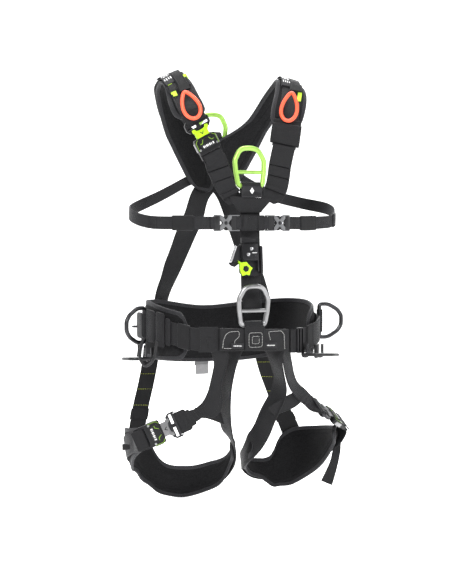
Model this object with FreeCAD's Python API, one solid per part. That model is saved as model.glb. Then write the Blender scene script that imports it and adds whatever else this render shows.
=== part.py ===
import FreeCAD, Part
import math
import os
from FreeCAD import Vector

# Full-body climbing harness: shoulder yoke, chest straps, waist belt and two leg loops, with the
# metal rings, buckles and chest ascender that belong to it.
# Millimetres. +Z is up, the wearer faces -Y, +X is the wearer's left. The origin is the middle of
# the wearer's waist at belt height.

os.makedirs("parts", exist_ok=True)

# ---------------------------------------------------------------- driving dimensions
WEBBING_W = 44.0          # main webbing width
WEBBING_T = 2.6           # main webbing thickness
CHEST_W = 25.0            # chest strap width
PAD_T = 10.0              # shoulder and leg pad thickness
BELT_PAD_T = 9.0          # waist pad thickness
RING_R = 4.8              # rod radius of the chest and back rings
RING_BAR_HALF = 25.0      # half length of a ring's lower bar, to the rod centre
RING_MID_HALF = 29.5      # half width at the crossbar
RING_CROSS_H = 27.0       # crossbar above the lower bar
RING_TOP_H = 75.0         # top of the ring's rod centre above the lower bar
SIDE_RING_R = 4.2         # rod radius of the side rings
SIDE_RING_HALF = 34.0     # half height of the side ring
SIDE_RING_DEPTH = 50.0    # how far it stands out
TOOL_LOOP_R = 3.7         # cord radius of the coloured tool loops
BUCKLE_W = 46.0           # body width of the big buckles
BUCKLE_T = 12.0           # body thickness of the big buckles
GEAR_BAR_W = 6.0          # gear loop bar, across
GEAR_BAR_H = 8.5          # gear loop bar, up

# ---------------------------------------------------------------- strap paths
# each row: centre x y z, outward normal x y z, width direction x y z, width, thickness
yoke_right = [[-16.95, 100.5, 271.23, -0.038, 0.993, -0.108, 0.988, 0.022, -0.151, 46.43, 10], [-20.41, 101.55, 282.18, -0.043, 0.995, -0.094, 0.993, 0.032, -0.116, 53.24, 10], [-23.76, 102.29, 293.36, -0.042, 0.997, -0.062, 0.995, 0.037, -0.089, 59.76, 10], [-26.94, 102.7, 305, -0.039, 0.999, -0.031, 0.998, 0.038, -0.059, 66.01, 10], [-29.91, 102.8, 317.3, -0.035, 0.999, -0.01, 0.999, 0.035, -0.021, 72.04, 10], [-32.95, 102.74, 329.88, -0.032, 0.999, -0.002, 0.999, 0.032, 0.017, 77.88, 10], [-36.15, 102.65, 342.3, -0.034, 0.999, 0.01, 0.998, 0.034, 0.048, 83.75, 10], [-38.61, 102.29, 354.88, -0.036, 0.999, 0.031, 0.997, 0.034, 0.076, 90.91, 10], [-41.77, 101.68, 366.83, -0.035, 0.999, 0.04, 0.996, 0.032, 0.087, 96.43, 10], [-49.4, 101.04, 376.42, -0.034, 0.998, 0.061, 0.998, 0.03, 0.059, 93.27, 10], [-60.4, 99.87, 386.14, -0.046, 0.993, 0.109, 0.998, 0.042, 0.036, 83.32, 10], [-71.43, 97.8, 396.72, -0.058, 0.988, 0.145, 0.998, 0.056, 0.018, 71.15, 10], [-82.96, 95.22, 408.78, -0.091, 0.976, 0.196, 0.995, 0.083, 0.048, 57.64, 10], [-92.15, 91.09, 420.52, -0.12, 0.939, 0.323, 0.991, 0.097, 0.088, 49.05, 10], [-98.61, 85.52, 431.16, -0.11, 0.888, 0.446, 0.993, 0.076, 0.093, 45.3, 10], [-104.2, 79, 441.62, -0.104, 0.839, 0.534, 0.993, 0.053, 0.109, 43.26, 10], [-109.37, 71.21, 451.56, -0.112, 0.772, 0.626, 0.989, 0.028, 0.142, 42.15, 10], [-114.4, 62.13, 460.6, -0.134, 0.692, 0.71, 0.983, 0, 0.185, 41.81, 10], [-119.39, 51.98, 468.42, -0.167, 0.606, 0.777, 0.972, -0.03, 0.232, 42.13, 10], [-123.68, 41.05, 475.04, -0.213, 0.518, 0.829, 0.959, -0.049, 0.278, 42.42, 10], [-126.68, 29.6, 480.52, -0.266, 0.415, 0.87, 0.948, -0.052, 0.315, 42.52, 10], [-128.31, 17.82, 484.7, -0.292, 0.293, 0.911, 0.947, -0.046, 0.318, 44.02, 10], [-128.8, 5.82, 487.48, -0.268, 0.185, 0.945, 0.959, -0.041, 0.28, 47.96, 10], [-129.35, -6.55, 489.18, -0.257, 0.12, 0.959, 0.964, -0.039, 0.263, 51.13, 10], [-131.15, -19.38, 490, -0.323, 0.02, 0.946, 0.945, -0.04, 0.324, 49.83, 10], [-132.85, -31.56, 488.52, -0.42, -0.248, 0.873, 0.905, -0.042, 0.423, 47.82, 10], [-132.44, -41.74, 483.04, -0.405, -0.577, 0.709, 0.881, -0.04, 0.471, 49.93, 10], [-130.6, -50.47, 474.4, -0.339, -0.722, 0.603, 0.889, -0.037, 0.456, 54.66, 10], [-128.95, -58.97, 464.36, -0.294, -0.75, 0.593, 0.912, -0.034, 0.41, 59.05, 10], [-127.96, -67.69, 453.93, -0.244, -0.774, 0.585, 0.937, -0.032, 0.349, 61.91, 10], [-126.33, -75.96, 442.98, -0.187, -0.826, 0.532, 0.957, -0.031, 0.289, 64.41, 10], [-123.33, -83.18, 431.49, -0.145, -0.873, 0.465, 0.969, -0.03, 0.245, 66.43, 10], [-120.15, -89.21, 420.02, -0.122, -0.903, 0.412, 0.975, -0.031, 0.22, 64.38, 10], [-118.34, -94, 409.21, -0.12, -0.915, 0.385, 0.976, -0.037, 0.216, 54.1, 10]]
yoke_left = [[26.16, 100.5, 272.02, 0.05, 0.992, -0.117, -0.978, 0.024, -0.208, 41.24, 10], [30.53, 101.53, 282.61, 0.049, 0.993, -0.104, -0.989, 0.034, -0.144, 49.64, 10], [34.92, 102.25, 292.95, 0.045, 0.996, -0.071, -0.993, 0.037, -0.109, 58.18, 10], [39.04, 102.66, 303.76, 0.04, 0.998, -0.038, -0.996, 0.037, -0.082, 66.3, 10], [42.65, 102.79, 315.65, 0.035, 0.999, -0.014, -0.998, 0.034, -0.05, 73.57, 10], [45.99, 102.76, 328.32, 0.031, 1, -0.004, -0.999, 0.031, -0.015, 80.1, 10], [49.55, 102.68, 340.86, 0.032, 0.999, 0.006, -0.999, 0.032, 0.013, 86.44, 10], [52.52, 102.4, 353.47, 0.034, 0.999, 0.027, -0.999, 0.033, 0.037, 93.85, 10], [55.4, 101.82, 365.9, 0.033, 0.999, 0.039, -0.998, 0.031, 0.051, 100.86, 10], [62.05, 101.19, 376.32, 0.03, 0.998, 0.056, -0.999, 0.028, 0.027, 99.99, 10], [72.61, 100.17, 386.23, 0.035, 0.994, 0.105, -0.999, 0.036, -0.013, 90.34, 10], [84.2, 98.25, 396.99, 0.045, 0.988, 0.151, -0.998, 0.051, -0.035, 79.14, 10], [97, 95.66, 408.55, 0.062, 0.979, 0.193, -0.997, 0.068, -0.021, 67.41, 10], [107.05, 92.15, 420.5, 0.081, 0.95, 0.302, -0.996, 0.084, 0.002, 59.51, 10], [113.1, 87.22, 430.8, 0.047, 0.887, 0.46, -0.998, 0.065, -0.022, 59.06, 10], [118.78, 80.61, 441.54, 0.033, 0.833, 0.553, -0.999, 0.043, -0.004, 59.41, 10], [123.59, 72.66, 452.1, 0.033, 0.766, 0.642, -0.999, 0.023, 0.024, 60.23, 10], [127.31, 63.23, 461.83, 0.04, 0.669, 0.742, -0.999, 0.003, 0.051, 61.5, 10], [130.38, 51.9, 470.44, 0.067, 0.552, 0.831, -0.995, -0.02, 0.094, 62.54, 10], [131.96, 39.42, 477.28, 0.119, 0.42, 0.9, -0.989, -0.034, 0.147, 62.71, 10], [131.49, 26.64, 482.07, 0.183, 0.288, 0.94, -0.979, -0.035, 0.201, 61.9, 10], [129.66, 13.78, 485.59, 0.231, 0.181, 0.956, -0.97, -0.032, 0.241, 61.15, 10], [127.11, 0.92, 488.01, 0.254, 0.044, 0.966, -0.966, -0.032, 0.255, 61.17, 10], [124.08, -12.02, 488.22, 0.254, -0.164, 0.953, -0.967, -0.032, 0.253, 62.17, 10], [120.69, -24.84, 485.29, 0.229, -0.397, 0.889, -0.971, -0.031, 0.236, 64.11, 10], [116.85, -36.84, 478.98, 0.173, -0.594, 0.786, -0.981, -0.03, 0.193, 66.57, 10], [112.47, -47.65, 469.87, 0.112, -0.703, 0.702, -0.991, -0.029, 0.13, 69.31, 10], [107.49, -57.54, 459.75, 0.069, -0.74, 0.669, -0.997, -0.028, 0.072, 72.08, 10], [102.04, -66.66, 449.91, 0.044, -0.763, 0.645, -0.999, -0.027, 0.037, 74.26, 10], [96.65, -74.74, 440.16, 0.035, -0.807, 0.589, -0.999, -0.027, 0.024, 75.27, 10], [91.81, -81.49, 430.21, 0.038, -0.861, 0.507, -0.999, -0.027, 0.029, 74.74, 10], [87.44, -86.9, 420.21, 0.048, -0.907, 0.418, -0.998, -0.027, 0.054, 72.87, 10], [83.32, -91.05, 410.44, 0.06, -0.944, 0.326, -0.995, -0.029, 0.099, 70.09, 10], [79.21, -94, 401.16, 0.075, -0.959, 0.272, -0.985, -0.03, 0.167, 66.91, 10]]
belt_pad = [[-125.5, -95.52, -15.24, -0.59, -0.808, 0, 0, 0, 1, 70.04, 9], [-135.61, -87.14, -12.25, -0.685, -0.728, 0, 0, 0, 1, 91.48, 9], [-144.35, -77.77, -11.24, -0.775, -0.632, 0, 0, 0, 1, 96.29, 9], [-151.71, -67.4, -10.47, -0.853, -0.521, 0, 0, 0, 1, 99.53, 9], [-157.64, -55.98, -9.62, -0.916, -0.4, 0, 0, 0, 1, 102.32, 9], [-162.15, -43.42, -8.71, -0.961, -0.275, 0, 0, 0, 1, 104.96, 9], [-165.19, -29.43, -7.64, -0.988, -0.153, 0, 0, 0, 1, 107.61, 9], [-166.76, -13.08, -6.54, -0.999, -0.045, 0, 0, 0, 1, 110.28, 9], [-166.86, 10.57, -5.53, -0.999, 0.033, 0, 0, 0, 1, 113.08, 9], [-165.48, 27.44, -5.84, -0.99, 0.138, 0, 0, 0, 1, 114.34, 9], [-162.63, 41.66, -6.52, -0.966, 0.258, 0, 0, 0, 1, 116, 9], [-158.32, 54.39, -7.44, -0.923, 0.384, 0, 0, 0, 1, 117.85, 9], [-152.57, 65.95, -8.49, -0.863, 0.506, 0, 0, 0, 1, 119.6, 9], [-145.4, 76.46, -9.63, -0.786, 0.618, 0, 0, 0, 1, 121.17, 9], [-136.84, 85.96, -10.99, -0.698, 0.717, 0, 0, 0, 1, 122.9, 9], [-126.91, 94.47, -12.45, -0.602, 0.798, 0, 0, 0, 1, 124.61, 9], [-115.64, 101.97, -14.14, -0.505, 0.863, 0, 0, 0, 1, 125.52, 9], [-103.03, 108.44, -16, -0.41, 0.912, 0, 0, 0, 1, 125.56, 9], [-89.08, 113.88, -17.9, -0.318, 0.948, 0, 0, 0, 1, 125.17, 9], [-73.73, 118.25, -20.01, -0.232, 0.973, 0, 0, 0, 1, 124.21, 9], [-56.83, 121.55, -22.28, -0.153, 0.988, 0, 0, 0, 1, 122.63, 9], [-37.99, 123.76, -24.11, -0.082, 0.997, 0, 0, 0, 1, 121.01, 9], [-15.82, 124.86, -25.63, -0.022, 1, 0, 0, 0, 1, 119.4, 9], [15.82, 124.86, -25.54, 0.022, 1, 0, 0, 0, 1, 119.91, 9], [37.99, 123.76, -24.63, 0.082, 0.997, 0, 0, 0, 1, 121.54, 9], [56.83, 121.55, -23.49, 0.153, 0.988, 0, 0, 0, 1, 123.48, 9], [73.73, 118.25, -22.46, 0.232, 0.973, 0, 0, 0, 1, 124.9, 9], [89.08, 113.88, -20.91, 0.318, 0.948, 0, 0, 0, 1, 125.02, 9], [103.03, 108.44, -19.15, 0.41, 0.912, 0, 0, 0, 1, 124.5, 9], [115.64, 101.97, -17.31, 0.505, 0.863, 0, 0, 0, 1, 123.56, 9], [126.91, 94.47, -15.43, 0.602, 0.798, 0, 0, 0, 1, 122.2, 9], [136.84, 85.96, -13.37, 0.698, 0.717, 0, 0, 0, 1, 120.28, 9], [145.4, 76.46, -11.34, 0.786, 0.618, 0, 0, 0, 1, 118.31, 9], [152.57, 65.95, -9.79, 0.863, 0.506, 0, 0, 0, 1, 116.85, 9], [158.32, 54.39, -8.56, 0.923, 0.384, 0, 0, 0, 1, 115.28, 9], [162.63, 41.66, -7.53, 0.966, 0.258, 0, 0, 0, 1, 113.73, 9], [165.48, 27.44, -6.74, 0.99, 0.138, 0, 0, 0, 1, 112.44, 9], [166.86, 10.57, -6.43, 0.999, 0.033, 0, 0, 0, 1, 111.28, 9], [166.76, -13.08, -6.91, 0.999, -0.045, 0, 0, 0, 1, 109.54, 9], [165.19, -29.43, -8.03, 0.988, -0.153, 0, 0, 0, 1, 106.83, 9], [162.15, -43.42, -9.11, 0.961, -0.275, 0, 0, 0, 1, 104.16, 9], [157.64, -55.98, -9.94, 0.916, -0.4, 0, 0, 0, 1, 101.71, 9], [151.71, -67.4, -11.27, 0.853, -0.521, 0, 0, 0, 1, 98.05, 9], [144.35, -77.77, -13.02, 0.775, -0.632, 0, 0, 0, 1, 92.96, 9], [135.61, -87.14, -15.2, 0.685, -0.728, 0, 0, 0, 1, 85.96, 9], [125.5, -95.52, -17.06, 0.59, -0.808, 0, 0, 0, 1, 66.31, 9]]
leg_pad_right = [[-192.09, -78.88, -207.22, -0.781, -0.624, 0, 0, 0, 1, 33.13, 10], [-202.28, -67.51, -210.32, -0.875, -0.483, -0.013, -0.01, -0.008, 1, 40.53, 10], [-208.54, -54.29, -214.5, -0.97, -0.237, -0.053, -0.049, -0.024, 0.999, 46.87, 10], [-212.1, -39.1, -219.38, -0.987, -0.127, -0.097, -0.093, -0.033, 0.995, 52.72, 10], [-213.93, -23.7, -224.43, -0.988, -0.081, -0.129, -0.127, -0.028, 0.991, 58.57, 10], [-214.06, -8.63, -229.63, -0.989, -0.004, -0.15, -0.15, -0.012, 0.989, 65.28, 10], [-212.41, 6.18, -235.35, -0.982, 0.102, -0.162, -0.162, 0.01, 0.987, 73.65, 10], [-209.12, 20.7, -241.01, -0.966, 0.201, -0.165, -0.162, 0.032, 0.986, 81.78, 10], [-204.68, 34.76, -245.76, -0.935, 0.316, -0.159, -0.15, 0.051, 0.987, 86.75, 10], [-198.47, 47.78, -249.83, -0.871, 0.467, -0.153, -0.137, 0.069, 0.988, 88.27, 10], [-190.1, 59.1, -254.39, -0.802, 0.577, -0.155, -0.128, 0.088, 0.988, 87.26, 10], [-181.45, 68.24, -261.79, -0.767, 0.623, -0.153, -0.115, 0.101, 0.988, 84.93, 10], [-173.3, 75.41, -272.28, -0.674, 0.727, -0.133, -0.089, 0.099, 0.991, 83.14, 10], [-162.6, 82.27, -280.69, -0.522, 0.848, -0.087, -0.052, 0.071, 0.996, 85.35, 10], [-149.09, 88.92, -285.65, -0.401, 0.915, -0.038, -0.018, 0.033, 0.999, 90.72, 10], [-138.26, 92.4, -293.91, -0.244, 0.969, -0.023, -0.005, 0.022, 1, 90.22, 10], [-129.65, 93.37, -304.88, -0.121, 0.992, -0.031, -0.007, 0.03, 1, 83.91, 10], [-120.36, 93.94, -314.93, -0.093, 0.995, -0.041, -0.008, 0.04, 0.999, 75.85, 10], [-108.96, 94.58, -322.41, -0.037, 0.998, -0.044, -0.003, 0.043, 0.999, 69.13, 10], [-95.37, 94.31, -327.48, 0.065, 0.997, -0.043, 0.004, 0.043, 0.999, 65.92, 10], [-80.17, 92.35, -330.25, 0.189, 0.981, -0.044, 0.011, 0.042, 0.999, 66, 10], [-64.91, 88.32, -330.62, 0.329, 0.943, -0.045, 0.018, 0.041, 0.999, 65.56, 10], [-50.69, 82.14, -328.68, 0.477, 0.878, -0.047, 0.026, 0.039, 0.999, 63.56, 10], [-38.02, 74.04, -324.67, 0.613, 0.789, -0.048, 0.032, 0.036, 0.999, 61.97, 10], [-26.94, 64.25, -319.39, 0.719, 0.693, -0.05, 0.038, 0.032, 0.999, 61.13, 10], [-17.06, 53.05, -313.98, 0.795, 0.605, -0.052, 0.045, 0.027, 0.999, 59.9, 10], [-8.45, 40.96, -307.75, 0.86, 0.508, -0.056, 0.052, 0.022, 0.998, 56.9, 10], [-1.69, 28.83, -297.82, 0.928, 0.368, -0.062, 0.06, 0.017, 0.998, 50.6, 10], [2.62, 17.06, -284.01, 0.985, 0.159, -0.066, 0.065, 0.01, 0.998, 41.98, 10], [3.91, 5.31, -270.8, 0.996, -0.074, -0.054, 0.054, 0.003, 0.999, 36.26, 10], [2.11, -6.57, -260.92, 0.966, -0.256, -0.023, 0.024, -0, 1, 36.35, 10], [-1.86, -18.11, -252.57, 0.927, -0.374, 0.004, -0.004, 0, 1, 39.47, 10], [-6.91, -28.76, -243.37, 0.897, -0.443, 0.013, -0.014, 0.001, 1, 42.04, 10], [-12, -38, -230.94, 0.876, -0.482, 0, 0, 0, 1, 40.5, 10]]
leg_pad_left = [[193, -84, -215.72, 0.823, -0.567, 0, 0, 0, 1, 28.65, 10], [201.1, -72.25, -221.8, 0.859, -0.512, -0.012, 0.01, -0.007, 1, 33.66, 10], [207.56, -59.3, -227.11, 0.916, -0.4, -0.035, 0.028, -0.022, 0.999, 39.09, 10], [212.34, -45.58, -232.52, 0.953, -0.296, -0.064, 0.057, -0.033, 0.998, 45.86, 10], [215.38, -31.5, -238.92, 0.974, -0.202, -0.1, 0.095, -0.033, 0.995, 54.89, 10], [216.75, -17.42, -246.41, 0.985, -0.114, -0.131, 0.129, -0.023, 0.991, 66.03, 10], [216.67, -3.5, -253.68, 0.99, -0.015, -0.14, 0.14, -0.006, 0.99, 76.87, 10], [215.25, 10.16, -259.97, 0.986, 0.101, -0.131, 0.13, 0.014, 0.991, 85.86, 10], [212.3, 23.5, -265.73, 0.966, 0.23, -0.12, 0.115, 0.032, 0.993, 93.38, 10], [207.62, 36.34, -271.23, 0.922, 0.37, -0.112, 0.102, 0.047, 0.994, 100.06, 10], [201.06, 48.29, -276.33, 0.854, 0.51, -0.103, 0.086, 0.057, 0.995, 106.59, 10], [192.74, 59.26, -281.16, 0.779, 0.621, -0.089, 0.065, 0.061, 0.996, 113.13, 10], [183.08, 69.43, -286.23, 0.694, 0.717, -0.064, 0.041, 0.05, 0.998, 119.02, 10], [172.4, 78.03, -291.3, 0.559, 0.828, -0.04, 0.02, 0.035, 0.999, 121.61, 10], [161.09, 83.79, -295.83, 0.409, 0.912, -0.034, 0.011, 0.033, 0.999, 117.33, 10], [151.05, 87.25, -301.06, 0.347, 0.937, -0.042, 0.01, 0.041, 0.999, 107.41, 10], [144.18, 89.5, -308.45, 0.351, 0.935, -0.051, 0.011, 0.05, 0.999, 94.81, 10], [138.84, 91, -316.2, 0.25, 0.967, -0.059, 0.009, 0.058, 0.998, 81.03, 10], [131.83, 91.91, -320.92, 0.087, 0.994, -0.07, 0.004, 0.07, 0.998, 66.88, 10], [120.22, 92.34, -319.43, -0.021, 0.996, -0.09, -0.009, 0.09, 0.996, 53.15, 10], [105.26, 91.72, -314.21, -0.125, 0.986, -0.106, -0.026, 0.103, 0.994, 43.1, 10], [90.74, 88.99, -310.72, -0.309, 0.947, -0.084, -0.03, 0.078, 0.996, 39.99, 10], [78.02, 83.01, -306.72, -0.567, 0.821, -0.063, -0.033, 0.053, 0.998, 37.25, 10], [67.47, 73.48, -300.87, -0.763, 0.643, -0.072, -0.049, 0.054, 0.997, 30.73, 10], [59, 61.87, -296.41, -0.864, 0.495, -0.087, -0.066, 0.061, 0.996, 25.63, 10], [52.43, 49.49, -293.58, -0.92, 0.383, -0.081, -0.068, 0.05, 0.996, 24.17, 10], [47.57, 36.87, -289.73, -0.957, 0.283, -0.07, -0.065, 0.029, 0.997, 24.13, 10], [44.11, 24.45, -283.76, -0.976, 0.204, -0.072, -0.07, 0.015, 0.997, 24.52, 10], [41.45, 12.56, -276.65, -0.982, 0.174, -0.069, -0.069, 0.009, 0.998, 26.3, 10], [39.02, 1.48, -269.4, -0.984, 0.175, -0.045, -0.045, 0.004, 0.999, 30.35, 10], [36.95, -8.95, -261.95, -0.989, 0.145, -0.016, -0.016, 0.001, 1, 35.65, 10], [35.76, -19.09, -253.71, -0.999, 0.054, 0.005, 0.005, -0, 1, 40.18, 10], [35.94, -29.32, -244.1, -0.995, -0.094, 0.013, 0.013, -0.001, 1, 41.88, 10], [38, -40, -232.52, -0.982, -0.19, 0, 0, 0, 1, 38.69, 10]]
shoulder_webbing_right = [[-60.71, 106.62, 386.87, -0.046, 0.993, 0.109, 0.998, 0.042, 0.036, 44, 2.6], [-68.81, 105.05, 394.76, -0.053, 0.989, 0.138, 0.999, 0.05, 0.018, 44, 2.6], [-76.82, 103.56, 402.74, -0.069, 0.985, 0.159, 0.997, 0.067, 0.026, 44, 2.6], [-84.38, 101.6, 411.06, -0.094, 0.975, 0.203, 0.995, 0.085, 0.051, 44, 2.6], [-91.07, 98.68, 419.84, -0.117, 0.95, 0.29, 0.992, 0.097, 0.082, 44, 2.6], [-96.57, 94.47, 428.9, -0.117, 0.912, 0.393, 0.992, 0.088, 0.092, 44, 2.6], [-101.27, 89.36, 437.96, -0.106, 0.872, 0.478, 0.993, 0.068, 0.096, 44, 2.6], [-105.67, 83.63, 446.79, -0.104, 0.831, 0.546, 0.992, 0.05, 0.113, 44, 2.6], [-109.79, 77.04, 455.15, -0.111, 0.777, 0.62, 0.99, 0.03, 0.139, 44, 2.6], [-113.85, 69.66, 462.85, -0.127, 0.715, 0.688, 0.985, 0.009, 0.173, 44, 2.6], [-117.96, 61.56, 469.76, -0.149, 0.649, 0.746, 0.978, -0.015, 0.209, 44, 2.6], [-121.97, 52.8, 475.87, -0.179, 0.581, 0.794, 0.969, -0.037, 0.246, 44, 2.6], [-125.52, 43.41, 481.29, -0.219, 0.508, 0.833, 0.958, -0.05, 0.282, 44, 2.6], [-128.28, 33.4, 486.03, -0.263, 0.424, 0.867, 0.948, -0.052, 0.313, 44, 2.6], [-130.02, 22.83, 489.96, -0.29, 0.322, 0.901, 0.946, -0.047, 0.322, 44, 2.6], [-130.59, 11.83, 492.95, -0.28, 0.221, 0.934, 0.954, -0.042, 0.296, 44, 2.6], [-130.72, 0.6, 494.95, -0.256, 0.149, 0.955, 0.964, -0.039, 0.264, 44, 2.6], [-131.74, -10.7, 496.14, -0.272, 0.094, 0.958, 0.96, -0.039, 0.276, 44, 2.6], [-133.9, -21.92, 496.35, -0.344, -0.016, 0.939, 0.939, -0.041, 0.343, 44, 2.6], [-135.67, -33.02, 494.51, -0.419, -0.243, 0.875, 0.906, -0.042, 0.422, 44, 2.6], [-135.52, -43.3, 489.55, -0.417, -0.519, 0.746, 0.884, -0.041, 0.466, 44, 2.6], [-133.83, -51.91, 482.25, -0.363, -0.688, 0.629, 0.883, -0.038, 0.467, 44, 2.6], [-131.91, -59.42, 473.87, -0.316, -0.742, 0.592, 0.899, -0.035, 0.437, 44, 2.6], [-130.5, -66.74, 465.24, -0.28, -0.755, 0.593, 0.92, -0.033, 0.392, 44, 2.6], [-129.48, -74.09, 456.56, -0.237, -0.778, 0.581, 0.939, -0.032, 0.342, 44, 2.6], [-128.49, -81.3, 447.8, -0.191, -0.814, 0.549, 0.954, -0.032, 0.298, 44, 2.6], [-127.17, -88.5, 438.92, -0.145, -0.872, 0.468, 0.957, -0.033, 0.289, 44, 2.6], [-125.18, -95.98, 429.84, -0.099, -0.959, 0.265, 0.931, -0.037, 0.363, 44, 2.6], [-121.99, -101.41, 420.41, -0.062, -0.997, 0.056, 0.893, -0.041, 0.448, 44, 2.6], [-117.01, -102.12, 410.44, -0.055, -0.998, 0.015, 0.884, -0.042, 0.466, 44, 2.6]]
shoulder_webbing_left = [[72.84, 106.93, 386.94, 0.035, 0.994, 0.105, -0.999, 0.036, -0.013, 44, 2.6], [81.99, 105.4, 395.79, 0.043, 0.989, 0.144, -0.998, 0.048, -0.033, 44, 2.6], [91.49, 103.63, 404.2, 0.052, 0.984, 0.17, -0.998, 0.058, -0.033, 44, 2.6], [100.48, 101.52, 413.13, 0.07, 0.975, 0.212, -0.997, 0.074, -0.012, 44, 2.6], [107.92, 98.41, 423.08, 0.08, 0.948, 0.309, -0.996, 0.084, 0.002, 44, 2.6], [113.27, 93.42, 433.61, 0.048, 0.889, 0.456, -0.998, 0.065, -0.021, 44, 2.6], [118.25, 87.32, 443.73, 0.034, 0.84, 0.542, -0.999, 0.046, -0.009, 44, 2.6], [122.63, 80.28, 453.51, 0.033, 0.787, 0.616, -0.999, 0.028, 0.017, 44, 2.6], [126.13, 72.12, 462.75, 0.036, 0.711, 0.702, -0.999, 0.011, 0.039, 44, 2.6], [129.07, 62.79, 471.03, 0.048, 0.621, 0.782, -0.998, -0.007, 0.067, 44, 2.6], [131.49, 52.38, 478.13, 0.078, 0.52, 0.85, -0.994, -0.025, 0.106, 44, 2.6], [132.85, 41.03, 483.94, 0.125, 0.407, 0.905, -0.988, -0.035, 0.152, 44, 2.6], [132.76, 28.99, 488.34, 0.181, 0.292, 0.939, -0.979, -0.035, 0.2, 44, 2.6], [131.47, 16.69, 491.7, 0.227, 0.195, 0.954, -0.971, -0.032, 0.237, 44, 2.6], [129.42, 4.28, 494.18, 0.251, 0.079, 0.965, -0.967, -0.032, 0.254, 44, 2.6], [126.89, -8.26, 495, 0.257, -0.088, 0.962, -0.966, -0.032, 0.255, 44, 2.6], [124.04, -20.66, 493.42, 0.245, -0.286, 0.926, -0.969, -0.032, 0.246, 44, 2.6], [120.85, -32.37, 489.27, 0.212, -0.474, 0.855, -0.974, -0.031, 0.224, 44, 2.6], [117.28, -42.9, 482.87, 0.163, -0.618, 0.769, -0.982, -0.03, 0.184, 44, 2.6], [113.36, -52.16, 474.91, 0.114, -0.701, 0.704, -0.991, -0.029, 0.131, 44, 2.6], [109.04, -60.64, 466.33, 0.076, -0.736, 0.673, -0.996, -0.028, 0.082, 44, 2.6], [104.25, -68.79, 457.67, 0.05, -0.754, 0.656, -0.999, -0.026, 0.046, 44, 2.6], [99.31, -76.59, 448.79, 0.041, -0.784, 0.619, -0.999, -0.03, 0.027, 44, 2.6], [94.48, -83.7, 439.23, 0.019, -0.834, 0.552, -1, -0.013, 0.026, 44, 2.6], [89.89, -89.87, 428.76, -0.043, -0.889, 0.456, -0.998, 0.044, 0.047, 44, 2.6], [85.64, -95.04, 417.53, -0.133, -0.932, 0.337, -0.989, 0.127, 0.081, 44, 2.6], [81.8, -99.16, 405.7, -0.228, -0.95, 0.214, -0.968, 0.219, 0.121, 44, 2.6], [78.48, -102.19, 393.42, -0.309, -0.945, 0.112, -0.94, 0.301, 0.158, 44, 2.6], [75.77, -104.08, 380.86, -0.359, -0.932, 0.055, -0.915, 0.357, 0.187, 44, 2.6], [73.74, -104.78, 368.17, -0.37, -0.927, 0.06, -0.905, 0.375, 0.201, 44, 2.6], [71.54, -104.91, 355.55, -0.364, -0.927, 0.091, -0.904, 0.375, 0.207, 44, 2.6], [68.55, -105.1, 343.09, -0.364, -0.926, 0.103, -0.901, 0.378, 0.213, 44, 2.6], [65.48, -105.3, 330.65, -0.365, -0.925, 0.1, -0.899, 0.379, 0.218, 44, 2.6], [62.86, -105.55, 318.1, -0.365, -0.927, 0.086, -0.9, 0.375, 0.222, 44, 2.6], [60.91, -105.84, 305.44, -0.363, -0.929, 0.076, -0.9, 0.371, 0.23, 44, 2.6], [58.99, -106.12, 292.77, -0.374, -0.923, 0.088, -0.887, 0.384, 0.257, 44, 2.6], [56.17, -106.35, 280.27, -0.376, -0.917, 0.132, -0.864, 0.399, 0.306, 44, 2.6], [51.22, -106.52, 268.45, -0.303, -0.934, 0.192, -0.861, 0.354, 0.364, 44, 2.6], [43, -106.57, 258.65, -0.115, -0.983, 0.141, -0.897, 0.164, 0.41, 44, 2.6], [31.82, -106.5, 252.42, 0.119, -0.965, -0.233, -0.9, -0.204, 0.385, 44, 2.6]]
front_webbing_right = [[-78.37, -105.34, 336.82, -0.055, -0.998, 0.015, 0.884, -0.042, 0.466, 44, 2.6], [-74.7, -105.09, 329.81, -0.063, -0.998, 0.012, 0.885, -0.051, 0.463, 44, 2.6], [-71.61, -104.55, 322.53, -0.23, -0.972, -0.035, 0.895, -0.227, 0.384, 44, 2.6], [-68.73, -104.58, 315.16, -0.265, -0.963, -0.051, 0.901, -0.266, 0.341, 44, 2.6], [-65.68, -105.03, 307.86, -0.184, -0.982, -0.042, 0.92, -0.187, 0.345, 44, 2.6], [-62.48, -105.25, 300.71, -0.146, -0.988, -0.044, 0.929, -0.152, 0.337, 44, 2.6], [-60.06, -105.41, 293.68, -0.114, -0.993, -0.039, 0.934, -0.12, 0.335, 42.03, 2.6], [-57.63, -105.54, 286.69, -0.08, -0.997, -0.023, 0.936, -0.083, 0.343, 39.84, 2.6], [-54.74, -105.69, 279.72, -0.033, -0.999, 0.003, 0.932, -0.03, 0.361, 39, 2.6], [-50.7, -105.84, 272.83, 0.023, -0.999, 0.033, 0.924, 0.034, 0.381, 39, 2.6], [-45.93, -105.96, 266.12, 0.079, -0.994, 0.069, 0.914, 0.1, 0.394, 39, 2.6], [-40.74, -106.04, 259.71, 0.129, -0.986, 0.11, 0.905, 0.162, 0.394, 39, 2.6], [-35.05, -106.06, 253.72, 0.166, -0.974, 0.157, 0.903, 0.214, 0.373, 39, 2.6], [-29.02, -106, 248.32, 0.193, -0.961, 0.196, 0.912, 0.249, 0.325, 39, 2.6]]
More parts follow.
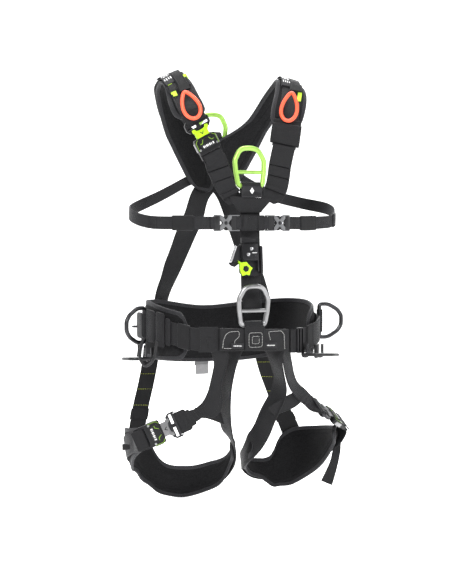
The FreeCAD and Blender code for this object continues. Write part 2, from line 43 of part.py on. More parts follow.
back_webbing_right = [[26.05, 110.1, 320.17, 0.316, 0.926, -0.205, 0.869, -0.37, -0.33, 44, 2.4], [16.17, 109.68, 304.15, 0.296, 0.925, -0.237, 0.884, -0.359, -0.301, 44, 2.4], [2.48, 109.66, 290.99, 0.162, 0.974, -0.161, 0.936, -0.203, -0.289, 44, 2.4], [-11.58, 109.53, 278.3, -0.007, 1, -0.006, 0.962, 0.005, -0.273, 44, 2.4], [-22.63, 108.82, 263.72, -0.133, 0.991, 0.028, 0.958, 0.136, -0.254, 44, 2.4], [-29.78, 107.51, 246.57, -0.148, 0.989, -0.002, 0.961, 0.144, -0.238, 44, 2.4], [-35.47, 106.3, 228.35, -0.077, 0.997, -0.003, 0.972, 0.075, -0.222, 44, 2.4], [-42.25, 106.08, 210.69, 0.024, 1, 0.005, 0.98, -0.023, -0.196, 44, 2.4], [-50.45, 106.75, 193.86, 0.086, 0.996, 0.002, 0.983, -0.085, -0.165, 44, 2.4], [-58.08, 107.51, 176.79, 0.048, 0.999, 0.025, 0.989, -0.044, -0.142, 44, 2.4], [-64.96, 108.3, 159.36, -0.051, 0.996, 0.078, 0.99, 0.061, -0.126, 44, 2.4], [-72.04, 109.52, 142.02, -0.111, 0.985, 0.132, 0.985, 0.127, -0.116, 44, 2.4], [-79.17, 111.33, 124.79, -0.15, 0.974, 0.171, 0.977, 0.172, -0.126, 44, 2.4], [-85.42, 113.56, 107.26, -0.263, 0.94, 0.217, 0.939, 0.301, -0.164, 44, 2.4], [-91.6, 115.94, 89.71, -0.376, 0.891, 0.256, 0.887, 0.426, -0.18, 44, 2.4], [-98.27, 118.2, 72.33, -0.434, 0.865, 0.251, 0.866, 0.477, -0.147, 44, 2.4], [-103.66, 120.1, 54.47, -0.492, 0.849, 0.194, 0.844, 0.52, -0.132, 44, 2.4], [-106.47, 121.73, 36.02, -0.536, 0.836, 0.118, 0.824, 0.549, -0.139, 44, 2.4], [-107.07, 123.14, 17.31, -0.536, 0.842, 0.058, 0.832, 0.538, -0.137, 44, 2.4], [-106.81, 124.08, -1.52, -0.515, 0.857, 0.026, 0.848, 0.514, -0.13, 44, 2.4], [-107.07, 124.29, -20.3, -0.506, 0.862, 0.019, 0.854, 0.504, -0.128, 44, 2.4], [-109.24, 123.5, -38.89, -0.542, 0.84, 0.028, 0.83, 0.54, -0.137, 44, 2.4]]
back_webbing_left = [[-8.6, 115, 319.86, 0.284, 0.938, 0.2, 0.882, -0.338, 0.33, 44, 2.4], [2.86, 114.24, 304.85, 0.196, 0.965, 0.176, 0.929, -0.24, 0.282, 44, 2.4], [16.68, 114.06, 291.36, 0.187, 0.961, 0.205, 0.929, -0.24, 0.281, 44, 2.4], [30.07, 113.73, 277.64, 0.227, 0.96, 0.165, 0.919, -0.267, 0.289, 44, 2.4], [40.31, 112.51, 262.01, 0.241, 0.969, 0.059, 0.932, -0.248, 0.266, 44, 2.4], [47.1, 110.53, 244.26, 0.185, 0.983, -0.005, 0.961, -0.18, 0.21, 44, 2.4], [52.96, 108.94, 225.96, 0.137, 0.99, 0.015, 0.975, -0.138, 0.173, 44, 2.4], [59.42, 108.71, 208.06, 0.142, 0.988, 0.059, 0.973, -0.15, 0.175, 44, 2.4], [66, 109.07, 190.28, 0.137, 0.988, 0.07, 0.973, -0.147, 0.179, 44, 2.4], [72.31, 109.44, 172.35, 0.077, 0.996, 0.05, 0.984, -0.084, 0.158, 44, 2.4], [78.61, 109.87, 154.39, -0.005, 1, 0.028, 0.992, 0.001, 0.129, 44, 2.4], [85.2, 110.5, 136.55, -0.065, 0.998, 0.022, 0.991, 0.062, 0.116, 44, 2.4], [92.17, 111.53, 118.88, -0.102, 0.994, 0.035, 0.988, 0.097, 0.117, 44, 2.4], [99.47, 113.21, 101.4, -0.132, 0.989, 0.06, 0.985, 0.124, 0.12, 44, 2.4], [106.96, 115.62, 84.06, -0.165, 0.984, 0.073, 0.981, 0.156, 0.113, 44, 2.4], [114.24, 118.28, 66.67, -0.194, 0.979, 0.064, 0.978, 0.187, 0.096, 44, 2.4], [120.85, 120.66, 49.01, -0.212, 0.977, 0.037, 0.975, 0.209, 0.072, 44, 2.4], [126.39, 122.28, 30.9, -0.216, 0.976, 0.008, 0.976, 0.215, 0.043, 44, 2.4], [130.66, 123.15, 12.36, -0.21, 0.978, -0.008, 0.978, 0.21, 0.012, 44, 2.4], [133.55, 123.49, -6.48, -0.202, 0.979, -0.013, 0.979, 0.202, -0.014, 44, 2.4], [134.94, 123.54, -25.5, -0.199, 0.98, -0.006, 0.98, 0.198, -0.03, 44, 2.4], [134.75, 123.5, -44.57, -0.209, 0.978, 0, 0.977, 0.209, -0.029, 44, 2.4]]
side_strap_right = [[-30.35, 107.5, 301.86, -0.019, 0.997, -0.071, 0.184, 0.074, 0.98, 25, 2], [-42.97, 106.9, 296.91, -0.031, 0.997, -0.068, 0.181, 0.072, 0.981, 25, 2], [-55.28, 106, 291.28, -0.062, 0.996, -0.059, 0.172, 0.069, 0.983, 25, 2], [-67.38, 104.69, 285.29, -0.107, 0.993, -0.047, 0.16, 0.064, 0.985, 25, 2], [-79.38, 102.84, 279.24, -0.159, 0.987, -0.035, 0.147, 0.059, 0.987, 25, 2], [-91.36, 100.39, 273.37, -0.211, 0.977, -0.025, 0.135, 0.054, 0.989, 25, 2], [-103.34, 97.39, 267.75, -0.256, 0.967, -0.017, 0.125, 0.05, 0.991, 25, 2], [-115.3, 93.88, 262.4, -0.299, 0.954, -0.01, 0.116, 0.046, 0.992, 25, 2], [-127.22, 89.8, 257.37, -0.347, 0.938, -0.003, 0.107, 0.043, 0.993, 25, 2], [-139.05, 85.06, 252.71, -0.403, 0.915, 0.004, 0.098, 0.039, 0.994, 25, 2], [-150.68, 79.52, 248.45, -0.474, 0.881, 0.011, 0.088, 0.035, 0.995, 25, 2], [-161.86, 72.88, 244.58, -0.564, 0.825, 0.018, 0.079, 0.031, 0.996, 25, 2], [-172.28, 64.92, 241.1, -0.659, 0.752, 0.025, 0.068, 0.027, 0.997, 25, 2], [-181.73, 55.68, 238.04, -0.74, 0.672, 0.027, 0.058, 0.023, 0.998, 25, 2], [-190.2, 45.41, 235.41, -0.804, 0.594, 0.027, 0.048, 0.019, 0.999, 25, 2], [-197.67, 34.31, 233.16, -0.854, 0.52, 0.024, 0.038, 0.015, 0.999, 25, 2], [-204.2, 22.61, 231.02, -0.893, 0.45, 0.02, 0.027, 0.011, 1, 25, 2], [-209.8, 10.47, 228.73, -0.928, 0.372, 0.012, 0.016, 0.006, 1, 25, 2], [-214.16, -2.13, 226.2, -0.965, 0.263, 0.004, 0.004, 0.002, 1, 25, 2], [-216.8, -15.15, 223.47, -0.993, 0.117, -0.004, -0.004, -0.002, 1, 25, 2], [-217.24, -28.38, 220.5, -0.998, -0.064, -0.01, -0.01, -0.004, 1, 25, 2], [-215.05, -41.37, 217.26, -0.963, -0.268, -0.019, -0.017, -0.007, 1, 25, 2], [-210.11, -53.58, 214.02, -0.883, -0.468, -0.026, -0.024, -0.01, 1, 25, 2], [-202.59, -64.53, 211.23, -0.775, -0.631, -0.023, -0.023, -0.009, 1, 25, 2], [-193.23, -74.15, 209.27, -0.679, -0.734, -0.014, -0.014, -0.006, 1, 25, 2], [-182.8, -82.78, 208.34, -0.597, -0.802, -0.006, -0.006, -0.003, 1, 25, 2], [-171.51, -90.3, 208.1, -0.502, -0.865, -0.001, -0.001, -0, 1, 25, 2], [-159.37, -96.36, 207.99, -0.395, -0.919, 0.001, 0.001, 0, 1, 25, 2], [-146.62, -100.99, 207.81, -0.302, -0.953, 0, 0.001, 0, 1, 25, 2], [-133.53, -104.55, 207.66, -0.236, -0.972, -0, -0, -0, 1, 25, 2], [-120.27, -107.42, 207.62, -0.182, -0.983, -0, -0, -0, 1, 25, 2], [-107, -110.65, 207.63, -0.098, -0.995, -0, 0.001, -0, 1, 25, 2], [-93.68, -113.19, 207.63, -0.019, -1, -0, 0.002, -0, 1, 25, 2], [-80.17, -113.5, 207.61, -0, -1, -0, 0.002, -0, 1, 25, 2]]
side_strap_left = [[48.25, 107.5, 317.26, -0.092, 0.985, -0.146, -0.285, 0.114, 0.952, 25, 2], [59.48, 107.22, 308.28, -0.076, 0.987, -0.138, -0.28, 0.112, 0.953, 25, 2], [71.2, 106.84, 299.97, -0.048, 0.991, -0.126, -0.271, 0.109, 0.956, 25, 2], [83.32, 106.33, 292.26, -0.019, 0.993, -0.113, -0.26, 0.104, 0.96, 25, 2], [95.75, 105.62, 285.06, 0.012, 0.995, -0.098, -0.246, 0.098, 0.964, 25, 2], [108.38, 104.65, 278.28, 0.044, 0.996, -0.084, -0.229, 0.092, 0.969, 25, 2], [121.15, 103.38, 271.8, 0.083, 0.994, -0.068, -0.21, 0.084, 0.974, 25, 2], [134.11, 101.66, 265.83, 0.135, 0.99, -0.05, -0.188, 0.075, 0.979, 25, 2], [147.39, 99.25, 260.87, 0.195, 0.98, -0.033, -0.166, 0.066, 0.984, 25, 2], [160.89, 96.04, 257.1, 0.248, 0.968, -0.02, -0.143, 0.057, 0.988, 25, 2], [174.35, 92.19, 253.84, 0.296, 0.955, -0.011, -0.125, 0.05, 0.991, 25, 2], [187.59, 87.7, 250.52, 0.359, 0.933, -0.002, -0.112, 0.045, 0.993, 25, 2], [200.44, 82.13, 247.26, 0.457, 0.889, 0.01, -0.103, 0.041, 0.994, 25, 2], [212.56, 74.95, 244.39, 0.587, 0.809, 0.024, -0.092, 0.037, 0.995, 25, 2], [223.26, 65.71, 241.81, 0.744, 0.667, 0.038, -0.079, 0.032, 0.996, 25, 2], [231.43, 54.18, 239.2, 0.886, 0.461, 0.046, -0.066, 0.026, 0.997, 25, 2], [236.42, 41.01, 236.28, 0.972, 0.232, 0.046, -0.053, 0.021, 0.998, 25, 2], [238.19, 27.17, 232.83, 0.999, 0.009, 0.04, -0.04, 0.016, 0.999, 25, 2], [236.95, 13.35, 229.09, 0.982, -0.188, 0.03, -0.028, 0.011, 1, 25, 2], [233.18, -0.06, 225.52, 0.943, -0.332, 0.017, -0.016, 0.006, 1, 25, 2], [227.82, -12.98, 222.19, 0.915, -0.402, 0.004, -0.004, 0.002, 1, 25, 2], [221.95, -25.69, 218.95, 0.898, -0.44, -0.006, 0.005, -0.002, 1, 25, 2], [215.46, -38.12, 215.78, 0.857, -0.515, -0.012, 0.011, -0.004, 1, 25, 2], [207.45, -49.69, 212.88, 0.779, -0.627, -0.015, 0.014, -0.006, 1, 25, 2], [197.75, -60.04, 210.55, 0.683, -0.731, -0.013, 0.014, -0.005, 1, 25, 2], [186.65, -69.06, 209.06, 0.584, -0.812, -0.009, 0.01, -0.004, 1, 25, 2], [174.51, -76.72, 208.32, 0.495, -0.869, -0.003, 0.004, -0.002, 1, 25, 2], [161.71, -83.24, 207.82, 0.424, -0.906, 0, -0.001, 0, 1, 25, 2], [148.5, -88.9, 207.29, 0.37, -0.929, 0.001, -0.001, 0.001, 1, 25, 2], [135.01, -93.82, 206.81, 0.337, -0.941, 0, -0, 0, 1, 25, 2], [121.49, -98.79, 206.6, 0.299, -0.954, -0, 0, -0, 1, 25, 2], [108.29, -105.05, 206.85, 0.191, -0.982, -0, 0, -0, 1, 25, 2], [94.94, -110.32, 207.21, 0.08, -0.997, -0, 0, -0, 1, 25, 2], [80.82, -111.87, 207.32, 0.05, -0.999, 0, 0, 0, 1, 25, 2]]
chest_band = [[-25.97, -113.5, 207.49, -0.061, -0.998, 0, 0, 0, 1, 25, 2], [-15.45, -114.14, 207.46, -0.051, -0.999, 0, 0, 0, 1, 25, 2], [-4.92, -114.57, 207.42, -0.031, -1, 0, 0, 0, 1, 25, 2], [5.61, -114.79, 207.39, -0.01, -1, 0, 0, 0, 1, 25, 2], [16.15, -114.79, 207.36, 0.01, -1, 0, 0, 0, 1, 25, 2], [26.69, -114.58, 207.32, 0.02, -1, 0, 0, 0, 1, 25, 2]]
ventral_webbing = [[0.78, -103.2, 250.38, -0, -1, 0.025, 1, 0, 0.003, 41, 2.6], [0.6, -103.56, 236.14, -0, -0.999, 0.038, 1, 0, 0.002, 41, 2.6], [0.02, -104.28, 221.92, 0, -0.998, 0.056, 1, 0, -0, 41, 2.6], [-0.64, -105.17, 207.71, 0, -0.998, 0.061, 1, 0, -0.002, 41, 2.6], [-1.09, -106.01, 193.5, 0, -0.999, 0.054, 1, 0, -0.004, 41, 2.6], [-1.15, -106.71, 179.27, 0, -0.999, 0.051, 1, 0, -0.006, 41, 2.6], [-1.16, -107.46, 165.04, 0, -0.998, 0.063, 1, 0, -0.008, 41, 2.6], [-1.48, -108.5, 150.83, 0.001, -0.997, 0.084, 1, 0, -0.009, 41, 2.6], [-1.95, -109.84, 136.65, 0.001, -0.995, 0.102, 1, 0, -0.011, 41, 2.6], [-2.34, -111.42, 122.49, 0.002, -0.993, 0.118, 1, 0, -0.013, 41, 2.6], [-2.76, -113.19, 108.36, 0.002, -0.992, 0.13, 1, 0, -0.015, 41, 2.6], [-3.3, -115.12, 94.26, 0.002, -0.99, 0.138, 1, 0, -0.017, 41, 2.6], [-3.77, -117.13, 80.16, 0.003, -0.99, 0.144, 1, 0, -0.019, 41, 2.6], [-4.01, -119.23, 66.07, 0.003, -0.988, 0.157, 1, 0, -0.021, 41, 2.6], [-4.02, -121.62, 52.02, 0.004, -0.983, 0.185, 1, 0, -0.022, 41, 2.6], [-3.81, -124.5, 38.06, 0.005, -0.979, 0.202, 1, 0, -0.024, 41, 2.6]]
belt_webbing = [[-56.62, -133.45, -17.52, -0.14, -0.99, 0, 0, 0, 1, 44, 2.6], [-76.48, -129.79, -16.81, -0.225, -0.974, 0, 0, 0, 1, 44, 2.6], [-94.37, -124.75, -16.75, -0.319, -0.948, 0, 0, 0, 1, 44, 2.6], [-110.51, -118.36, -16.71, -0.419, -0.908, 0, 0, 0, 1, 44, 2.6], [-124.97, -110.64, -15.26, -0.523, -0.852, 0, 0, 0, 1, 44, 2.6], [-137.77, -101.62, -11.68, -0.628, -0.778, 0, 0, 0, 1, 44, 2.6], [-148.89, -91.32, -8.39, -0.729, -0.684, 0, 0, 0, 1, 44, 2.6], [-158.3, -79.75, -5.23, -0.82, -0.573, 0, 0, 0, 1, 44, 2.6], [-165.95, -66.88, -2.55, -0.894, -0.447, 0, 0, 0, 1, 44, 2.6], [-171.83, -52.63, -0.09, -0.949, -0.315, 0, 0, 0, 1, 44, 2.6], [-175.89, -36.73, 2.08, -0.983, -0.183, 0, 0, 0, 1, 44, 2.6], [-178.13, -18.32, 3.44, -0.998, -0.064, 0, 0, 0, 1, 44, 2.6], [-178.53, 8.77, 3.84, -1, 0.021, 0, 0, 0, 1, 44, 2.6], [-177.08, 29.2, 4, -0.992, 0.13, 0, 0, 0, 1, 44, 2.6], [-173.8, 46.01, 3.84, -0.966, 0.257, 0, 0, 0, 1, 44, 2.6], [-168.7, 60.92, 3.38, -0.921, 0.39, 0, 0, 0, 1, 44, 2.6], [-161.81, 74.37, 2.67, -0.854, 0.52, 0, 0, 0, 1, 44, 2.6], [-153.16, 86.49, 1.8, -0.77, 0.638, 0, 0, 0, 1, 44, 2.6], [-142.77, 97.34, 0.82, -0.673, 0.74, 0, 0, 0, 1, 44, 2.6], [-130.69, 106.91, -0.2, -0.569, 0.823, 0, 0, 0, 1, 44, 2.6], [-116.95, 115.19, -1.18, -0.464, 0.886, 0, 0, 0, 1, 44, 2.6], [-101.53, 122.16, -2.06, -0.361, 0.932, 0, 0, 0, 1, 44, 2.6], [-84.41, 127.79, -3.06, -0.265, 0.964, 0, 0, 0, 1, 44, 2.6], [-65.45, 132.05, -4.21, -0.176, 0.984, 0, 0, 0, 1, 44, 2.6], [-44.22, 134.92, -5.24, -0.096, 0.995, 0, 0, 0, 1, 44, 2.6], [-19.29, 136.39, -5.89, -0.027, 1, 0, 0, 0, 1, 44, 2.6], [16.67, 136.45, -5.92, 0.022, 1, 0, 0, 0, 1, 44, 2.6], [42.14, 135.11, -5.31, 0.089, 0.996, 0, 0, 0, 1, 44, 2.6], [63.62, 132.36, -4.31, 0.168, 0.986, 0, 0, 0, 1, 44, 2.6], [82.77, 128.23, -3.16, 0.256, 0.967, 0, 0, 0, 1, 44, 2.6], [100.05, 122.73, -2.14, 0.352, 0.936, 0, 0, 0, 1, 44, 2.6], [115.61, 115.88, -1.26, 0.454, 0.891, 0, 0, 0, 1, 44, 2.6], [129.51, 107.72, -0.29, 0.559, 0.829, 0, 0, 0, 1, 44, 2.6], [141.74, 98.26, 0.73, 0.663, 0.748, 0, 0, 0, 1, 44, 2.6], [152.28, 87.53, 1.71, 0.761, 0.648, 0, 0, 0, 1, 44, 2.6], [161.1, 75.52, 2.6, 0.847, 0.531, 0, 0, 0, 1, 44, 2.6], [168.15, 62.2, 3.32, 0.915, 0.403, 0, 0, 0, 1, 44, 2.6], [173.41, 47.43, 3.81, 0.963, 0.269, 0, 0, 0, 1, 44, 2.6], [176.86, 30.84, 4, 0.99, 0.141, 0, 0, 0, 1, 44, 2.6], [178.47, 10.95, 3.23, 1, 0.03, 0, 0, 0, 1, 44, 2.6], [178.24, -16.44, 1.68, 0.999, -0.055, 0, 0, 0, 1, 44, 2.6], [176.17, -35.18, -0.55, 0.985, -0.172, 0, 0, 0, 1, 44, 2.6], [172.27, -51.26, -3.45, 0.953, -0.302, 0, 0, 0, 1, 44, 2.6], [166.56, -65.65, -6.59, 0.9, -0.435, 0, 0, 0, 1, 44, 2.6], [159.07, -78.63, -9.69, 0.827, -0.562, 0, 0, 0, 1, 44, 2.6], [149.82, -90.32, -13.03, 0.738, -0.675, 0, 0, 0, 1, 44, 2.6], [138.86, -100.74, -16.29, 0.638, -0.77, 0, 0, 0, 1, 44, 2.6], [126.21, -109.87, -19.26, 0.533, -0.846, 0, 0, 0, 1, 44, 2.6], [111.89, -117.71, -21.83, 0.428, -0.904, 0, 0, 0, 1, 44, 2.6], [95.91, -124.23, -23.93, 0.328, -0.945, 0, 0, 0, 1, 44, 2.6], [78.19, -129.39, -24.97, 0.234, -0.972, 0, 0, 0, 1, 44, 2.6], [58.52, -133.18, -20.52, 0.147, -0.989, 0, 0, 0, 1, 44, 2.6]]
belt_front_panel = [[-76.17, -136, -16.44, 0.034, -0.999, -0, -0, 0, -1, 44.44, 5], [-64.09, -135.58, -17, -0.003, -1, 0, -0, 0, -1, 44.22, 5], [-52.03, -136.08, -17.5, -0.055, -0.998, -0, 0, 0, -1, 43.96, 5], [-39.98, -136.91, -17.97, -0.06, -0.998, -0, 0, 0, -1, 43.72, 5], [-27.93, -137.52, -18.44, -0.028, -1, -0, 0.001, 0, -1, 43.52, 5], [-15.86, -137.58, -18.92, 0.001, -1, 0, 0.001, 0, -1, 43.38, 5], [-3.79, -137.5, -19.41, -0.001, -1, -0, 0.001, 0, -1, 43.25, 5], [8.29, -137.6, -19.89, 0.001, -1, 0, 0.001, 0, -1, 43.11, 5], [20.36, -137.48, -20.36, 0.03, -1, 0, 0.002, 0, -1, 43.02, 5], [32.41, -136.87, -20.81, 0.058, -0.998, 0, 0.002, 0, -1, 43.06, 5], [44.46, -136.09, -21.24, 0.051, -0.999, 0, 0.002, 0, -1, 43.18, 5], [56.53, -135.64, -21.64, 0.004, -1, 0, 0.002, 0, -1, 43.29, 5], [68.61, -136, -22.02, -0.03, -1, -0, 0.002, 0, -1, 43.32, 5]]
leg_webbing_right = [[-214.93, -76.93, -210.25, -0.328, -0.942, 0.066, -0.356, 0.188, 0.915, 44, 2.6], [-223.1, -68.99, -215.18, -0.454, -0.889, 0.056, -0.306, 0.153, 0.94, 44, 2.6], [-221.31, -54.33, -217.98, -0.829, -0.56, 0.004, -0.149, 0.037, 0.988, 44, 2.6], [-218.49, -38.29, -220.9, -0.977, -0.203, -0.06, -0.053, -0.045, 0.998, 44, 2.6], [-220.29, -24.53, -225.36, -0.986, -0.123, -0.115, -0.112, -0.03, 0.993, 44, 2.6], [-220.83, -10.72, -229.95, -0.988, -0.037, -0.147, -0.147, -0.014, 0.989, 44, 2.6], [-219.95, 3.04, -234.63, -0.985, 0.06, -0.16, -0.16, 0.001, 0.987, 44, 2.6], [-217.63, 16.61, -239.38, -0.973, 0.165, -0.162, -0.161, 0.019, 0.987, 44, 2.6], [-213.81, 29.82, -244.17, -0.948, 0.276, -0.159, -0.155, 0.038, 0.987, 44, 2.6], [-208.46, 42.48, -248.99, -0.908, 0.387, -0.16, -0.147, 0.062, 0.987, 44, 2.6], [-201.63, 54.38, -253.86, -0.855, 0.492, -0.164, -0.141, 0.085, 0.986, 44, 2.6], [-193.42, 65.29, -258.93, -0.789, 0.593, -0.163, -0.129, 0.1, 0.987, 44, 2.6], [-183.99, 74.98, -264.34, -0.71, 0.689, -0.146, -0.108, 0.099, 0.989, 44, 2.6], [-173.62, 83.27, -270.31, -0.619, 0.777, -0.11, -0.077, 0.08, 0.994, 44, 2.6], [-162.77, 90.04, -277.29, -0.516, 0.854, -0.069, -0.043, 0.054, 0.998, 44, 2.6], [-152.03, 95.06, -285.73, -0.392, 0.919, -0.038, -0.018, 0.034, 0.999, 44, 2.6], [-141.88, 98.18, -295.7, -0.257, 0.966, -0.029, -0.008, 0.028, 1, 44, 2.6], [-131.76, 99.85, -306.03, -0.15, 0.988, -0.034, -0.007, 0.033, 0.999, 44, 2.6], [-120.67, 100.72, -315.44, -0.085, 0.996, -0.041, -0.008, 0.04, 0.999, 44, 2.6], [-108.08, 101.19, -322.73, -0.027, 0.999, -0.044, -0.005, 0.044, 0.999, 44, 2.6], [-94.4, 100.88, -327.73, 0.057, 0.997, -0.045, 0.002, 0.045, 0.999, 44, 2.6], [-80.19, 99.26, -330.42, 0.171, 0.984, -0.044, 0.01, 0.043, 0.999, 44, 2.6], [-66.04, 95.82, -330.8, 0.301, 0.953, -0.043, 0.018, 0.039, 0.999, 44, 2.6], [-52.53, 90.57, -329.35, 0.428, 0.903, -0.043, 0.024, 0.037, 0.999, 44, 2.6], [-39.99, 83.67, -326.69, 0.549, 0.835, -0.046, 0.03, 0.036, 0.999, 44, 2.6], [-28.63, 75.18, -323.38, 0.658, 0.751, -0.051, 0.035, 0.038, 0.999, 44, 2.6], [-18.59, 65.39, -319.48, 0.746, 0.664, -0.057, 0.04, 0.04, 0.998, 44, 2.6], [-9.86, 54.85, -314.49, 0.81, 0.584, -0.059, 0.046, 0.037, 0.998, 44, 2.6], [-2.44, 44.16, -307.95, 0.858, 0.511, -0.056, 0.052, 0.022, 0.998, 44, 2.6], [3.63, 33.84, -299.66, 0.905, 0.422, -0.05, 0.059, -0.006, 0.998, 44, 2.6], [8.08, 23.77, -290.13, 0.959, 0.28, -0.051, 0.062, -0.03, 0.998, 44, 2.6], [10.54, 13.67, -279.94, 0.996, 0.061, -0.059, 0.061, -0.031, 0.998, 44, 2.6], [10.49, 3.28, -269.73, 0.982, -0.181, -0.049, 0.052, 0.013, 0.999, 44, 2.6], [7.63, -7.31, -260.15, 0.939, -0.343, 0.015, 0.032, 0.129, 0.991, 44, 2.6], [2.61, -17.68, -251.26, 0.907, -0.398, 0.134, -0.002, 0.314, 0.95, 44, 2.6], [-3.81, -27.61, -242.75, 0.884, -0.371, 0.284, -0.045, 0.538, 0.842, 44, 2.6], [-10.97, -37.03, -234.26, 0.86, -0.281, 0.426, -0.088, 0.741, 0.666, 44, 2.6], [-18.38, -45.89, -225.4, 0.842, -0.158, 0.515, -0.119, 0.877, 0.465, 44, 2.6], [-25.51, -54.14, -215.75, 0.848, -0.037, 0.528, -0.138, 0.948, 0.288, 44, 2.6], [-31.79, -61.62, -204.94, 0.883, 0.059, 0.466, -0.146, 0.977, 0.153, 44, 2.6], [-36.63, -68.16, -192.86, 0.921, 0.116, 0.373, -0.149, 0.987, 0.06, 44, 2.6], [-40.29, -74.12, -180.09, 0.941, 0.14, 0.307, -0.148, 0.989, 0.005, 44, 2.6], [-43.27, -80.04, -167.13, 0.954, 0.147, 0.261, -0.149, 0.989, -0.011, 44, 2.6], [-45.65, -85.79, -153.96, 0.967, 0.147, 0.209, -0.149, 0.989, -0.004, 44, 2.6], [-47.37, -90.99, -140.47, 0.978, 0.144, 0.153, -0.146, 0.989, 0.003, 44, 2.6], [-48.45, -95.68, -126.72, 0.984, 0.144, 0.104, -0.145, 0.989, 0.001, 44, 2.6], [-48.95, -100.18, -112.88, 0.986, 0.155, 0.062, -0.155, 0.988, -0.001, 44, 2.6], [-48.8, -104.55, -98.99, 0.984, 0.176, 0.011, -0.176, 0.984, -0.001, 44, 2.6], [-47.76, -108.51, -85.02, 0.979, 0.194, -0.055, -0.195, 0.981, -0, 44, 2.6], [-45.78, -111.9, -71, 0.975, 0.211, -0.073, -0.211, 0.977, 0, 44, 2.6], [-44.16, -115.47, -56.97, 0.947, 0.318, 0.049, -0.318, 0.948, 0, 44, 2.6], [-44.5, -120.02, -43.14, 0.766, 0.575, 0.287, -0.6, 0.8, -0, 44, 2.6], [-47.27, -124.9, -29.71, 0.445, 0.798, 0.407, -0.873, 0.488, 0, 44, 2.6], [-52.52, -129, -16.76, 0.094, 0.938, 0.335, -0.995, 0.1, 0, 44, 2.6]]
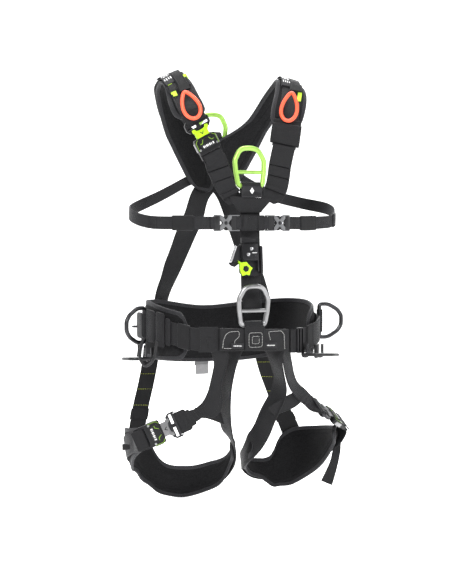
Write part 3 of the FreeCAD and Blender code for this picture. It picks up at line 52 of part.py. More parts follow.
leg_webbing_left = [[214.83, -69.33, -198.77, 0.596, -0.404, 0.694, -0.119, 0.811, 0.573, 44, 2.6], [222.42, -62.94, -206.92, 0.648, -0.407, 0.644, -0.11, 0.761, 0.64, 44, 2.6], [223.04, -55.73, -218.6, 0.824, -0.395, 0.406, -0.06, 0.498, 0.865, 44, 2.6], [221.01, -47.09, -230.48, 0.942, -0.324, 0.087, 0.018, 0.127, 0.992, 44, 2.6], [220.68, -36.39, -239.27, 0.966, -0.24, -0.093, 0.079, -0.046, 0.996, 44, 2.6], [222.97, -24.01, -244.59, 0.978, -0.168, -0.12, 0.119, -0.025, 0.993, 44, 2.6], [223.72, -11.66, -250.27, 0.987, -0.08, -0.137, 0.136, -0.017, 0.991, 44, 2.6], [223.37, 0.78, -255.83, 0.99, 0.019, -0.137, 0.137, -0.001, 0.991, 44, 2.6], [221.73, 13.14, -261.32, 0.984, 0.126, -0.129, 0.128, 0.016, 0.992, 44, 2.6], [218.79, 25.33, -266.66, 0.964, 0.238, -0.12, 0.115, 0.033, 0.993, 44, 2.6], [214.5, 37.21, -271.75, 0.929, 0.353, -0.112, 0.102, 0.047, 0.994, 44, 2.6], [208.75, 48.64, -276.42, 0.874, 0.475, -0.105, 0.088, 0.058, 0.994, 44, 2.6], [201.41, 59.41, -280.41, 0.797, 0.596, -0.095, 0.072, 0.061, 0.995, 44, 2.6], [192.53, 69.25, -283.55, 0.71, 0.7, -0.078, 0.054, 0.057, 0.997, 44, 2.6], [182.48, 77.96, -286.53, 0.628, 0.776, -0.058, 0.035, 0.046, 0.998, 44, 2.6], [171.89, 85.39, -290.84, 0.55, 0.834, -0.04, 0.018, 0.036, 0.999, 44, 2.6], [161.76, 91.05, -297.9, 0.457, 0.889, -0.034, 0.01, 0.033, 0.999, 44, 2.6], [152.55, 94.77, -307.27, 0.339, 0.94, -0.041, 0.01, 0.039, 0.999, 44, 2.6], [142.14, 97.3, -315.67, 0.209, 0.976, -0.056, 0.01, 0.056, 0.998, 43.99, 2.6], [129.27, 98.98, -319.57, 0.084, 0.993, -0.078, 0, 0.078, 0.997, 43.94, 2.6], [115.62, 99.39, -319.09, -0.043, 0.994, -0.097, -0.015, 0.097, 0.995, 43.73, 2.6], [102.17, 98.05, -316.86, -0.188, 0.976, -0.107, -0.028, 0.103, 0.994, 43.02, 2.6], [89.1, 94.61, -313.64, -0.346, 0.933, -0.102, -0.036, 0.095, 0.995, 41.28, 2.6], [76.84, 89, -309.02, -0.508, 0.857, -0.088, -0.041, 0.078, 0.996, 38.14, 2.6], [65.93, 81.29, -303.03, -0.669, 0.74, -0.075, -0.046, 0.059, 0.997, 34.24, 2.6], [57.03, 71.72, -296.8, -0.806, 0.588, -0.073, -0.054, 0.049, 0.997, 31.41, 2.6], [50.26, 60.96, -291.9, -0.892, 0.445, -0.077, -0.063, 0.047, 0.997, 31.41, 2.6], [45.08, 49.66, -288.73, -0.935, 0.346, -0.079, -0.068, 0.042, 0.997, 34.24, 2.6], [40.84, 38.2, -286, -0.954, 0.291, -0.069, -0.064, 0.028, 0.998, 38.14, 2.6], [37.2, 26.73, -282.25, -0.967, 0.25, -0.048, -0.049, 0.003, 0.999, 41.28, 2.6], [34.28, 15.29, -276.94, -0.982, 0.184, -0.033, -0.037, -0.015, 0.999, 43.02, 2.6], [32.46, 3.89, -270.29, -0.996, 0.073, -0.043, -0.043, -0, 0.999, 43.73, 2.6], [31.96, -7.35, -262.8, -0.995, -0.065, -0.078, -0.083, 0.071, 0.994, 43.94, 2.6], [32.65, -18.29, -254.75, -0.974, -0.193, -0.119, -0.158, 0.206, 0.966, 43.99, 2.6], [34.18, -28.81, -246.23, -0.944, -0.293, -0.149, -0.26, 0.386, 0.885, 44, 2.6], [36.25, -38.84, -237.24, -0.916, -0.364, -0.165, -0.359, 0.569, 0.74, 44, 2.6], [38.59, -48.31, -227.73, -0.895, -0.411, -0.17, -0.431, 0.705, 0.563, 44, 2.6], [40.93, -57.16, -217.64, -0.882, -0.439, -0.172, -0.469, 0.784, 0.406, 44, 2.6], [42.97, -65.29, -206.9, -0.875, -0.453, -0.171, -0.484, 0.822, 0.298, 44, 2.6], [44.61, -72.61, -195.52, -0.873, -0.465, -0.149, -0.488, 0.838, 0.242, 44, 2.6], [46.4, -79.12, -183.69, -0.87, -0.486, -0.079, -0.491, 0.844, 0.215, 44, 2.6], [49.29, -84.85, -171.67, -0.858, -0.514, 0.019, -0.502, 0.844, 0.188, 44, 2.6], [53.37, -89.87, -159.68, -0.844, -0.529, 0.09, -0.514, 0.845, 0.149, 44, 2.6], [57.81, -94.42, -147.63, -0.854, -0.51, 0.106, -0.501, 0.86, 0.095, 44, 2.6], [61.64, -98.67, -135.27, -0.893, -0.446, 0.067, -0.444, 0.895, 0.035, 44, 2.6], [63.72, -102.49, -122.35, -0.942, -0.333, -0.031, -0.333, 0.943, -0.002, 44, 2.6], [63.29, -105.73, -109.13, -0.968, -0.191, -0.161, -0.193, 0.981, -0.003, 44, 2.6], [60.59, -108.74, -96.12, -0.954, -0.112, -0.278, -0.117, 0.993, 0.002, 44, 2.6], [56.52, -111.6, -83.44, -0.935, -0.119, -0.333, -0.127, 0.992, 0.001, 44, 2.6], [52.27, -114.24, -70.77, -0.931, -0.163, -0.326, -0.173, 0.985, -0, 44, 2.6], [48.57, -117.06, -57.96, -0.912, -0.273, -0.305, -0.287, 0.958, -0, 44, 2.6], [45.69, -120.84, -45.19, -0.773, -0.54, -0.334, -0.573, 0.82, 0, 44, 2.6], [43.26, -125.17, -32.5, -0.468, -0.81, -0.353, -0.866, 0.501, -0, 44, 2.6], [40.6, -129, -19.7, -0.095, -0.948, -0.302, -0.995, 0.1, 0, 44, 2.6]]
leg_front_webbing_right = [[-81, -130, -13.85, -0.052, -0.999, -0, 0.998, -0.052, -0.027, 38.69, 2.6], [-79.24, -130.05, -23.57, -0.062, -0.998, -0.029, 0.991, -0.058, -0.118, 39.61, 2.6], [-76.6, -129.71, -33.08, -0.083, -0.993, -0.081, 0.992, -0.075, -0.102, 37.59, 2.6], [-73.82, -128.97, -42.53, -0.101, -0.987, -0.126, 0.995, -0.099, -0.024, 34.07, 2.6], [-71.63, -127.79, -52.1, -0.112, -0.98, -0.162, 0.989, -0.126, 0.075, 30.55, 2.6], [-70.83, -126.14, -61.8, -0.122, -0.975, -0.187, 0.982, -0.146, 0.119, 27.94, 2.6], [-71.52, -124.11, -71.44, -0.138, -0.97, -0.199, 0.985, -0.155, 0.075, 26.29, 2.6], [-73.09, -121.91, -80.95, -0.156, -0.967, -0.199, 0.987, -0.159, -0, 25.22, 2.6], [-74.95, -119.67, -90.39, -0.172, -0.966, -0.194, 0.985, -0.167, -0.042, 24.16, 2.6], [-76.62, -117.48, -99.88, -0.182, -0.965, -0.189, 0.983, -0.175, -0.052, 23.46, 2.6], [-77.63, -115.41, -109.49, -0.18, -0.966, -0.187, 0.982, -0.166, -0.089, 24.43, 2.6], [-77.71, -113.55, -119.19, -0.164, -0.97, -0.18, 0.975, -0.131, -0.182, 28.25, 2.6], [-77.6, -111.82, -128.92, -0.145, -0.975, -0.165, 0.951, -0.092, -0.295, 33.91, 2.6], [-78.61, -110.13, -138.6, -0.132, -0.981, -0.145, 0.911, -0.062, -0.407, 39.13, 2.6], [-82, -108.46, -147.71, -0.127, -0.984, -0.122, 0.846, -0.044, -0.531, 41.4, 2.6], [-88.19, -106.82, -155.24, -0.13, -0.986, -0.099, 0.755, -0.034, -0.654, 39.87, 2.6], [-96.85, -105.3, -159.53, -0.13, -0.988, -0.086, 0.692, -0.028, -0.722, 34.46, 2.6], [-106.52, -103.83, -161.26, -0.12, -0.989, -0.091, 0.669, -0.013, -0.743, 25.36, 2.6], [-115.87, -103.16, -164.24, -0.152, -0.986, -0.068, 0.592, -0.032, -0.805, 22.73, 2.6], [-124.86, -103.33, -168.54, -0.242, -0.97, -0.001, 0.47, -0.11, -0.876, 29.71, 2.6], [-133.58, -102.78, -173.18, -0.321, -0.945, 0.061, 0.365, -0.182, -0.913, 37.89, 2.6], [-142.12, -99.94, -177.2, -0.328, -0.942, 0.066, 0.356, -0.188, -0.915, 38.69, 2.6]]
leg_front_webbing_left = [[70.81, -124, -19.07, 0.565, -0.807, -0.174, 0.814, 0.579, -0.044, 44, 2.6], [69.01, -123.38, -27.75, 0.621, -0.771, -0.139, 0.774, 0.631, -0.042, 44, 2.6], [68.62, -122.62, -36.6, 0.662, -0.747, -0.055, 0.746, 0.664, -0.044, 44, 2.6], [69.38, -121.74, -45.42, 0.683, -0.73, 0.012, 0.73, 0.682, -0.049, 44, 2.6], [70.95, -120.73, -54.11, 0.691, -0.721, 0.055, 0.723, 0.689, -0.051, 44, 2.6], [72.95, -119.62, -62.7, 0.691, -0.719, 0.069, 0.723, 0.689, -0.051, 44, 2.6], [75.08, -118.4, -71.25, 0.688, -0.723, 0.066, 0.725, 0.687, -0.043, 44, 2.6], [77.25, -117.07, -79.77, 0.684, -0.726, 0.069, 0.729, 0.684, -0.029, 44, 2.6], [79.64, -115.71, -88.23, 0.678, -0.73, 0.091, 0.733, 0.68, -0.012, 44, 2.6], [82.41, -114.37, -96.57, 0.669, -0.731, 0.131, 0.737, 0.676, 0.006, 44, 2.6], [85.78, -113.03, -104.68, 0.655, -0.732, 0.189, 0.741, 0.671, 0.028, 44, 2.6], [90.03, -111.63, -112.37, 0.625, -0.734, 0.264, 0.748, 0.661, 0.066, 44, 2.6], [95.38, -110.13, -119.31, 0.577, -0.747, 0.331, 0.756, 0.641, 0.128, 44, 2.6], [101.56, -108.54, -125.49, 0.53, -0.77, 0.354, 0.761, 0.617, 0.202, 44, 2.6], [108.05, -106.93, -131.36, 0.511, -0.786, 0.347, 0.757, 0.603, 0.252, 44, 2.6], [114.5, -105.32, -137.25, 0.519, -0.778, 0.353, 0.744, 0.615, 0.261, 44, 2.6], [120.97, -103.64, -143.15, 0.539, -0.751, 0.382, 0.721, 0.646, 0.251, 44, 2.6], [127.5, -101.95, -148.83, 0.563, -0.716, 0.412, 0.681, 0.685, 0.258, 44, 2.6], [134.21, -99.53, -154.63, 0.592, -0.703, 0.393, 0.655, 0.703, 0.276, 44, 2.6], [140.05, -98.61, -159.54, 0.619, -0.677, 0.398, 0.571, 0.743, 0.349, 44, 2.6], [142.08, -107.89, -158.76, 0.599, -0.418, 0.683, -0.089, 0.817, 0.57, 44, 2.6], [148.73, -104.6, -162.59, 0.596, -0.404, 0.694, -0.119, 0.811, 0.573, 44, 2.6]]
leg_bridge_right = [[-56.17, -88, -166.37, 0.521, -0.852, 0.051, 0.35, 0.159, -0.923, 50.25, 2.2], [-62.36, -91.63, -163.73, 0.481, -0.876, 0.042, 0.312, 0.126, -0.942, 48.5, 2.2], [-69.35, -94.99, -161.31, 0.395, -0.919, 0.012, 0.263, 0.1, -0.96, 45.42, 2.2], [-76.91, -97.83, -159.37, 0.3, -0.954, -0.016, 0.204, 0.08, -0.976, 41.23, 2.2], [-84.8, -99.9, -158.18, 0.19, -0.981, -0.036, 0.142, 0.063, -0.988, 36.1, 2.2], [-92.78, -100.95, -158.01, 0.055, -0.998, -0.043, 0.082, 0.048, -0.996, 30.13, 2.2], [-100.61, -100.74, -159.14, -0.118, -0.992, -0.034, 0.04, 0.03, -0.999, 23.35, 2.2], [-108.06, -99, -161.82, -0.222, -0.975, -0.015, 0.065, 0, -0.998, 15.74, 2.2]]
leg_bridge_left = [[48.18, -99, -167.73, -0.231, -0.921, -0.313, 0.66, 0.088, -0.746, 22.75, 2.2], [55.02, -102.24, -163.24, -0.216, -0.923, -0.32, 0.649, 0.109, -0.753, 24.32, 2.2], [62.13, -105.29, -158.97, -0.205, -0.936, -0.287, 0.593, 0.114, -0.797, 26.2, 2.2], [69.48, -107.98, -154.86, -0.183, -0.954, -0.237, 0.523, 0.11, -0.845, 28.17, 2.2], [77.03, -110.16, -150.86, -0.138, -0.973, -0.186, 0.463, 0.102, -0.88, 29.78, 2.2], [84.75, -111.67, -146.92, -0.067, -0.988, -0.14, 0.433, 0.097, -0.896, 30.4, 2.2], [92.6, -112.33, -142.99, 0.028, -0.995, -0.097, 0.452, 0.099, -0.886, 29.34, 2.2], [100.55, -112, -139.02, 0.082, -0.993, -0.082, 0.555, 0.114, -0.824, 26.26, 2.2]]
rear_elastic_right = [[-131.22, 106, -45.08, -0.149, 0.988, -0.047, 0.988, 0.147, -0.045, 37, 1.8], [-132.41, 105.26, -56.79, -0.149, 0.988, -0.045, 0.988, 0.147, -0.047, 37, 1.8], [-134.03, 104.51, -68.44, -0.149, 0.988, -0.044, 0.988, 0.147, -0.049, 37, 1.8], [-136.04, 103.69, -80.03, -0.15, 0.988, -0.047, 0.988, 0.147, -0.051, 37, 1.8], [-138.39, 102.74, -91.55, -0.151, 0.987, -0.056, 0.988, 0.148, -0.053, 37, 1.8], [-141.03, 101.62, -102.98, -0.154, 0.986, -0.07, 0.987, 0.15, -0.055, 37, 1.8], [-143.94, 100.26, -114.32, -0.158, 0.984, -0.085, 0.986, 0.154, -0.057, 37, 1.8], [-147.07, 98.68, -125.58, -0.163, 0.982, -0.097, 0.986, 0.158, -0.059, 37, 1.8], [-150.42, 96.98, -136.75, -0.166, 0.981, -0.102, 0.985, 0.161, -0.062, 37, 1.8], [-153.93, 95.21, -147.87, -0.167, 0.98, -0.105, 0.985, 0.161, -0.064, 37, 1.8], [-157.39, 93.41, -158.99, -0.165, 0.98, -0.11, 0.985, 0.158, -0.065, 37, 1.8], [-160.56, 91.6, -170.2, -0.162, 0.98, -0.115, 0.986, 0.155, -0.067, 37, 1.8], [-163.39, 89.78, -181.49, -0.159, 0.98, -0.118, 0.986, 0.152, -0.069, 37, 1.8], [-166.1, 87.96, -192.83, -0.156, 0.981, -0.119, 0.986, 0.149, -0.07, 37, 1.8], [-168.8, 86.17, -204.17, -0.153, 0.982, -0.111, 0.987, 0.146, -0.072, 37, 1.8], [-171.34, 84.58, -215.57, -0.151, 0.985, -0.089, 0.987, 0.144, -0.074, 37, 1.8], [-173.47, 83.38, -227.09, -0.152, 0.987, -0.054, 0.986, 0.147, -0.076, 37, 1.8], [-174.96, 82.75, -238.78, -0.159, 0.987, -0.033, 0.985, 0.156, -0.079, 37, 1.8]]
rear_elastic_left = [[119.13, 114.25, -54.05, 0.161, 0.985, -0.056, 0.987, -0.162, -0.019, 40, 1.8], [121.52, 113.18, -66.1, 0.153, 0.986, -0.064, 0.987, -0.155, -0.033, 40, 1.8], [124.1, 111.93, -78.09, 0.154, 0.985, -0.075, 0.987, -0.156, -0.028, 40, 1.8], [126.86, 110.51, -90.02, 0.159, 0.984, -0.084, 0.987, -0.161, -0.016, 40, 1.8], [129.82, 108.96, -101.89, 0.164, 0.982, -0.092, 0.986, -0.166, -0.009, 40, 1.8], [132.99, 107.28, -113.69, 0.163, 0.982, -0.099, 0.986, -0.166, -0.023, 40, 1.8], [136.35, 105.5, -125.42, 0.153, 0.982, -0.108, 0.985, -0.16, -0.062, 40, 1.8], [139.92, 103.63, -137.07, 0.14, 0.983, -0.118, 0.983, -0.152, -0.104, 40, 1.8], [143.68, 101.67, -148.65, 0.134, 0.983, -0.125, 0.981, -0.15, -0.122, 40, 1.8], [147.58, 99.65, -160.17, 0.139, 0.982, -0.128, 0.982, -0.153, -0.109, 40, 1.8], [151.5, 97.57, -171.67, 0.146, 0.981, -0.129, 0.984, -0.158, -0.084, 40, 1.8], [155.33, 95.47, -183.21, 0.149, 0.981, -0.124, 0.986, -0.157, -0.06, 40, 1.8], [159.25, 93.47, -194.73, 0.15, 0.983, -0.105, 0.988, -0.154, -0.026, 40, 1.8], [163.57, 91.76, -206.14, 0.159, 0.985, -0.067, 0.986, -0.156, 0.051, 40, 1.8], [168.37, 90.46, -217.43, 0.17, 0.985, -0.02, 0.97, -0.164, 0.177, 40, 1.8], [173.31, 89.63, -228.7, 0.172, 0.985, 0.023, 0.939, -0.171, 0.297, 40, 1.8], [178.03, 89.29, -240.09, 0.164, 0.985, 0.058, 0.921, -0.174, 0.349, 40, 1.8], [182.15, 89.5, -251.72, 0.155, 0.985, 0.072, 0.944, -0.169, 0.282, 40, 1.8]]
sternal_ring_loop = [[0.67, -111.96, 260.4, 0, -0.995, 0.1, 1, 0, 0, 40, 2.4], [0.67, -111.46, 265.38, 0, -0.995, 0.1, 1, 0, 0, 40, 2.4], [0.67, -110.96, 270.35, 0, -0.995, 0.1, 1, 0, 0, 40, 2.4], [0.67, -110.47, 275.33, 0, -0.995, 0.1, 1, 0, 0, 40, 2.4], [0.67, -109.97, 280.3, 0, -0.995, 0.1, 1, 0, 0, 40, 2.4], [0.67, -109.05, 283.05, 0, -0.853, 0.521, 1, 0, 0, 40, 2.4], [0.67, -107.03, 285.12, 0, -0.543, 0.84, 1, 0, 0, 40, 2.4], [0.67, -104.31, 286.11, 0, -0.124, 0.992, 1, 0, 0, 40, 2.4], [0.67, -101.43, 285.82, 0, 0.318, 0.948, 1, 0, 0, 40, 2.4], [0.67, -98.96, 284.31, 0, 0.698, 0.716, 1, 0, 0, 40, 2.4], [0.67, -97.39, 281.88, 0, 0.94, 0.342, 1, 0, 0, 40, 2.4], [0.67, -97.03, 279.01, 0, 0.995, -0.1, 1, 0, 0, 40, 2.4], [0.67, -97.53, 274.04, 0, 0.995, -0.1, 1, 0, 0, 40, 2.4], [0.67, -98.03, 269.06, 0, 0.995, -0.1, 1, 0, 0, 40, 2.4], [0.67, -98.52, 264.08, 0, 0.995, -0.1, 1, 0, 0, 40, 2.4], [0.67, -99.02, 259.11, 0, 0.995, -0.1, 1, 0, 0, 40, 2.4]]
ventral_ring_loop = [[-6.07, -139.21, 2.05, 0, -0.998, -0.06, 1, 0, 0, 38, 2.4], [-6.07, -139.33, 4.05, 0, -0.998, -0.06, 1, 0, 0, 38, 2.4], [-6.07, -139.45, 6.04, 0, -0.998, -0.06, 1, 0, 0, 38, 2.4], [-6.07, -139.57, 8.04, 0, -0.998, -0.06, 1, 0, 0, 38, 2.4], [-6.07, -139.69, 10.04, 0, -0.998, -0.06, 1, 0, 0, 38, 2.4], [-6.07, -139.24, 12.76, 0, -0.925, 0.379, 1, 0, 0, 38, 2.4], [-6.07, -137.65, 15.01, 0, -0.669, 0.743, 1, 0, 0, 38, 2.4], [-6.07, -135.24, 16.36, 0, -0.281, 0.96, 1, 0, 0, 38, 2.4], [-6.07, -132.48, 16.52, 0, 0.164, 0.987, 1, 0, 0, 38, 2.4], [-6.07, -129.93, 15.48, 0, 0.576, 0.818, 1, 0, 0, 38, 2.4], [-6.07, -128.09, 13.43, 0, 0.873, 0.487, 1, 0, 0, 38, 2.4], [-6.07, -127.31, 10.78, 0, 0.998, 0.06, 1, 0, 0, 38, 2.4], [-6.07, -127.19, 8.78, 0, 0.998, 0.06, 1, 0, 0, 38, 2.4], [-6.07, -127.07, 6.79, 0, 0.998, 0.06, 1, 0, 0, 38, 2.4], [-6.07, -126.95, 4.79, 0, 0.998, 0.06, 1, 0, 0, 38, 2.4], [-6.07, -126.83, 2.79, 0, 0.998, 0.06, 1, 0, 0, 38, 2.4]]
dorsal_ring_loop = [[6, 128.16, 334.74, 0, 0.995, 0.1, -1, 0, 0, 40, 2], [6, 127.56, 340.71, 0, 0.995, 0.1, -1, 0, 0, 40, 2], [6, 126.96, 346.68, 0, 0.995, 0.1, -1, 0, 0, 40, 2], [6, 126.37, 352.65, 0, 0.995, 0.1, -1, 0, 0, 40, 2], [6, 125.77, 358.62, 0, 0.995, 0.1, -1, 0, 0, 40, 2], [6, 124.89, 361.23, 0, 0.853, 0.521, -1, 0, 0, 40, 2], [6, 122.96, 363.21, 0, 0.543, 0.84, -1, 0, 0, 40, 2], [6, 120.37, 364.15, 0, 0.124, 0.992, -1, 0, 0, 40, 2], [6, 117.63, 363.88, 0, -0.318, 0.948, -1, 0, 0, 40, 2], [6, 115.27, 362.44, 0, -0.698, 0.716, -1, 0, 0, 40, 2], [6, 113.77, 360.12, 0, -0.94, 0.342, -1, 0, 0, 40, 2], [6, 113.43, 357.38, 0, -0.995, -0.1, -1, 0, 0, 40, 2], [6, 114.03, 351.41, 0, -0.995, -0.1, -1, 0, 0, 40, 2], [6, 114.62, 345.44, 0, -0.995, -0.1, -1, 0, 0, 40, 2], [6, 115.22, 339.47, 0, -0.995, -0.1, -1, 0, 0, 40, 2], [6, 115.82, 333.5, 0, -0.995, -0.1, -1, 0, 0, 40, 2]]
side_ring_loop_right = [[-182.28, -15.62, 6.09, 0.455, -0.89, 0, 0, 0, 1, 46, 2.2], [-184.95, -16.99, 6.09, 0.455, -0.89, 0, 0, 0, 1, 46, 2.2], [-187.37, -17.6, 6.09, 0.024, -1, 0, 0, 0, 1, 46, 2.2], [-189.81, -17.1, 6.09, -0.412, -0.911, 0, 0, 0, 1, 46, 2.2], [-191.79, -15.59, 6.09, -0.767, -0.642, 0, 0, 0, 1, 46, 2.2], [-192.93, -13.38, 6.09, -0.969, -0.246, 0, 0, 0, 1, 46, 2.2], [-192.99, -10.88, 6.09, -0.98, 0.199, 0, 0, 0, 1, 46, 2.2], [-191.96, -8.61, 6.09, -0.796, 0.605, 0, 0, 0, 1, 46, 2.2], [-190.05, -7.01, 6.09, -0.455, 0.89, 0, 0, 0, 1, 46, 2.2], [-187.38, -5.65, 6.09, -0.455, 0.89, 0, 0, 0, 1, 46, 2.2]]
side_ring_loop_left = [[183, -35.6, 6.15, 0, -1, 0, 0, 0, -1, 46, 2.2], [186, -35.6, 6.15, 0, -1, 0, 0, 0, -1, 46, 2.2], [188.43, -35.05, 6.15, 0.434, -0.901, 0, 0, 0, -1, 46, 2.2], [190.38, -33.49, 6.15, 0.782, -0.623, 0, 0, 0, -1, 46, 2.2], [191.46, -31.25, 6.15, 0.975, -0.223, 0, 0, 0, -1, 46, 2.2], [191.46, -28.75, 6.15, 0.975, 0.223, 0, 0, 0, -1, 46, 2.2], [190.38, -26.51, 6.15, 0.782, 0.623, 0, 0, 0, -1, 46, 2.2], [188.43, -24.95, 6.15, 0.434, 0.901, 0, 0, 0, -1, 46, 2.2], [186, -24.4, 6.15, 0, 1, 0, 0, 0, -1, 46, 2.2], [183, -24.4, 6.15, 0, 1, 0, 0, 0, -1, 46, 2.2]]
sternal_junction = [[-0.87, -108.9, 257.62, 0, -1, 0, 0.999, 0, -0.047, 95.51, 1.2], [-0.92, -108.9, 251.68, 0, -1, 0, 0.999, 0, -0.033, 85.87, 1.2], [-0.97, -108.9, 245.74, 0, -1, 0, 1, 0, -0.018, 75.53, 1.2], [-1.01, -108.9, 239.79, 0, -1, 0, 1, 0, -0.004, 64.91, 1.2], [-1.05, -108.9, 233.85, 0, -1, 0, 1, 0, 0.005, 54.43, 1.2], [-1.07, -108.9, 227.91, 0, -1, 0, 1, 0, 0.001, 44.54, 1.2]]
chest_keeper_right = [[-159.37, -96.36, 207.99, -0.395, -0.919, 0.001, 0.001, 0, 1, 25, 2], [-149.85, -99.95, 207.85, -0.323, -0.946, 0.001, 0.001, 0, 1, 25, 2], [-140.11, -102.9, 207.72, -0.266, -0.964, 0, 0, 0, 1, 25, 2], [-130.22, -105.29, 207.64, -0.223, -0.975, -0, -0, -0, 1, 25, 2], [-120.27, -107.42, 207.62, -0.182, -0.983, -0, -0, -0, 1, 25, 2]]
chest_keeper_left = [[148.5, -88.9, 207.29, 0.37, -0.929, 0.001, -0.001, 0.001, 1, 25, 2], [138.34, -92.66, 206.91, 0.344, -0.939, 0.001, -0.001, 0, 1, 25, 2], [128.09, -96.23, 206.65, 0.323, -0.946, -0, 0, -0, 1, 25, 2], [118.06, -100.32, 206.63, 0.277, -0.961, -0, 0, -0, 1, 25, 2], [108.29, -105.05, 206.85, 0.191, -0.982, -0, 0, -0, 1, 25, 2]]
belt_keepers = [[[-128.19, -108.6, -14.52, -0.549, -0.836, 0, 0, 0, 1, 44, 2.6], [-134.66, -104.05, -12.64, -0.602, -0.799, 0, 0, 0, 1, 44, 2.6], [-140.81, -99.08, -10.77, -0.655, -0.756, 0, 0, 0, 1, 44, 2.6], [-146.63, -93.66, -9.08, -0.708, -0.706, 0, 0, 0, 1, 44, 2.6]],
    [[135.23, -103.62, -17.22, 0.606, -0.795, 0, 0, 0, 1, 44, 2.6], [129.28, -107.87, -18.6, 0.557, -0.83, 0, 0, 0, 1, 44, 2.6], [123.07, -111.79, -19.89, 0.509, -0.861, 0, 0, 0, 1, 44, 2.6], [116.64, -115.35, -21.06, 0.461, -0.887, 0, 0, 0, 1, 44, 2.6]]]
gear_tabs = [[[-182.8, -8.38, -39.44, -0.993, 0.119, 0.02, 0.117, 0.989, -0.095, 11, 1.8], [-182.8, -8.38, -53.44, -0.993, 0.119, 0.02, 0.117, 0.989, -0.095, 11, 1.8], [-182.8, -8.38, -61.44, -0.993, 0.119, 0.02, 0.117, 0.989, -0.095, 11, 1.8], [-182.11, -8.47, -64.06, -0.86, 0.103, -0.482, 0.117, 0.989, -0.095, 11, 1.8], [-180.22, -8.69, -66, -0.496, 0.06, -0.856, 0.117, 0.989, -0.095, 11, 1.8], [-177.64, -9, -66.75, 0, 0, -1, 0.117, 0.989, -0.095, 11, 1.8], [-175.06, -9.31, -66.1, 0.496, -0.06, -0.876, 0.117, 0.989, -0.095, 11, 1.8], [-173.17, -9.54, -64.24, 0.86, -0.103, -0.518, 0.117, 0.989, -0.095, 11, 1.8], [-172.48, -9.62, -61.65, 0.993, -0.119, -0.02, 0.117, 0.989, -0.095, 11, 1.8], [-172.48, -9.62, -53.65, 0.993, -0.119, -0.02, 0.117, 0.989, -0.095, 11, 1.8], [-172.48, -9.62, -39.65, 0.993, -0.119, -0.02, 0.117, 0.989, -0.095, 11, 1.8]],
    [[-175.57, 52.91, -45.33, -0.993, 0.119, 0.02, 0.117, 0.989, -0.095, 11, 1.8], [-175.57, 52.91, -59.33, -0.993, 0.119, 0.02, 0.117, 0.989, -0.095, 11, 1.8], [-175.57, 52.91, -67.33, -0.993, 0.119, 0.02, 0.117, 0.989, -0.095, 11, 1.8], [-174.87, 52.83, -69.95, -0.86, 0.103, -0.482, 0.117, 0.989, -0.095, 11, 1.8], [-172.99, 52.6, -71.89, -0.496, 0.06, -0.856, 0.117, 0.989, -0.095, 11, 1.8], [-170.4, 52.29, -72.64, 0, 0, -1, 0.117, 0.989, -0.095, 11, 1.8], [-167.82, 51.98, -71.99, 0.496, -0.06, -0.876, 0.117, 0.989, -0.095, 11, 1.8], [-165.93, 51.75, -70.13, 0.86, -0.103, -0.518, 0.117, 0.989, -0.095, 11, 1.8], [-165.24, 51.67, -67.54, 0.993, -0.119, -0.02, 0.117, 0.989, -0.095, 11, 1.8], [-165.24, 51.67, -59.54, 0.993, -0.119, -0.02, 0.117, 0.989, -0.095, 11, 1.8], [-165.24, 51.67, -45.54, 0.993, -0.119, -0.02, 0.117, 0.989, -0.095, 11, 1.8]],
    [[112.55, -130.59, -30.95, 0.622, -0.782, 0.041, 0.782, 0.617, -0.084, 11, 1.8], [112.55, -130.59, -44.95, 0.622, -0.782, 0.041, 0.782, 0.617, -0.084, 11, 1.8], [112.55, -130.59, -52.95, 0.622, -0.782, 0.041, 0.782, 0.617, -0.084, 11, 1.8], [112.12, -130.05, -55.58, 0.538, -0.677, -0.464, 0.782, 0.617, -0.084, 11, 1.8], [110.94, -128.56, -57.56, 0.311, -0.391, -0.845, 0.782, 0.617, -0.084, 11, 1.8], [109.32, -126.52, -58.36, 0, 0, -1, 0.782, 0.617, -0.084, 11, 1.8], [107.71, -124.49, -57.78, -0.311, 0.391, -0.887, 0.782, 0.617, -0.084, 11, 1.8], [106.52, -123, -55.95, -0.538, 0.677, -0.536, 0.782, 0.617, -0.084, 11, 1.8], [106.09, -122.46, -53.38, -0.622, 0.782, -0.041, 0.782, 0.617, -0.084, 11, 1.8], [106.09, -122.46, -45.38, -0.622, 0.782, -0.041, 0.782, 0.617, -0.084, 11, 1.8], [106.09, -122.46, -31.38, -0.622, 0.782, -0.041, 0.782, 0.617, -0.084, 11, 1.8]],
    [[164.18, -89.85, -36.51, 0.622, -0.782, 0.041, 0.782, 0.617, -0.084, 11, 1.8], [164.18, -89.85, -50.51, 0.622, -0.782, 0.041, 0.782, 0.617, -0.084, 11, 1.8], [164.18, -89.85, -58.51, 0.622, -0.782, 0.041, 0.782, 0.617, -0.084, 11, 1.8], [163.75, -89.31, -61.14, 0.538, -0.677, -0.464, 0.782, 0.617, -0.084, 11, 1.8], [162.56, -87.82, -63.12, 0.311, -0.391, -0.845, 0.782, 0.617, -0.084, 11, 1.8], [160.95, -85.78, -63.93, 0, 0, -1, 0.782, 0.617, -0.084, 11, 1.8], [159.33, -83.75, -63.34, -0.311, 0.391, -0.887, 0.782, 0.617, -0.084, 11, 1.8], [158.15, -82.26, -61.51, -0.538, 0.677, -0.536, 0.782, 0.617, -0.084, 11, 1.8], [157.71, -81.72, -58.94, -0.622, 0.782, -0.041, 0.782, 0.617, -0.084, 11, 1.8], [157.71, -81.72, -50.94, -0.622, 0.782, -0.041, 0.782, 0.617, -0.084, 11, 1.8], [157.71, -81.72, -36.94, -0.622, 0.782, -0.041, 0.782, 0.617, -0.084, 11, 1.8]]]
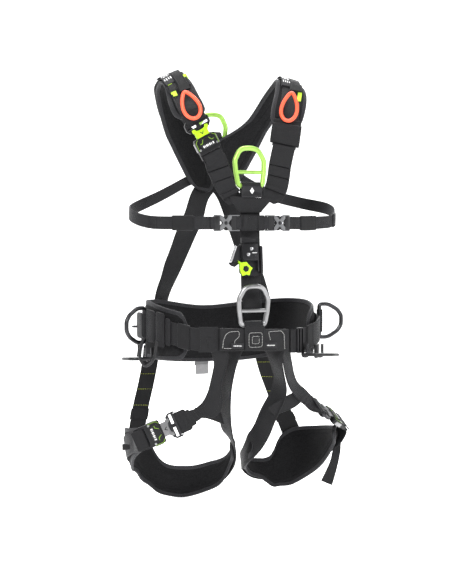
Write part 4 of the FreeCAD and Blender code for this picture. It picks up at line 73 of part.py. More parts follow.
shoulder_labels = [[[133.11, 41.89, 485.84, 0.125, 0.407, 0.905, -0.988, -0.035, 0.152, 34, 1], [133.27, 33.16, 489.17, 0.166, 0.323, 0.932, -0.982, -0.036, 0.187, 34, 1], [132.75, 24.26, 491.87, 0.203, 0.249, 0.947, -0.975, -0.034, 0.218, 34, 1], [131.7, 15.3, 494.12, 0.231, 0.18, 0.956, -0.97, -0.032, 0.241, 34, 1], [130.27, 6.27, 495.93, 0.248, 0.099, 0.964, -0.967, -0.032, 0.253, 34, 1], [128.55, -2.9, 496.94, 0.256, -0.01, 0.967, -0.966, -0.032, 0.256, 34, 1], [126.64, -12.14, 496.82, 0.255, -0.143, 0.956, -0.967, -0.032, 0.253, 34, 1], [124.55, -21.26, 495.37, 0.245, -0.286, 0.926, -0.969, -0.032, 0.246, 34, 1]],
    [[-118.27, 62.92, 471.32, -0.149, 0.649, 0.746, 0.978, -0.015, 0.209, 34, 1], [-122.35, 54.02, 477.54, -0.179, 0.581, 0.794, 0.969, -0.037, 0.246, 34, 1], [-125.98, 44.48, 483.04, -0.219, 0.508, 0.833, 0.958, -0.05, 0.282, 34, 1], [-128.83, 34.29, 487.85, -0.263, 0.424, 0.867, 0.948, -0.052, 0.313, 34, 1], [-130.63, 23.51, 491.85, -0.29, 0.322, 0.901, 0.946, -0.047, 0.322, 34, 1], [-131.17, 12.3, 494.91, -0.28, 0.221, 0.934, 0.954, -0.042, 0.296, 34, 1], [-131.26, 0.91, 496.96, -0.256, 0.149, 0.955, 0.964, -0.039, 0.264, 34, 1], [-132.31, -10.51, 498.16, -0.272, 0.094, 0.958, 0.96, -0.039, 0.276, 34, 1]]]
shoulder_tapes = [[[130.46, -53.21, 474.22, 0.114, -0.701, 0.704, -0.991, -0.029, 0.131, 9, 1.2], [128.67, -56.95, 470.93, 0.096, -0.72, 0.687, -0.994, -0.029, 0.109, 9, 1.2], [126.79, -60.59, 467.56, 0.081, -0.733, 0.676, -0.996, -0.028, 0.088, 9, 1.2], [124.81, -64.16, 464.15, 0.067, -0.741, 0.668, -0.997, -0.027, 0.07, 9, 1.2], [122.75, -67.68, 460.68, 0.055, -0.748, 0.661, -0.998, -0.026, 0.055, 9, 1.2], [120.63, -71.14, 457.14, 0.048, -0.757, 0.652, -0.999, -0.027, 0.042, 9, 1.2], [118.5, -74.51, 453.5, 0.044, -0.769, 0.638, -0.999, -0.029, 0.033, 9, 1.2], [116.38, -77.81, 449.7, 0.041, -0.784, 0.619, -0.999, -0.03, 0.027, 9, 1.2]],
    [[-147.88, -52.86, 476.63, -0.363, -0.688, 0.629, 0.883, -0.038, 0.467, 9, 1.2], [-147.05, -56.24, 473.2, -0.341, -0.721, 0.604, 0.889, -0.037, 0.457, 9, 1.2], [-146.3, -59.46, 469.76, -0.322, -0.738, 0.593, 0.896, -0.036, 0.443, 9, 1.2], [-145.68, -62.63, 466.33, -0.306, -0.746, 0.591, 0.904, -0.035, 0.425, 9, 1.2], [-145.19, -65.79, 462.93, -0.291, -0.751, 0.593, 0.913, -0.034, 0.405, 9, 1.2], [-144.78, -68.96, 459.53, -0.275, -0.757, 0.593, 0.923, -0.033, 0.384, 9, 1.2], [-144.42, -72.14, 456.13, -0.257, -0.766, 0.589, 0.931, -0.033, 0.363, 9, 1.2], [-144.09, -75.32, 452.71, -0.237, -0.778, 0.581, 0.939, -0.032, 0.342, 9, 1.2]]]
shoulder_keepers = [[[120.1, -34.78, 488.05, 0.202, -0.51, 0.836, -0.976, -0.031, 0.217, 44, 2.6], [118.24, -40.28, 484.72, 0.176, -0.586, 0.791, -0.98, -0.03, 0.196, 44, 2.6], [116.29, -45.42, 480.91, 0.149, -0.645, 0.749, -0.985, -0.029, 0.171, 44, 2.6], [114.25, -50.22, 476.73, 0.124, -0.688, 0.715, -0.989, -0.029, 0.143, 44, 2.6]],
    [[-133.57, -52.92, 481.2, -0.356, -0.7, 0.62, 0.885, -0.037, 0.465, 44, 2.6], [-132.43, -57.29, 476.36, -0.328, -0.734, 0.595, 0.893, -0.036, 0.448, 44, 2.6], [-131.44, -61.54, 471.37, -0.306, -0.747, 0.591, 0.904, -0.035, 0.425, 44, 2.6], [-130.65, -65.79, 466.35, -0.285, -0.753, 0.593, 0.917, -0.033, 0.398, 44, 2.6]],
    [[81.8, -99.16, 405.7, -0.228, -0.95, 0.214, -0.968, 0.219, 0.121, 44, 2.6], [79.13, -101.65, 396.01, -0.294, -0.947, 0.13, -0.946, 0.285, 0.151, 44, 2.6], [76.8, -103.44, 386.09, -0.343, -0.937, 0.071, -0.924, 0.338, 0.177, 44, 2.6], [74.94, -104.47, 375.96, -0.367, -0.929, 0.051, -0.909, 0.368, 0.194, 44, 2.6], [73.37, -104.83, 365.74, -0.37, -0.927, 0.066, -0.904, 0.376, 0.202, 44, 2.6], [71.54, -104.91, 355.55, -0.364, -0.927, 0.091, -0.904, 0.375, 0.207, 44, 2.6]]]
belt_labels = [[[-10.51, 131, -85.03, 0, 0.999, 0.048, 1, 0, 0, 29, 1], [-10.35, 131.44, -94.26, 0, 0.999, 0.042, 1, 0, 0, 29, 1], [-10.23, 131.77, -103.49, 0, 1, 0.03, 1, 0, 0, 29, 1], [-10.15, 132, -112.73, 0, 1, 0.024, 1, 0, 0, 29, 1]],
    [[-41.71, -142.2, -24.78, 0, -1, 0, 0.999, 0, -0.033, 26, 0.8], [-41.71, -142.2, -30.11, 0, -1, 0, 0.999, 0, -0.033, 26, 0.8], [-41.71, -142.2, -35.44, 0, -1, 0, 0.999, 0, -0.034, 26, 0.8]],
    [[28.41, -142.2, -25.71, 0, -1, 0, 0.999, 0, -0.033, 26, 0.8], [28.42, -142.2, -31.19, 0, -1, 0, 0.999, 0, -0.033, 26, 0.8], [28.43, -142.2, -36.66, 0, -1, 0, 0.999, 0, -0.034, 26, 0.8]]]
accessory_loops = [[(-207.4, -62.0, -15.16, 0.0), (-215.0, -66.0, -51.51, 6.0), (-204.16, -70.0, -69.04, 6.0), (-188.43, -72.0, -53.88, 6.0), (-182.89, -74.0, -22.77, 0.0)]]
tool_loop_right = [(-133.83, -97.5, 458.35), (-131.4, -98.46, 458.43), (-128.26, -100.13, 456.96), (-124.42, -102.46, 454.12), (-120.13, -105.29, 450.11), (-115.88, -108.37, 445.12), (-112.23, -111.42, 439.37), (-109.7, -114.15, 433.14), (-108.61, -116.33, 426.78), (-109.07, -117.8, 420.72), (-110.97, -118.49, 415.41), (-114.06, -118.38, 411.24), (-118.05, -117.5, 408.55), (-122.58, -115.94, 407.57), (-127.26, -113.83, 408.37), (-131.66, -111.34, 410.97), (-135.38, -108.67, 415.23), (-138.1, -106.03, 420.88), (-139.65, -103.58, 427.54), (-140.08, -101.45, 434.67), (-139.64, -99.71, 441.69), (-138.62, -98.4, 447.99), (-137.28, -97.55, 453.07), (-135.72, -97.22, 456.57)]
tool_loop_left = [(95.26, -90.5, 464.36), (97.03, -91.89, 463.08), (98.34, -94.1, 459.91), (99.31, -97.07, 455.03), (99.87, -100.6, 448.8), (99.81, -104.37, 441.64), (98.86, -107.97, 434.1), (96.82, -111.05, 426.73), (93.69, -113.32, 420.05), (89.64, -114.61, 414.52), (85.04, -114.87, 410.52), (80.29, -114.14, 408.29), (75.83, -112.5, 407.97), (72.02, -110.11, 409.57), (69.22, -107.18, 412.97), (67.7, -103.95, 417.93), (67.69, -100.68, 424.08), (69.24, -97.64, 431.0), (72.23, -95.03, 438.23), (76.31, -92.94, 445.28), (80.93, -91.4, 451.73), (85.52, -90.37, 457.17), (89.58, -89.84, 461.26), (92.83, -89.85, 463.73)]
gear_right_size = (84.0, 36.0)
gear_left_size = (88.0, 36.0)

# ---------------------------------------------------------------- hardware frames
# each: origin, across, along, outward
sternal_ring_frame = [[0.674, -103.500, 279.657], [1.00000, 0.00000, -0.00000], [0.00000, 0.09950, 0.99504], [0.00000, -0.99504, 0.09950]]
ventral_ring_frame = [[-6.072, -133.500, 10.407], [1.00000, 0.00000, 0.00000], [0.00000, -0.05989, 0.99820], [0.00000, -0.99820, -0.05989]]
dorsal_ring_frame = [[6.000, 119.600, 358.000], [-1.00000, 0.00000, 0.00000], [0.00000, -0.09950, 0.99504], [0.00000, 0.99504, 0.09950]]
side_ring_right_frame = [[-187.500, -12.000, 6.088], [0.00000, 0.00000, 1.00000], [-0.89039, -0.45520, 0.00000], [0.45520, -0.89039, 0.00000]]
side_ring_left_frame = [[186.000, -30.000, 6.153], [0.00000, 0.00000, -1.00000], [1.00000, 0.00000, 0.00000], [0.00000, -1.00000, 0.00000]]
shoulder_buckle_frame = [[-94.442, -104.000, 367.436], [-0.88393, 0.04182, -0.46575], [0.46438, -0.03863, -0.88480], [-0.05499, -0.99838, 0.01473]]
leg_buckle_right_frame = [[-184.650, -86.500, -196.505], [-0.35596, 0.18815, 0.91536], [-0.87511, 0.27650, -0.39715], [-0.32783, -0.94241, 0.06623]]
leg_buckle_left_frame = [[187.341, -84.000, -183.724], [0.11883, -0.81069, -0.57328], [0.79450, 0.42393, -0.43480], [0.59552, -0.40380, 0.69447]]
chest_buckle_right_frame = [[-53.570, -113.500, 207.553], [-0.00214, 0.00006, -1.00000], [1.00000, 0.00000, -0.00214], [-0.00000, -1.00000, -0.00006]]
chest_buckle_left_frame = [[54.254, -113.200, 207.321], [0.00000, 0.00000, 1.00000], [-0.99875, -0.04994, 0.00000], [0.04994, -0.99875, 0.00000]]
ascender_frame_frame = [[-8.297, -121.000, 143.313], [-1.00000, -0.00000, 0.00000], [0.00000, -0.06983, -0.99756], [0.00000, -0.99756, 0.06983]]
gear_loop_right_frame = [[-177.000, 22.000, -64.432], [0.11669, 0.98861, -0.09504], [-0.99267, 0.11912, 0.02025], [0.03134, 0.09198, 0.99527]]
gear_loop_left_frame = [[137.000, -108.500, -55.821], [0.78221, 0.61729, -0.08426], [0.62171, -0.78215, 0.04141], [-0.04034, -0.08478, -0.99558]]
belt_adjuster_frames = [[[-176.002, -54.015, -0.093], [0.00000, 0.00000, 1.00000], [-0.31454, 0.94924, 0.00000], [-0.94924, -0.31454, 0.00000]], [[97.352, -128.382, -23.935], [0.00000, 0.00000, 1.00000], [-0.94472, -0.32787, 0.00000], [0.32787, -0.94472, 0.00000]]]


def V(p):
    return Vector(float(p[0]), float(p[1]), float(p[2]))


def section(row, chamfer):
    c, n, w = V(row[0:3]), V(row[3:6]), V(row[6:9])
    a, b = row[9] / 2.0, row[10] / 2.0
    if chamfer <= 0:
        uv = [(-a, -b), (a, -b), (a, b), (-a, b)]
    else:
        k = min(chamfer, a * 0.5, b * 0.9)
        uv = [(-a + k, -b), (a - k, -b), (a, -b + k), (a, b - k), (a - k, b), (-a + k, b), (-a, b - k), (-a, -b + k)]
    pts = [c + w * u + n * v for u, v in uv]
    return Part.makePolygon(pts + [pts[0]])


def ribbon(rows, chamfer=0.0, ruled=False):
    wires = [section(r, chamfer) for r in rows]
    s = Part.makeLoft(wires, True, ruled)
    if (not s.isValid()) or s.Volume <= 0:
        s = Part.makeLoft(wires, True, True)
    if s.Volume < 0:
        s.reverse()
    return Part.Solid(s.Shells[0]) if s.ShapeType != "Solid" else s


def grow(rows, dw, dt):
    return [list(r[:9]) + [r[9] + dw, r[10] + dt] for r in rows]


def stretch(rows, e):
    a, b = list(rows[0]), list(rows[-1])
    d0 = (V(rows[0][0:3]) - V(rows[1][0:3])).normalize() * e
    d1 = (V(rows[-1][0:3]) - V(rows[-2][0:3])).normalize() * e
    a[0:3] = [a[0] + d0.x, a[1] + d0.y, a[2] + d0.z]
    b[0:3] = [b[0] + d1.x, b[1] + d1.y, b[2] + d1.z]
    return [a] + [list(r) for r in rows] + [b]


def sleeve(rows, gap, wall):
    """a band that goes right round a strap, clear of it by gap"""
    outer = ribbon(grow(rows, 2 * (gap + wall), 2 * (gap + wall)), 0.0, True)
    inner = ribbon(stretch(grow(rows, 2 * gap, 2 * gap), 3.0), 0.0, True)
    return outer.cut(inner)


def matrix(fr):
    o, x, y, z = fr
    return FreeCAD.Placement(FreeCAD.Matrix(x[0], y[0], z[0], o[0], x[1], y[1], z[1], o[1], x[2], y[2], z[2], o[2], 0, 0, 0, 1))


def put(shape, fr):
    s = shape.copy()
    s.Placement = matrix(fr).multiply(s.Placement)
    return s


def box(x0, x1, y0, y1, z0, z1):
    return Part.makeBox(x1 - x0, y1 - y0, z1 - z0, Vector(x0, y0, z0))


def cyl(r, h, p, d):
    return Part.makeCylinder(r, h, Vector(*p), Vector(*d))


def rounded(shape, r, direction="z"):
    """round the edges that run along one local axis"""
    es = []
    for e in shape.Edges:
        if len(e.Vertexes) == 2:
            d = e.Vertexes[1].Point - e.Vertexes[0].Point
            if d.Length > 1e-6:
                d.normalize()
                if abs({"x": d.x, "y": d.y, "z": d.z}[direction]) > 0.999:
                    es.append(e)
    try:
        s = shape.makeFillet(r, es)
        return s if s.isValid() else shape
    except Exception:
        return shape


def plate(pts, z0, z1, fillet=0.0):
    """outline in local x, y made solid between two heights"""
    w = Part.makePolygon([Vector(x, y, z0) for x, y in pts] + [Vector(pts[0][0], pts[0][1], z0)])
    s = Part.Face(w).extrude(Vector(0, 0, z1 - z0))
    return rounded(s, fillet) if fillet > 0 else s


def tube_path(pts, r, closed=True, fillets=None):
    """round rod bent along straight runs joined by tangent arcs; pts are (x, y, z, bend radius)"""
    n = len(pts)
    P = [Vector(*p[:3]) for p in pts]
    edges, ends = [], []
    rng = range(n) if closed else range(1, n - 1)
    corner = {}
    for i in rng:
        a, b, c = P[i - 1], P[i], P[(i + 1) % n]
        u, w = (a - b).normalize(), (c - b).normalize()
        ang = math.acos(max(-1.0, min(1.0, u.dot(w))))
        R = pts[i][3]
        t = R / math.tan(ang / 2.0)
        p0, p1 = b + u * t, b + w * t
        bis = (u + w).normalize()
        mid = b + bis * (R / math.sin(ang / 2.0) - R)
        corner[i] = (p0, mid, p1)
    def leave(i):
        return corner[i][2] if i in corner else P[i]
    def arrive(i):
        return corner[i][0] if i in corner else P[i]
    for i in range(n if closed else n - 1):
        j = (i + 1) % n
        if (arrive(j) - leave(i)).Length > 1e-4:
            edges.append(Part.makeLine(leave(i), arrive(j)))
        if j in corner:
            edges.append(Part.Arc(*corner[j]).toShape())
    path = Part.Wire(Part.__sortEdges__(edges))
    e0 = path.OrderedEdges[0] if hasattr(path, "OrderedEdges") else path.Edges[0]
    f0 = e0.FirstParameter
    p0, d0 = e0.valueAt(f0), e0.tangentAt(f0)
    prof = Part.Wire(Part.makeCircle(r, p0, d0))
    s = path.makePipeShell([prof], True, False)
    return s if s.ShapeType == "Solid" else Part.Solid(s.Shells[0])


def save(name, shapes):
    if not isinstance(shapes, (list, tuple)):
        shapes = [shapes]
    out = []
    for s in shapes:
        out += list(s.Solids)
    shape = out[0] if len(out) == 1 else Part.makeCompound(out)
    ok = all(x.isValid() and x.Volume > 0 for x in out)
    if not ok:
        print("CHECK", name, [(x.isValid(), round(x.Volume)) for x in out])
    shape.exportStep("parts/%s.step" % name)
    return shape

# ---------------------------------------------------------------- pads
save("yoke_pad_right", ribbon(yoke_right, 3.0))
save("yoke_pad_left", ribbon(yoke_left, 3.0))
save("belt_pad", ribbon(belt_pad, 3.0))
save("leg_pad_right", ribbon(leg_pad_right, 3.0))
save("leg_pad_left", ribbon(leg_pad_left, 3.0))

# ---------------------------------------------------------------- webbing
for name, rows in [("shoulder_webbing_right", shoulder_webbing_right), ("shoulder_webbing_left", shoulder_webbing_left),
                   ("front_webbing_right", front_webbing_right), ("back_webbing_right", back_webbing_right),
                   ("back_webbing_left", back_webbing_left), ("side_strap_right", side_strap_right),
                   ("side_strap_left", side_strap_left), ("chest_band", chest_band), ("ventral_webbing", ventral_webbing),
                   ("belt_webbing", belt_webbing), ("leg_webbing_right", leg_webbing_right), ("leg_webbing_left", leg_webbing_left),
                   ("rear_elastic_right", rear_elastic_right), ("rear_elastic_left", rear_elastic_left)]:
    save(name, ribbon(rows))
save("belt_front_panel", ribbon(belt_front_panel, 1.2))
# the leg strap's front run, and the short run that joins it to the inner thigh
save("leg_front_webbing_right", [ribbon(leg_front_webbing_right), ribbon(leg_bridge_right)])
save("leg_front_webbing_left", [ribbon(leg_front_webbing_left), ribbon(leg_bridge_left)])

# ---------------------------------------------------------------- rings
def gate_ring():
    pts = [(-RING_BAR_HALF, 0, 0, 7), (-RING_MID_HALF, RING_CROSS_H, 0, 60), (-31.0, 50.0, 0, 20), (-19.0, RING_TOP_H - 3, 0, 18), (0, RING_TOP_H + 0.5, 0, 60),
           (19.0, RING_TOP_H - 3, 0, 18), (31.0, 50.0, 0, 20), (RING_MID_HALF, RING_CROSS_H, 0, 60), (RING_BAR_HALF, 0, 0, 7)]
    ring = tube_path(pts, RING_R)
    cross = cyl(3.6, 2 * RING_MID_HALF - 2, (-RING_MID_HALF + 1, RING_CROSS_H, 0), (1, 0, 0))
    return ring.fuse(cross).removeSplitter()

save("sternal_ring", put(gate_ring(), sternal_ring_frame))
save("ventral_ring", put(gate_ring(), ventral_ring_frame))
save("dorsal_ring", put(gate_ring(), dorsal_ring_frame))

def side_ring():
    h, d = SIDE_RING_HALF, SIDE_RING_DEPTH
    pts = [(-h, 0, 0, 6), (-h, d - 30, 0, 30), (-h + 12, d - 9, 0, 24), (-10, d, 0, 17), (10, d, 0, 17), (h - 12, d - 9, 0, 24), (h, d - 30, 0, 30), (h, 0, 0, 6)]
    return tube_path(pts, SIDE_RING_R)

save("side_ring_right", put(side_ring(), side_ring_right_frame))
save("side_ring_left", put(side_ring(), side_ring_left_frame))

# ---------------------------------------------------------------- big buckles (shoulder and legs)
def housing():
    body = rounded(box(-BUCKLE_W / 2, BUCKLE_W / 2, -8, 24, -BUCKLE_T / 2, BUCKLE_T / 2), 4.0)
    body = rounded(body, 1.6, "x")
    body = body.cut(box(-14.6, 14.6, -9, 18, -2.4, 2.4))                       # pocket for the tongue
    for s in (-1, 1):
        a, b = (15.2, 25.0) if s > 0 else (-25.0, -15.2)
        body = body.cut(box(a, b, -3.2, 17.2, -4.4, 4.4))                      # lever recess
    arm = box(-BUCKLE_W / 2, -BUCKLE_W / 2 + 3.5, 20, 34, -3, 3).fuse(box(BUCKLE_W / 2 - 3.5, BUCKLE_W / 2, 20, 34, -3, 3))
    bar = cyl(3.0, BUCKLE_W, (-BUCKLE_W / 2, 31.0, 0), (1, 0, 0))
    face = rounded(box(-15, 15, -4, 16, BUCKLE_T / 2 - 0.4, BUCKLE_T / 2 + 1.2), 3.0)  # raised badge panel
    return body.fuse([arm, bar, face])

def lever(side):
    s = rounded(box(17.4, 24.6, -2.4, 16.4, -3.9, 3.9), 1.8)
    s = s.cut(cyl(1.55, 12, (19.0, 13.6, -6), (0, 0, 1)))
    return s if side > 0 else s.mirror(Vector(0, 0, 0), Vector(1, 0, 0))

def lever_pins():
    return [cyl(1.5, 9.6, (sx * 19.0, 13.6, -4.8), (0, 0, 1)) for sx in (-1, 1)]

def tongue():
    t = plate([(-11, -24), (11, -24), (11, -21.8), (13.8, -17), (13.8, 3), (10.5, 6), (10.5, 9.5), (13.8, 12.5), (8, 17.4), (-8, 17.4), (-13.8, 12.5), (-10.5, 9.5), (-10.5, 6), (-13.8, 3), (-13.8, -17), (-11, -21.8)], -2.1, 2.1)
    return t.cut(cyl(3.0, 10, (0, -3.0, -5), (0, 0, 1)))

def adjuster():
    f = plate([(-19, -48), (19, -48), (26, -41), (26, -29), (20, -22.2), (-20, -22.2), (-26, -29), (-26, -41)], -3.0, 3.0, 2.5)
    f = f.cut(box(-22.6, 22.6, -43.5, -39.5, -5, 5)).cut(box(-22.6, 22.6, -34.5, -29.5, -5, 5))
    f = f.cut(box(-11.05, 11.05, -24.3, -22, -2.15, 2.15))
    return f

h = housing()
for p in lever_pins():
    h = h.fuse(p)
save("shoulder_buckle_housing", put(h, shoulder_buckle_frame))
save("shoulder_buckle_tongue", put(tongue(), shoulder_buckle_frame))
save("shoulder_buckle_adjuster", put(adjuster(), shoulder_buckle_frame))
save("shoulder_buckle_lever_a", put(lever(1), shoulder_buckle_frame))
save("shoulder_buckle_lever_b", put(lever(-1), shoulder_buckle_frame))
save("leg_buckle_housings", [put(h, leg_buckle_right_frame), put(h, leg_buckle_left_frame)])
save("leg_buckle_tongues", [put(tongue(), leg_buckle_right_frame), put(tongue(), leg_buckle_left_frame),
                            put(adjuster(), leg_buckle_right_frame), put(adjuster(), leg_buckle_left_frame)])
save("leg_buckle_right_lever_a", put(lever(1), leg_buckle_right_frame))
save("leg_buckle_right_lever_b", put(lever(-1), leg_buckle_right_frame))
save("leg_buckle_left_lever_a", put(lever(1), leg_buckle_left_frame))
save("leg_buckle_left_lever_b", put(lever(-1), leg_buckle_left_frame))

# ---------------------------------------------------------------- chest buckles (side release)
def chest_female():
    b = rounded(box(-15, 15, -26, 8, -4.6, 4.6), 3.0)
    b = rounded(b, 1.2, "x")
    b = b.cut(box(-12.9, 12.9, -23.5, -19.5, -6, 6)).cut(box(-11.8, 11.8, -15, 9, -2.3, 2.3))
    for s in (-1, 1):
        b = b.cut(box(min(s * 11, s * 16), max(s * 11, s * 16), -9.5, 2.0, -2.8, 2.8))
    for a in (32, -32):
        g = Part.makeBox(2.0, 22, 0.8, Vector(-1.0, -11, 4.0))
        g.rotate(Vector(0, 0, 4), Vector(0, 0, 1), a)
        g.translate(Vector(0, -4.0, 0))
        b = b.cut(g)
    return b

def chest_male():
    m = rounded(box(-14, 14, 8.4, 27, -3.4, 3.4), 2.5)
    m = m.cut(box(-12.9, 12.9, 19.5, 23.5, -6, 6))
    for s in (-1, 1):
        m = m.fuse(box(min(s * 7.6, s * 10.6), max(s * 7.6, s * 10.6), -7, 9, -1.9, 1.9))
        m = m.fuse(plate([(s * 7.6, -9), (s * 10.6, -9), (s * 14.6, -2), (s * 14.6, 1.4), (s * 10.4, 1.4), (s * 7.6, 1.4)], -1.9, 1.9))
    m = m.fuse(box(-2.6, 2.6, -6, 9, -1.9, 1.9))
    return m

save("chest_buckle_females", [put(chest_female(), chest_buckle_right_frame), put(chest_female(), chest_buckle_left_frame)])
save("chest_buckle_males", [put(chest_male(), chest_buckle_right_frame), put(chest_male(), chest_buckle_left_frame)])
save("chest_keeper_right", sleeve(chest_keeper_right, 0.5, 1.6))
save("chest_keeper_left", sleeve(chest_keeper_left, 0.5, 1.6))

# ---------------------------------------------------------------- chest ascender
def asc_frame():
    back = plate([(19, -24), (-17, -24), (-25, -18), (-25, 32), (-16, 39), (14, 39), (21, 32), (21, 14)], -5.0, -1.7, 2.0)
    front = plate([(19, -24), (-17, -24), (-17, 10), (15, 10), (19, 4)], 1.3, 4.6, 1.5)
    spine = box(-17, -12.5, -24, 10, -2.0, 1.6)
    top = plate([(17, -36), (-17, -36), (-17, -26.2), (17, -26.2)], -3.2, 3.2, 1.5).cut(box(-13, 13, -33.5, -29.5, -6, 6)).fuse(box(-12, 12, -27, -23, -4.5, -2.2))
    rivet = cyl(3.2, 10.6, (-2.0, -14.0, -5.6), (0, 0, 1))
    pin = cyl(2.4, 9.0, (5.0, -3.0, -4.0), (0, 0, 1))
    post = cyl(4.9, 6.4, (11.0, 25.0, -2.0), (0, 0, 1))
    return back.fuse([front, spine, top, rivet, pin, post])

def asc_cam():
    c = plate([(1.6, -7.5), (21.5, -21.0), (26, -19), (36, 9), (30, 11), (12, 5.5), (3.5, 2.5), (0.2, -1.5)], -1.3, 0.9)
    return c.cut(cyl(2.46, 10, (5.0, -3.0, -5), (0, 0, 1)))

def asc_catch():
    c = plate([(25, 12.0), (8, 13.2), (1, 20), (-1, 25), (4, 35), (15, 38), (19.5, 32), (21, 19)], -1.3, 4.0)
    return c.cut(cyl(4.97, 12, (11.0, 25.0, -5), (0, 0, 1)))

save("ascender_frame", put(asc_frame(), ascender_frame_frame))
save("ascender_cam", put(asc_cam(), ascender_frame_frame))
save("ascender_catch", put(asc_catch(), ascender_frame_frame))

# ---------------------------------------------------------------- loops of webbing round the bars
save("sternal_ring_loop", ribbon(sternal_ring_loop, 0, True))
save("ventral_ring_loop", ribbon(ventral_ring_loop, 0, True))
save("dorsal_ring_loop", ribbon(dorsal_ring_loop, 0, True))
dp = plate([(-36, -34), (36, -34), (38, -10), (24, 12), (16, 39), (-16, 39), (-24, 12), (-38, -10)], -11.6, -8.4, 5.0)
dp = dp.cut(box(-22, 22, -22, -17, -20, 0))
save("dorsal_plate", put(dp, dorsal_ring_frame))
save("sternal_junction", ribbon(sternal_junction, 0.6))

# side ring loops and belt keepers, then the two accessory loops
belt_parts = [ribbon(side_ring_loop_right, 0, True), ribbon(side_ring_loop_left, 0, True)]
for rows in belt_keepers:
    belt_parts.append(sleeve(rows, 0.45, 1.6))
for rows in gear_tabs:
    belt_parts.append(ribbon(rows, 0, True))
save("belt_loops", belt_parts)
save("accessory_loops", [tube_path(pts, 1.6, False) for pts in accessory_loops])
save("belt_adjusters", [put(a, fr) for fr in belt_adjuster_frames for a in [rounded(box(-25, 25, -9, 9, -2.2, 2.2), 3.0).cut(box(-22.4, 22.4, -6, -1.6, -4, 4)).cut(box(-22.4, 22.4, 1.6, 6, -4, 4))]])

def gear_loop(L, D):
    h = L / 2.0
    pts = [(-h + 6, -6, 0, 0), (-h, 4, 0, 5), (-h + 6, D - 6, 0, 12), (h - 6, D - 6, 0, 12), (h, 4, 0, 5), (h - 6, -6, 0, 0)]
    pts = [(-h, -3, 0, 0), (-h, D - 2, 0, 13), (0, D + 5, 0, 60), (h, D - 2, 0, 13), (h, -3, 0, 0)]
    s = tube_path(pts, 3.4, False)
    foot = [cyl(3.4, 18.5, (sx * h, -3, 0), (-sx, 0, 0)) for sx in (-1, 1)]
    return s.fuse(foot).removeSplitter()

save("gear_loop_right", put(gear_loop(*gear_right_size), gear_loop_right_frame))
save("gear_loop_left", put(gear_loop(*gear_left_size), gear_loop_left_frame))

# ---------------------------------------------------------------- labels, tapes, keepers, tool loops
save("labels", [ribbon(r) for r in shoulder_labels] + [ribbon(r) for r in belt_labels])
save("shoulder_tapes", [ribbon(r) for r in shoulder_tapes])
save("shoulder_keepers", [sleeve(r, 0.4, 1.5) for r in shoulder_keepers])
def soft_ring(pts, r, sides=10):
    """closed flat ring of cord: one ring of corners at each point, skinned"""
    P = [Vector(*p) for p in pts]
    n = len(P)
    mid = Vector(0, 0, 0)
    for p in P:
        mid = mid + p
    mid = mid * (1.0 / n)
    ax = (P[n // 4] - mid).cross(P[0] - mid).normalize()
    rings = []
    for i in range(n):
        t = (P[(i + 1) % n] - P[i - 1]).normalize()
        out = t.cross(ax).normalize()
        rings.append([P[i] + out * (r * math.cos(2 * math.pi * k / sides)) + ax * (r * math.sin(2 * math.pi * k / sides)) for k in range(sides)])
    faces = []
    for i in range(n):
        j = (i + 1) % n
        for k in range(sides):
            m = (k + 1) % sides
            a, b, c, d = rings[i][k], rings[j][k], rings[j][m], rings[i][m]
            for tri in ((a, b, c), (a, c, d)):
                faces.append(Part.Face(Part.makePolygon([tri[0], tri[1], tri[2], tri[0]])))
    sh = Part.makeShell(faces)
    sh.sewShape()
    so = Part.makeSolid(sh)
    if so.Volume < 0:
        so.reverse()
    return so

save("tool_loop_right", soft_ring(tool_loop_right, TOOL_LOOP_R))
save("tool_loop_left", soft_ring(tool_loop_left, TOOL_LOOP_R))
print("nodes", len(os.listdir("parts")))
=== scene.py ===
import bpy
import bmesh
import math
import numpy as np
from mathutils import Vector, Matrix


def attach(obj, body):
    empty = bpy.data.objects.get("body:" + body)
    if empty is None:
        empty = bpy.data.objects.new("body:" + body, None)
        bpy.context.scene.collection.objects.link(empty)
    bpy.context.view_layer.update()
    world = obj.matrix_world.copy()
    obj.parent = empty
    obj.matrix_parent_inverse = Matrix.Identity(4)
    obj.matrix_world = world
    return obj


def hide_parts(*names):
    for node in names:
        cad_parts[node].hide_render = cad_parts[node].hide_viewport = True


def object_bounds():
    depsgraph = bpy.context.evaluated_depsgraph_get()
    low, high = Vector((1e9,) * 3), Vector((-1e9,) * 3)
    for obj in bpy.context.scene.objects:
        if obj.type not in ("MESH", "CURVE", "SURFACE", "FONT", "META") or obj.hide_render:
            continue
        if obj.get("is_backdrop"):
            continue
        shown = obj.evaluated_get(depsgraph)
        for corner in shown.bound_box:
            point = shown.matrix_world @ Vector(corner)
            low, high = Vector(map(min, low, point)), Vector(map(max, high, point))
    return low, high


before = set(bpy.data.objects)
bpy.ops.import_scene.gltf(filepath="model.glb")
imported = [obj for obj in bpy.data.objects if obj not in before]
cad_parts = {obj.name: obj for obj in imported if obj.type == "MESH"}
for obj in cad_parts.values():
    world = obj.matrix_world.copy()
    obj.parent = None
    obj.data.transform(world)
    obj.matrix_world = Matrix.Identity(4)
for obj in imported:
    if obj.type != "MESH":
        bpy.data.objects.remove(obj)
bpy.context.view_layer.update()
MM = 0.001
BODY = "harness"

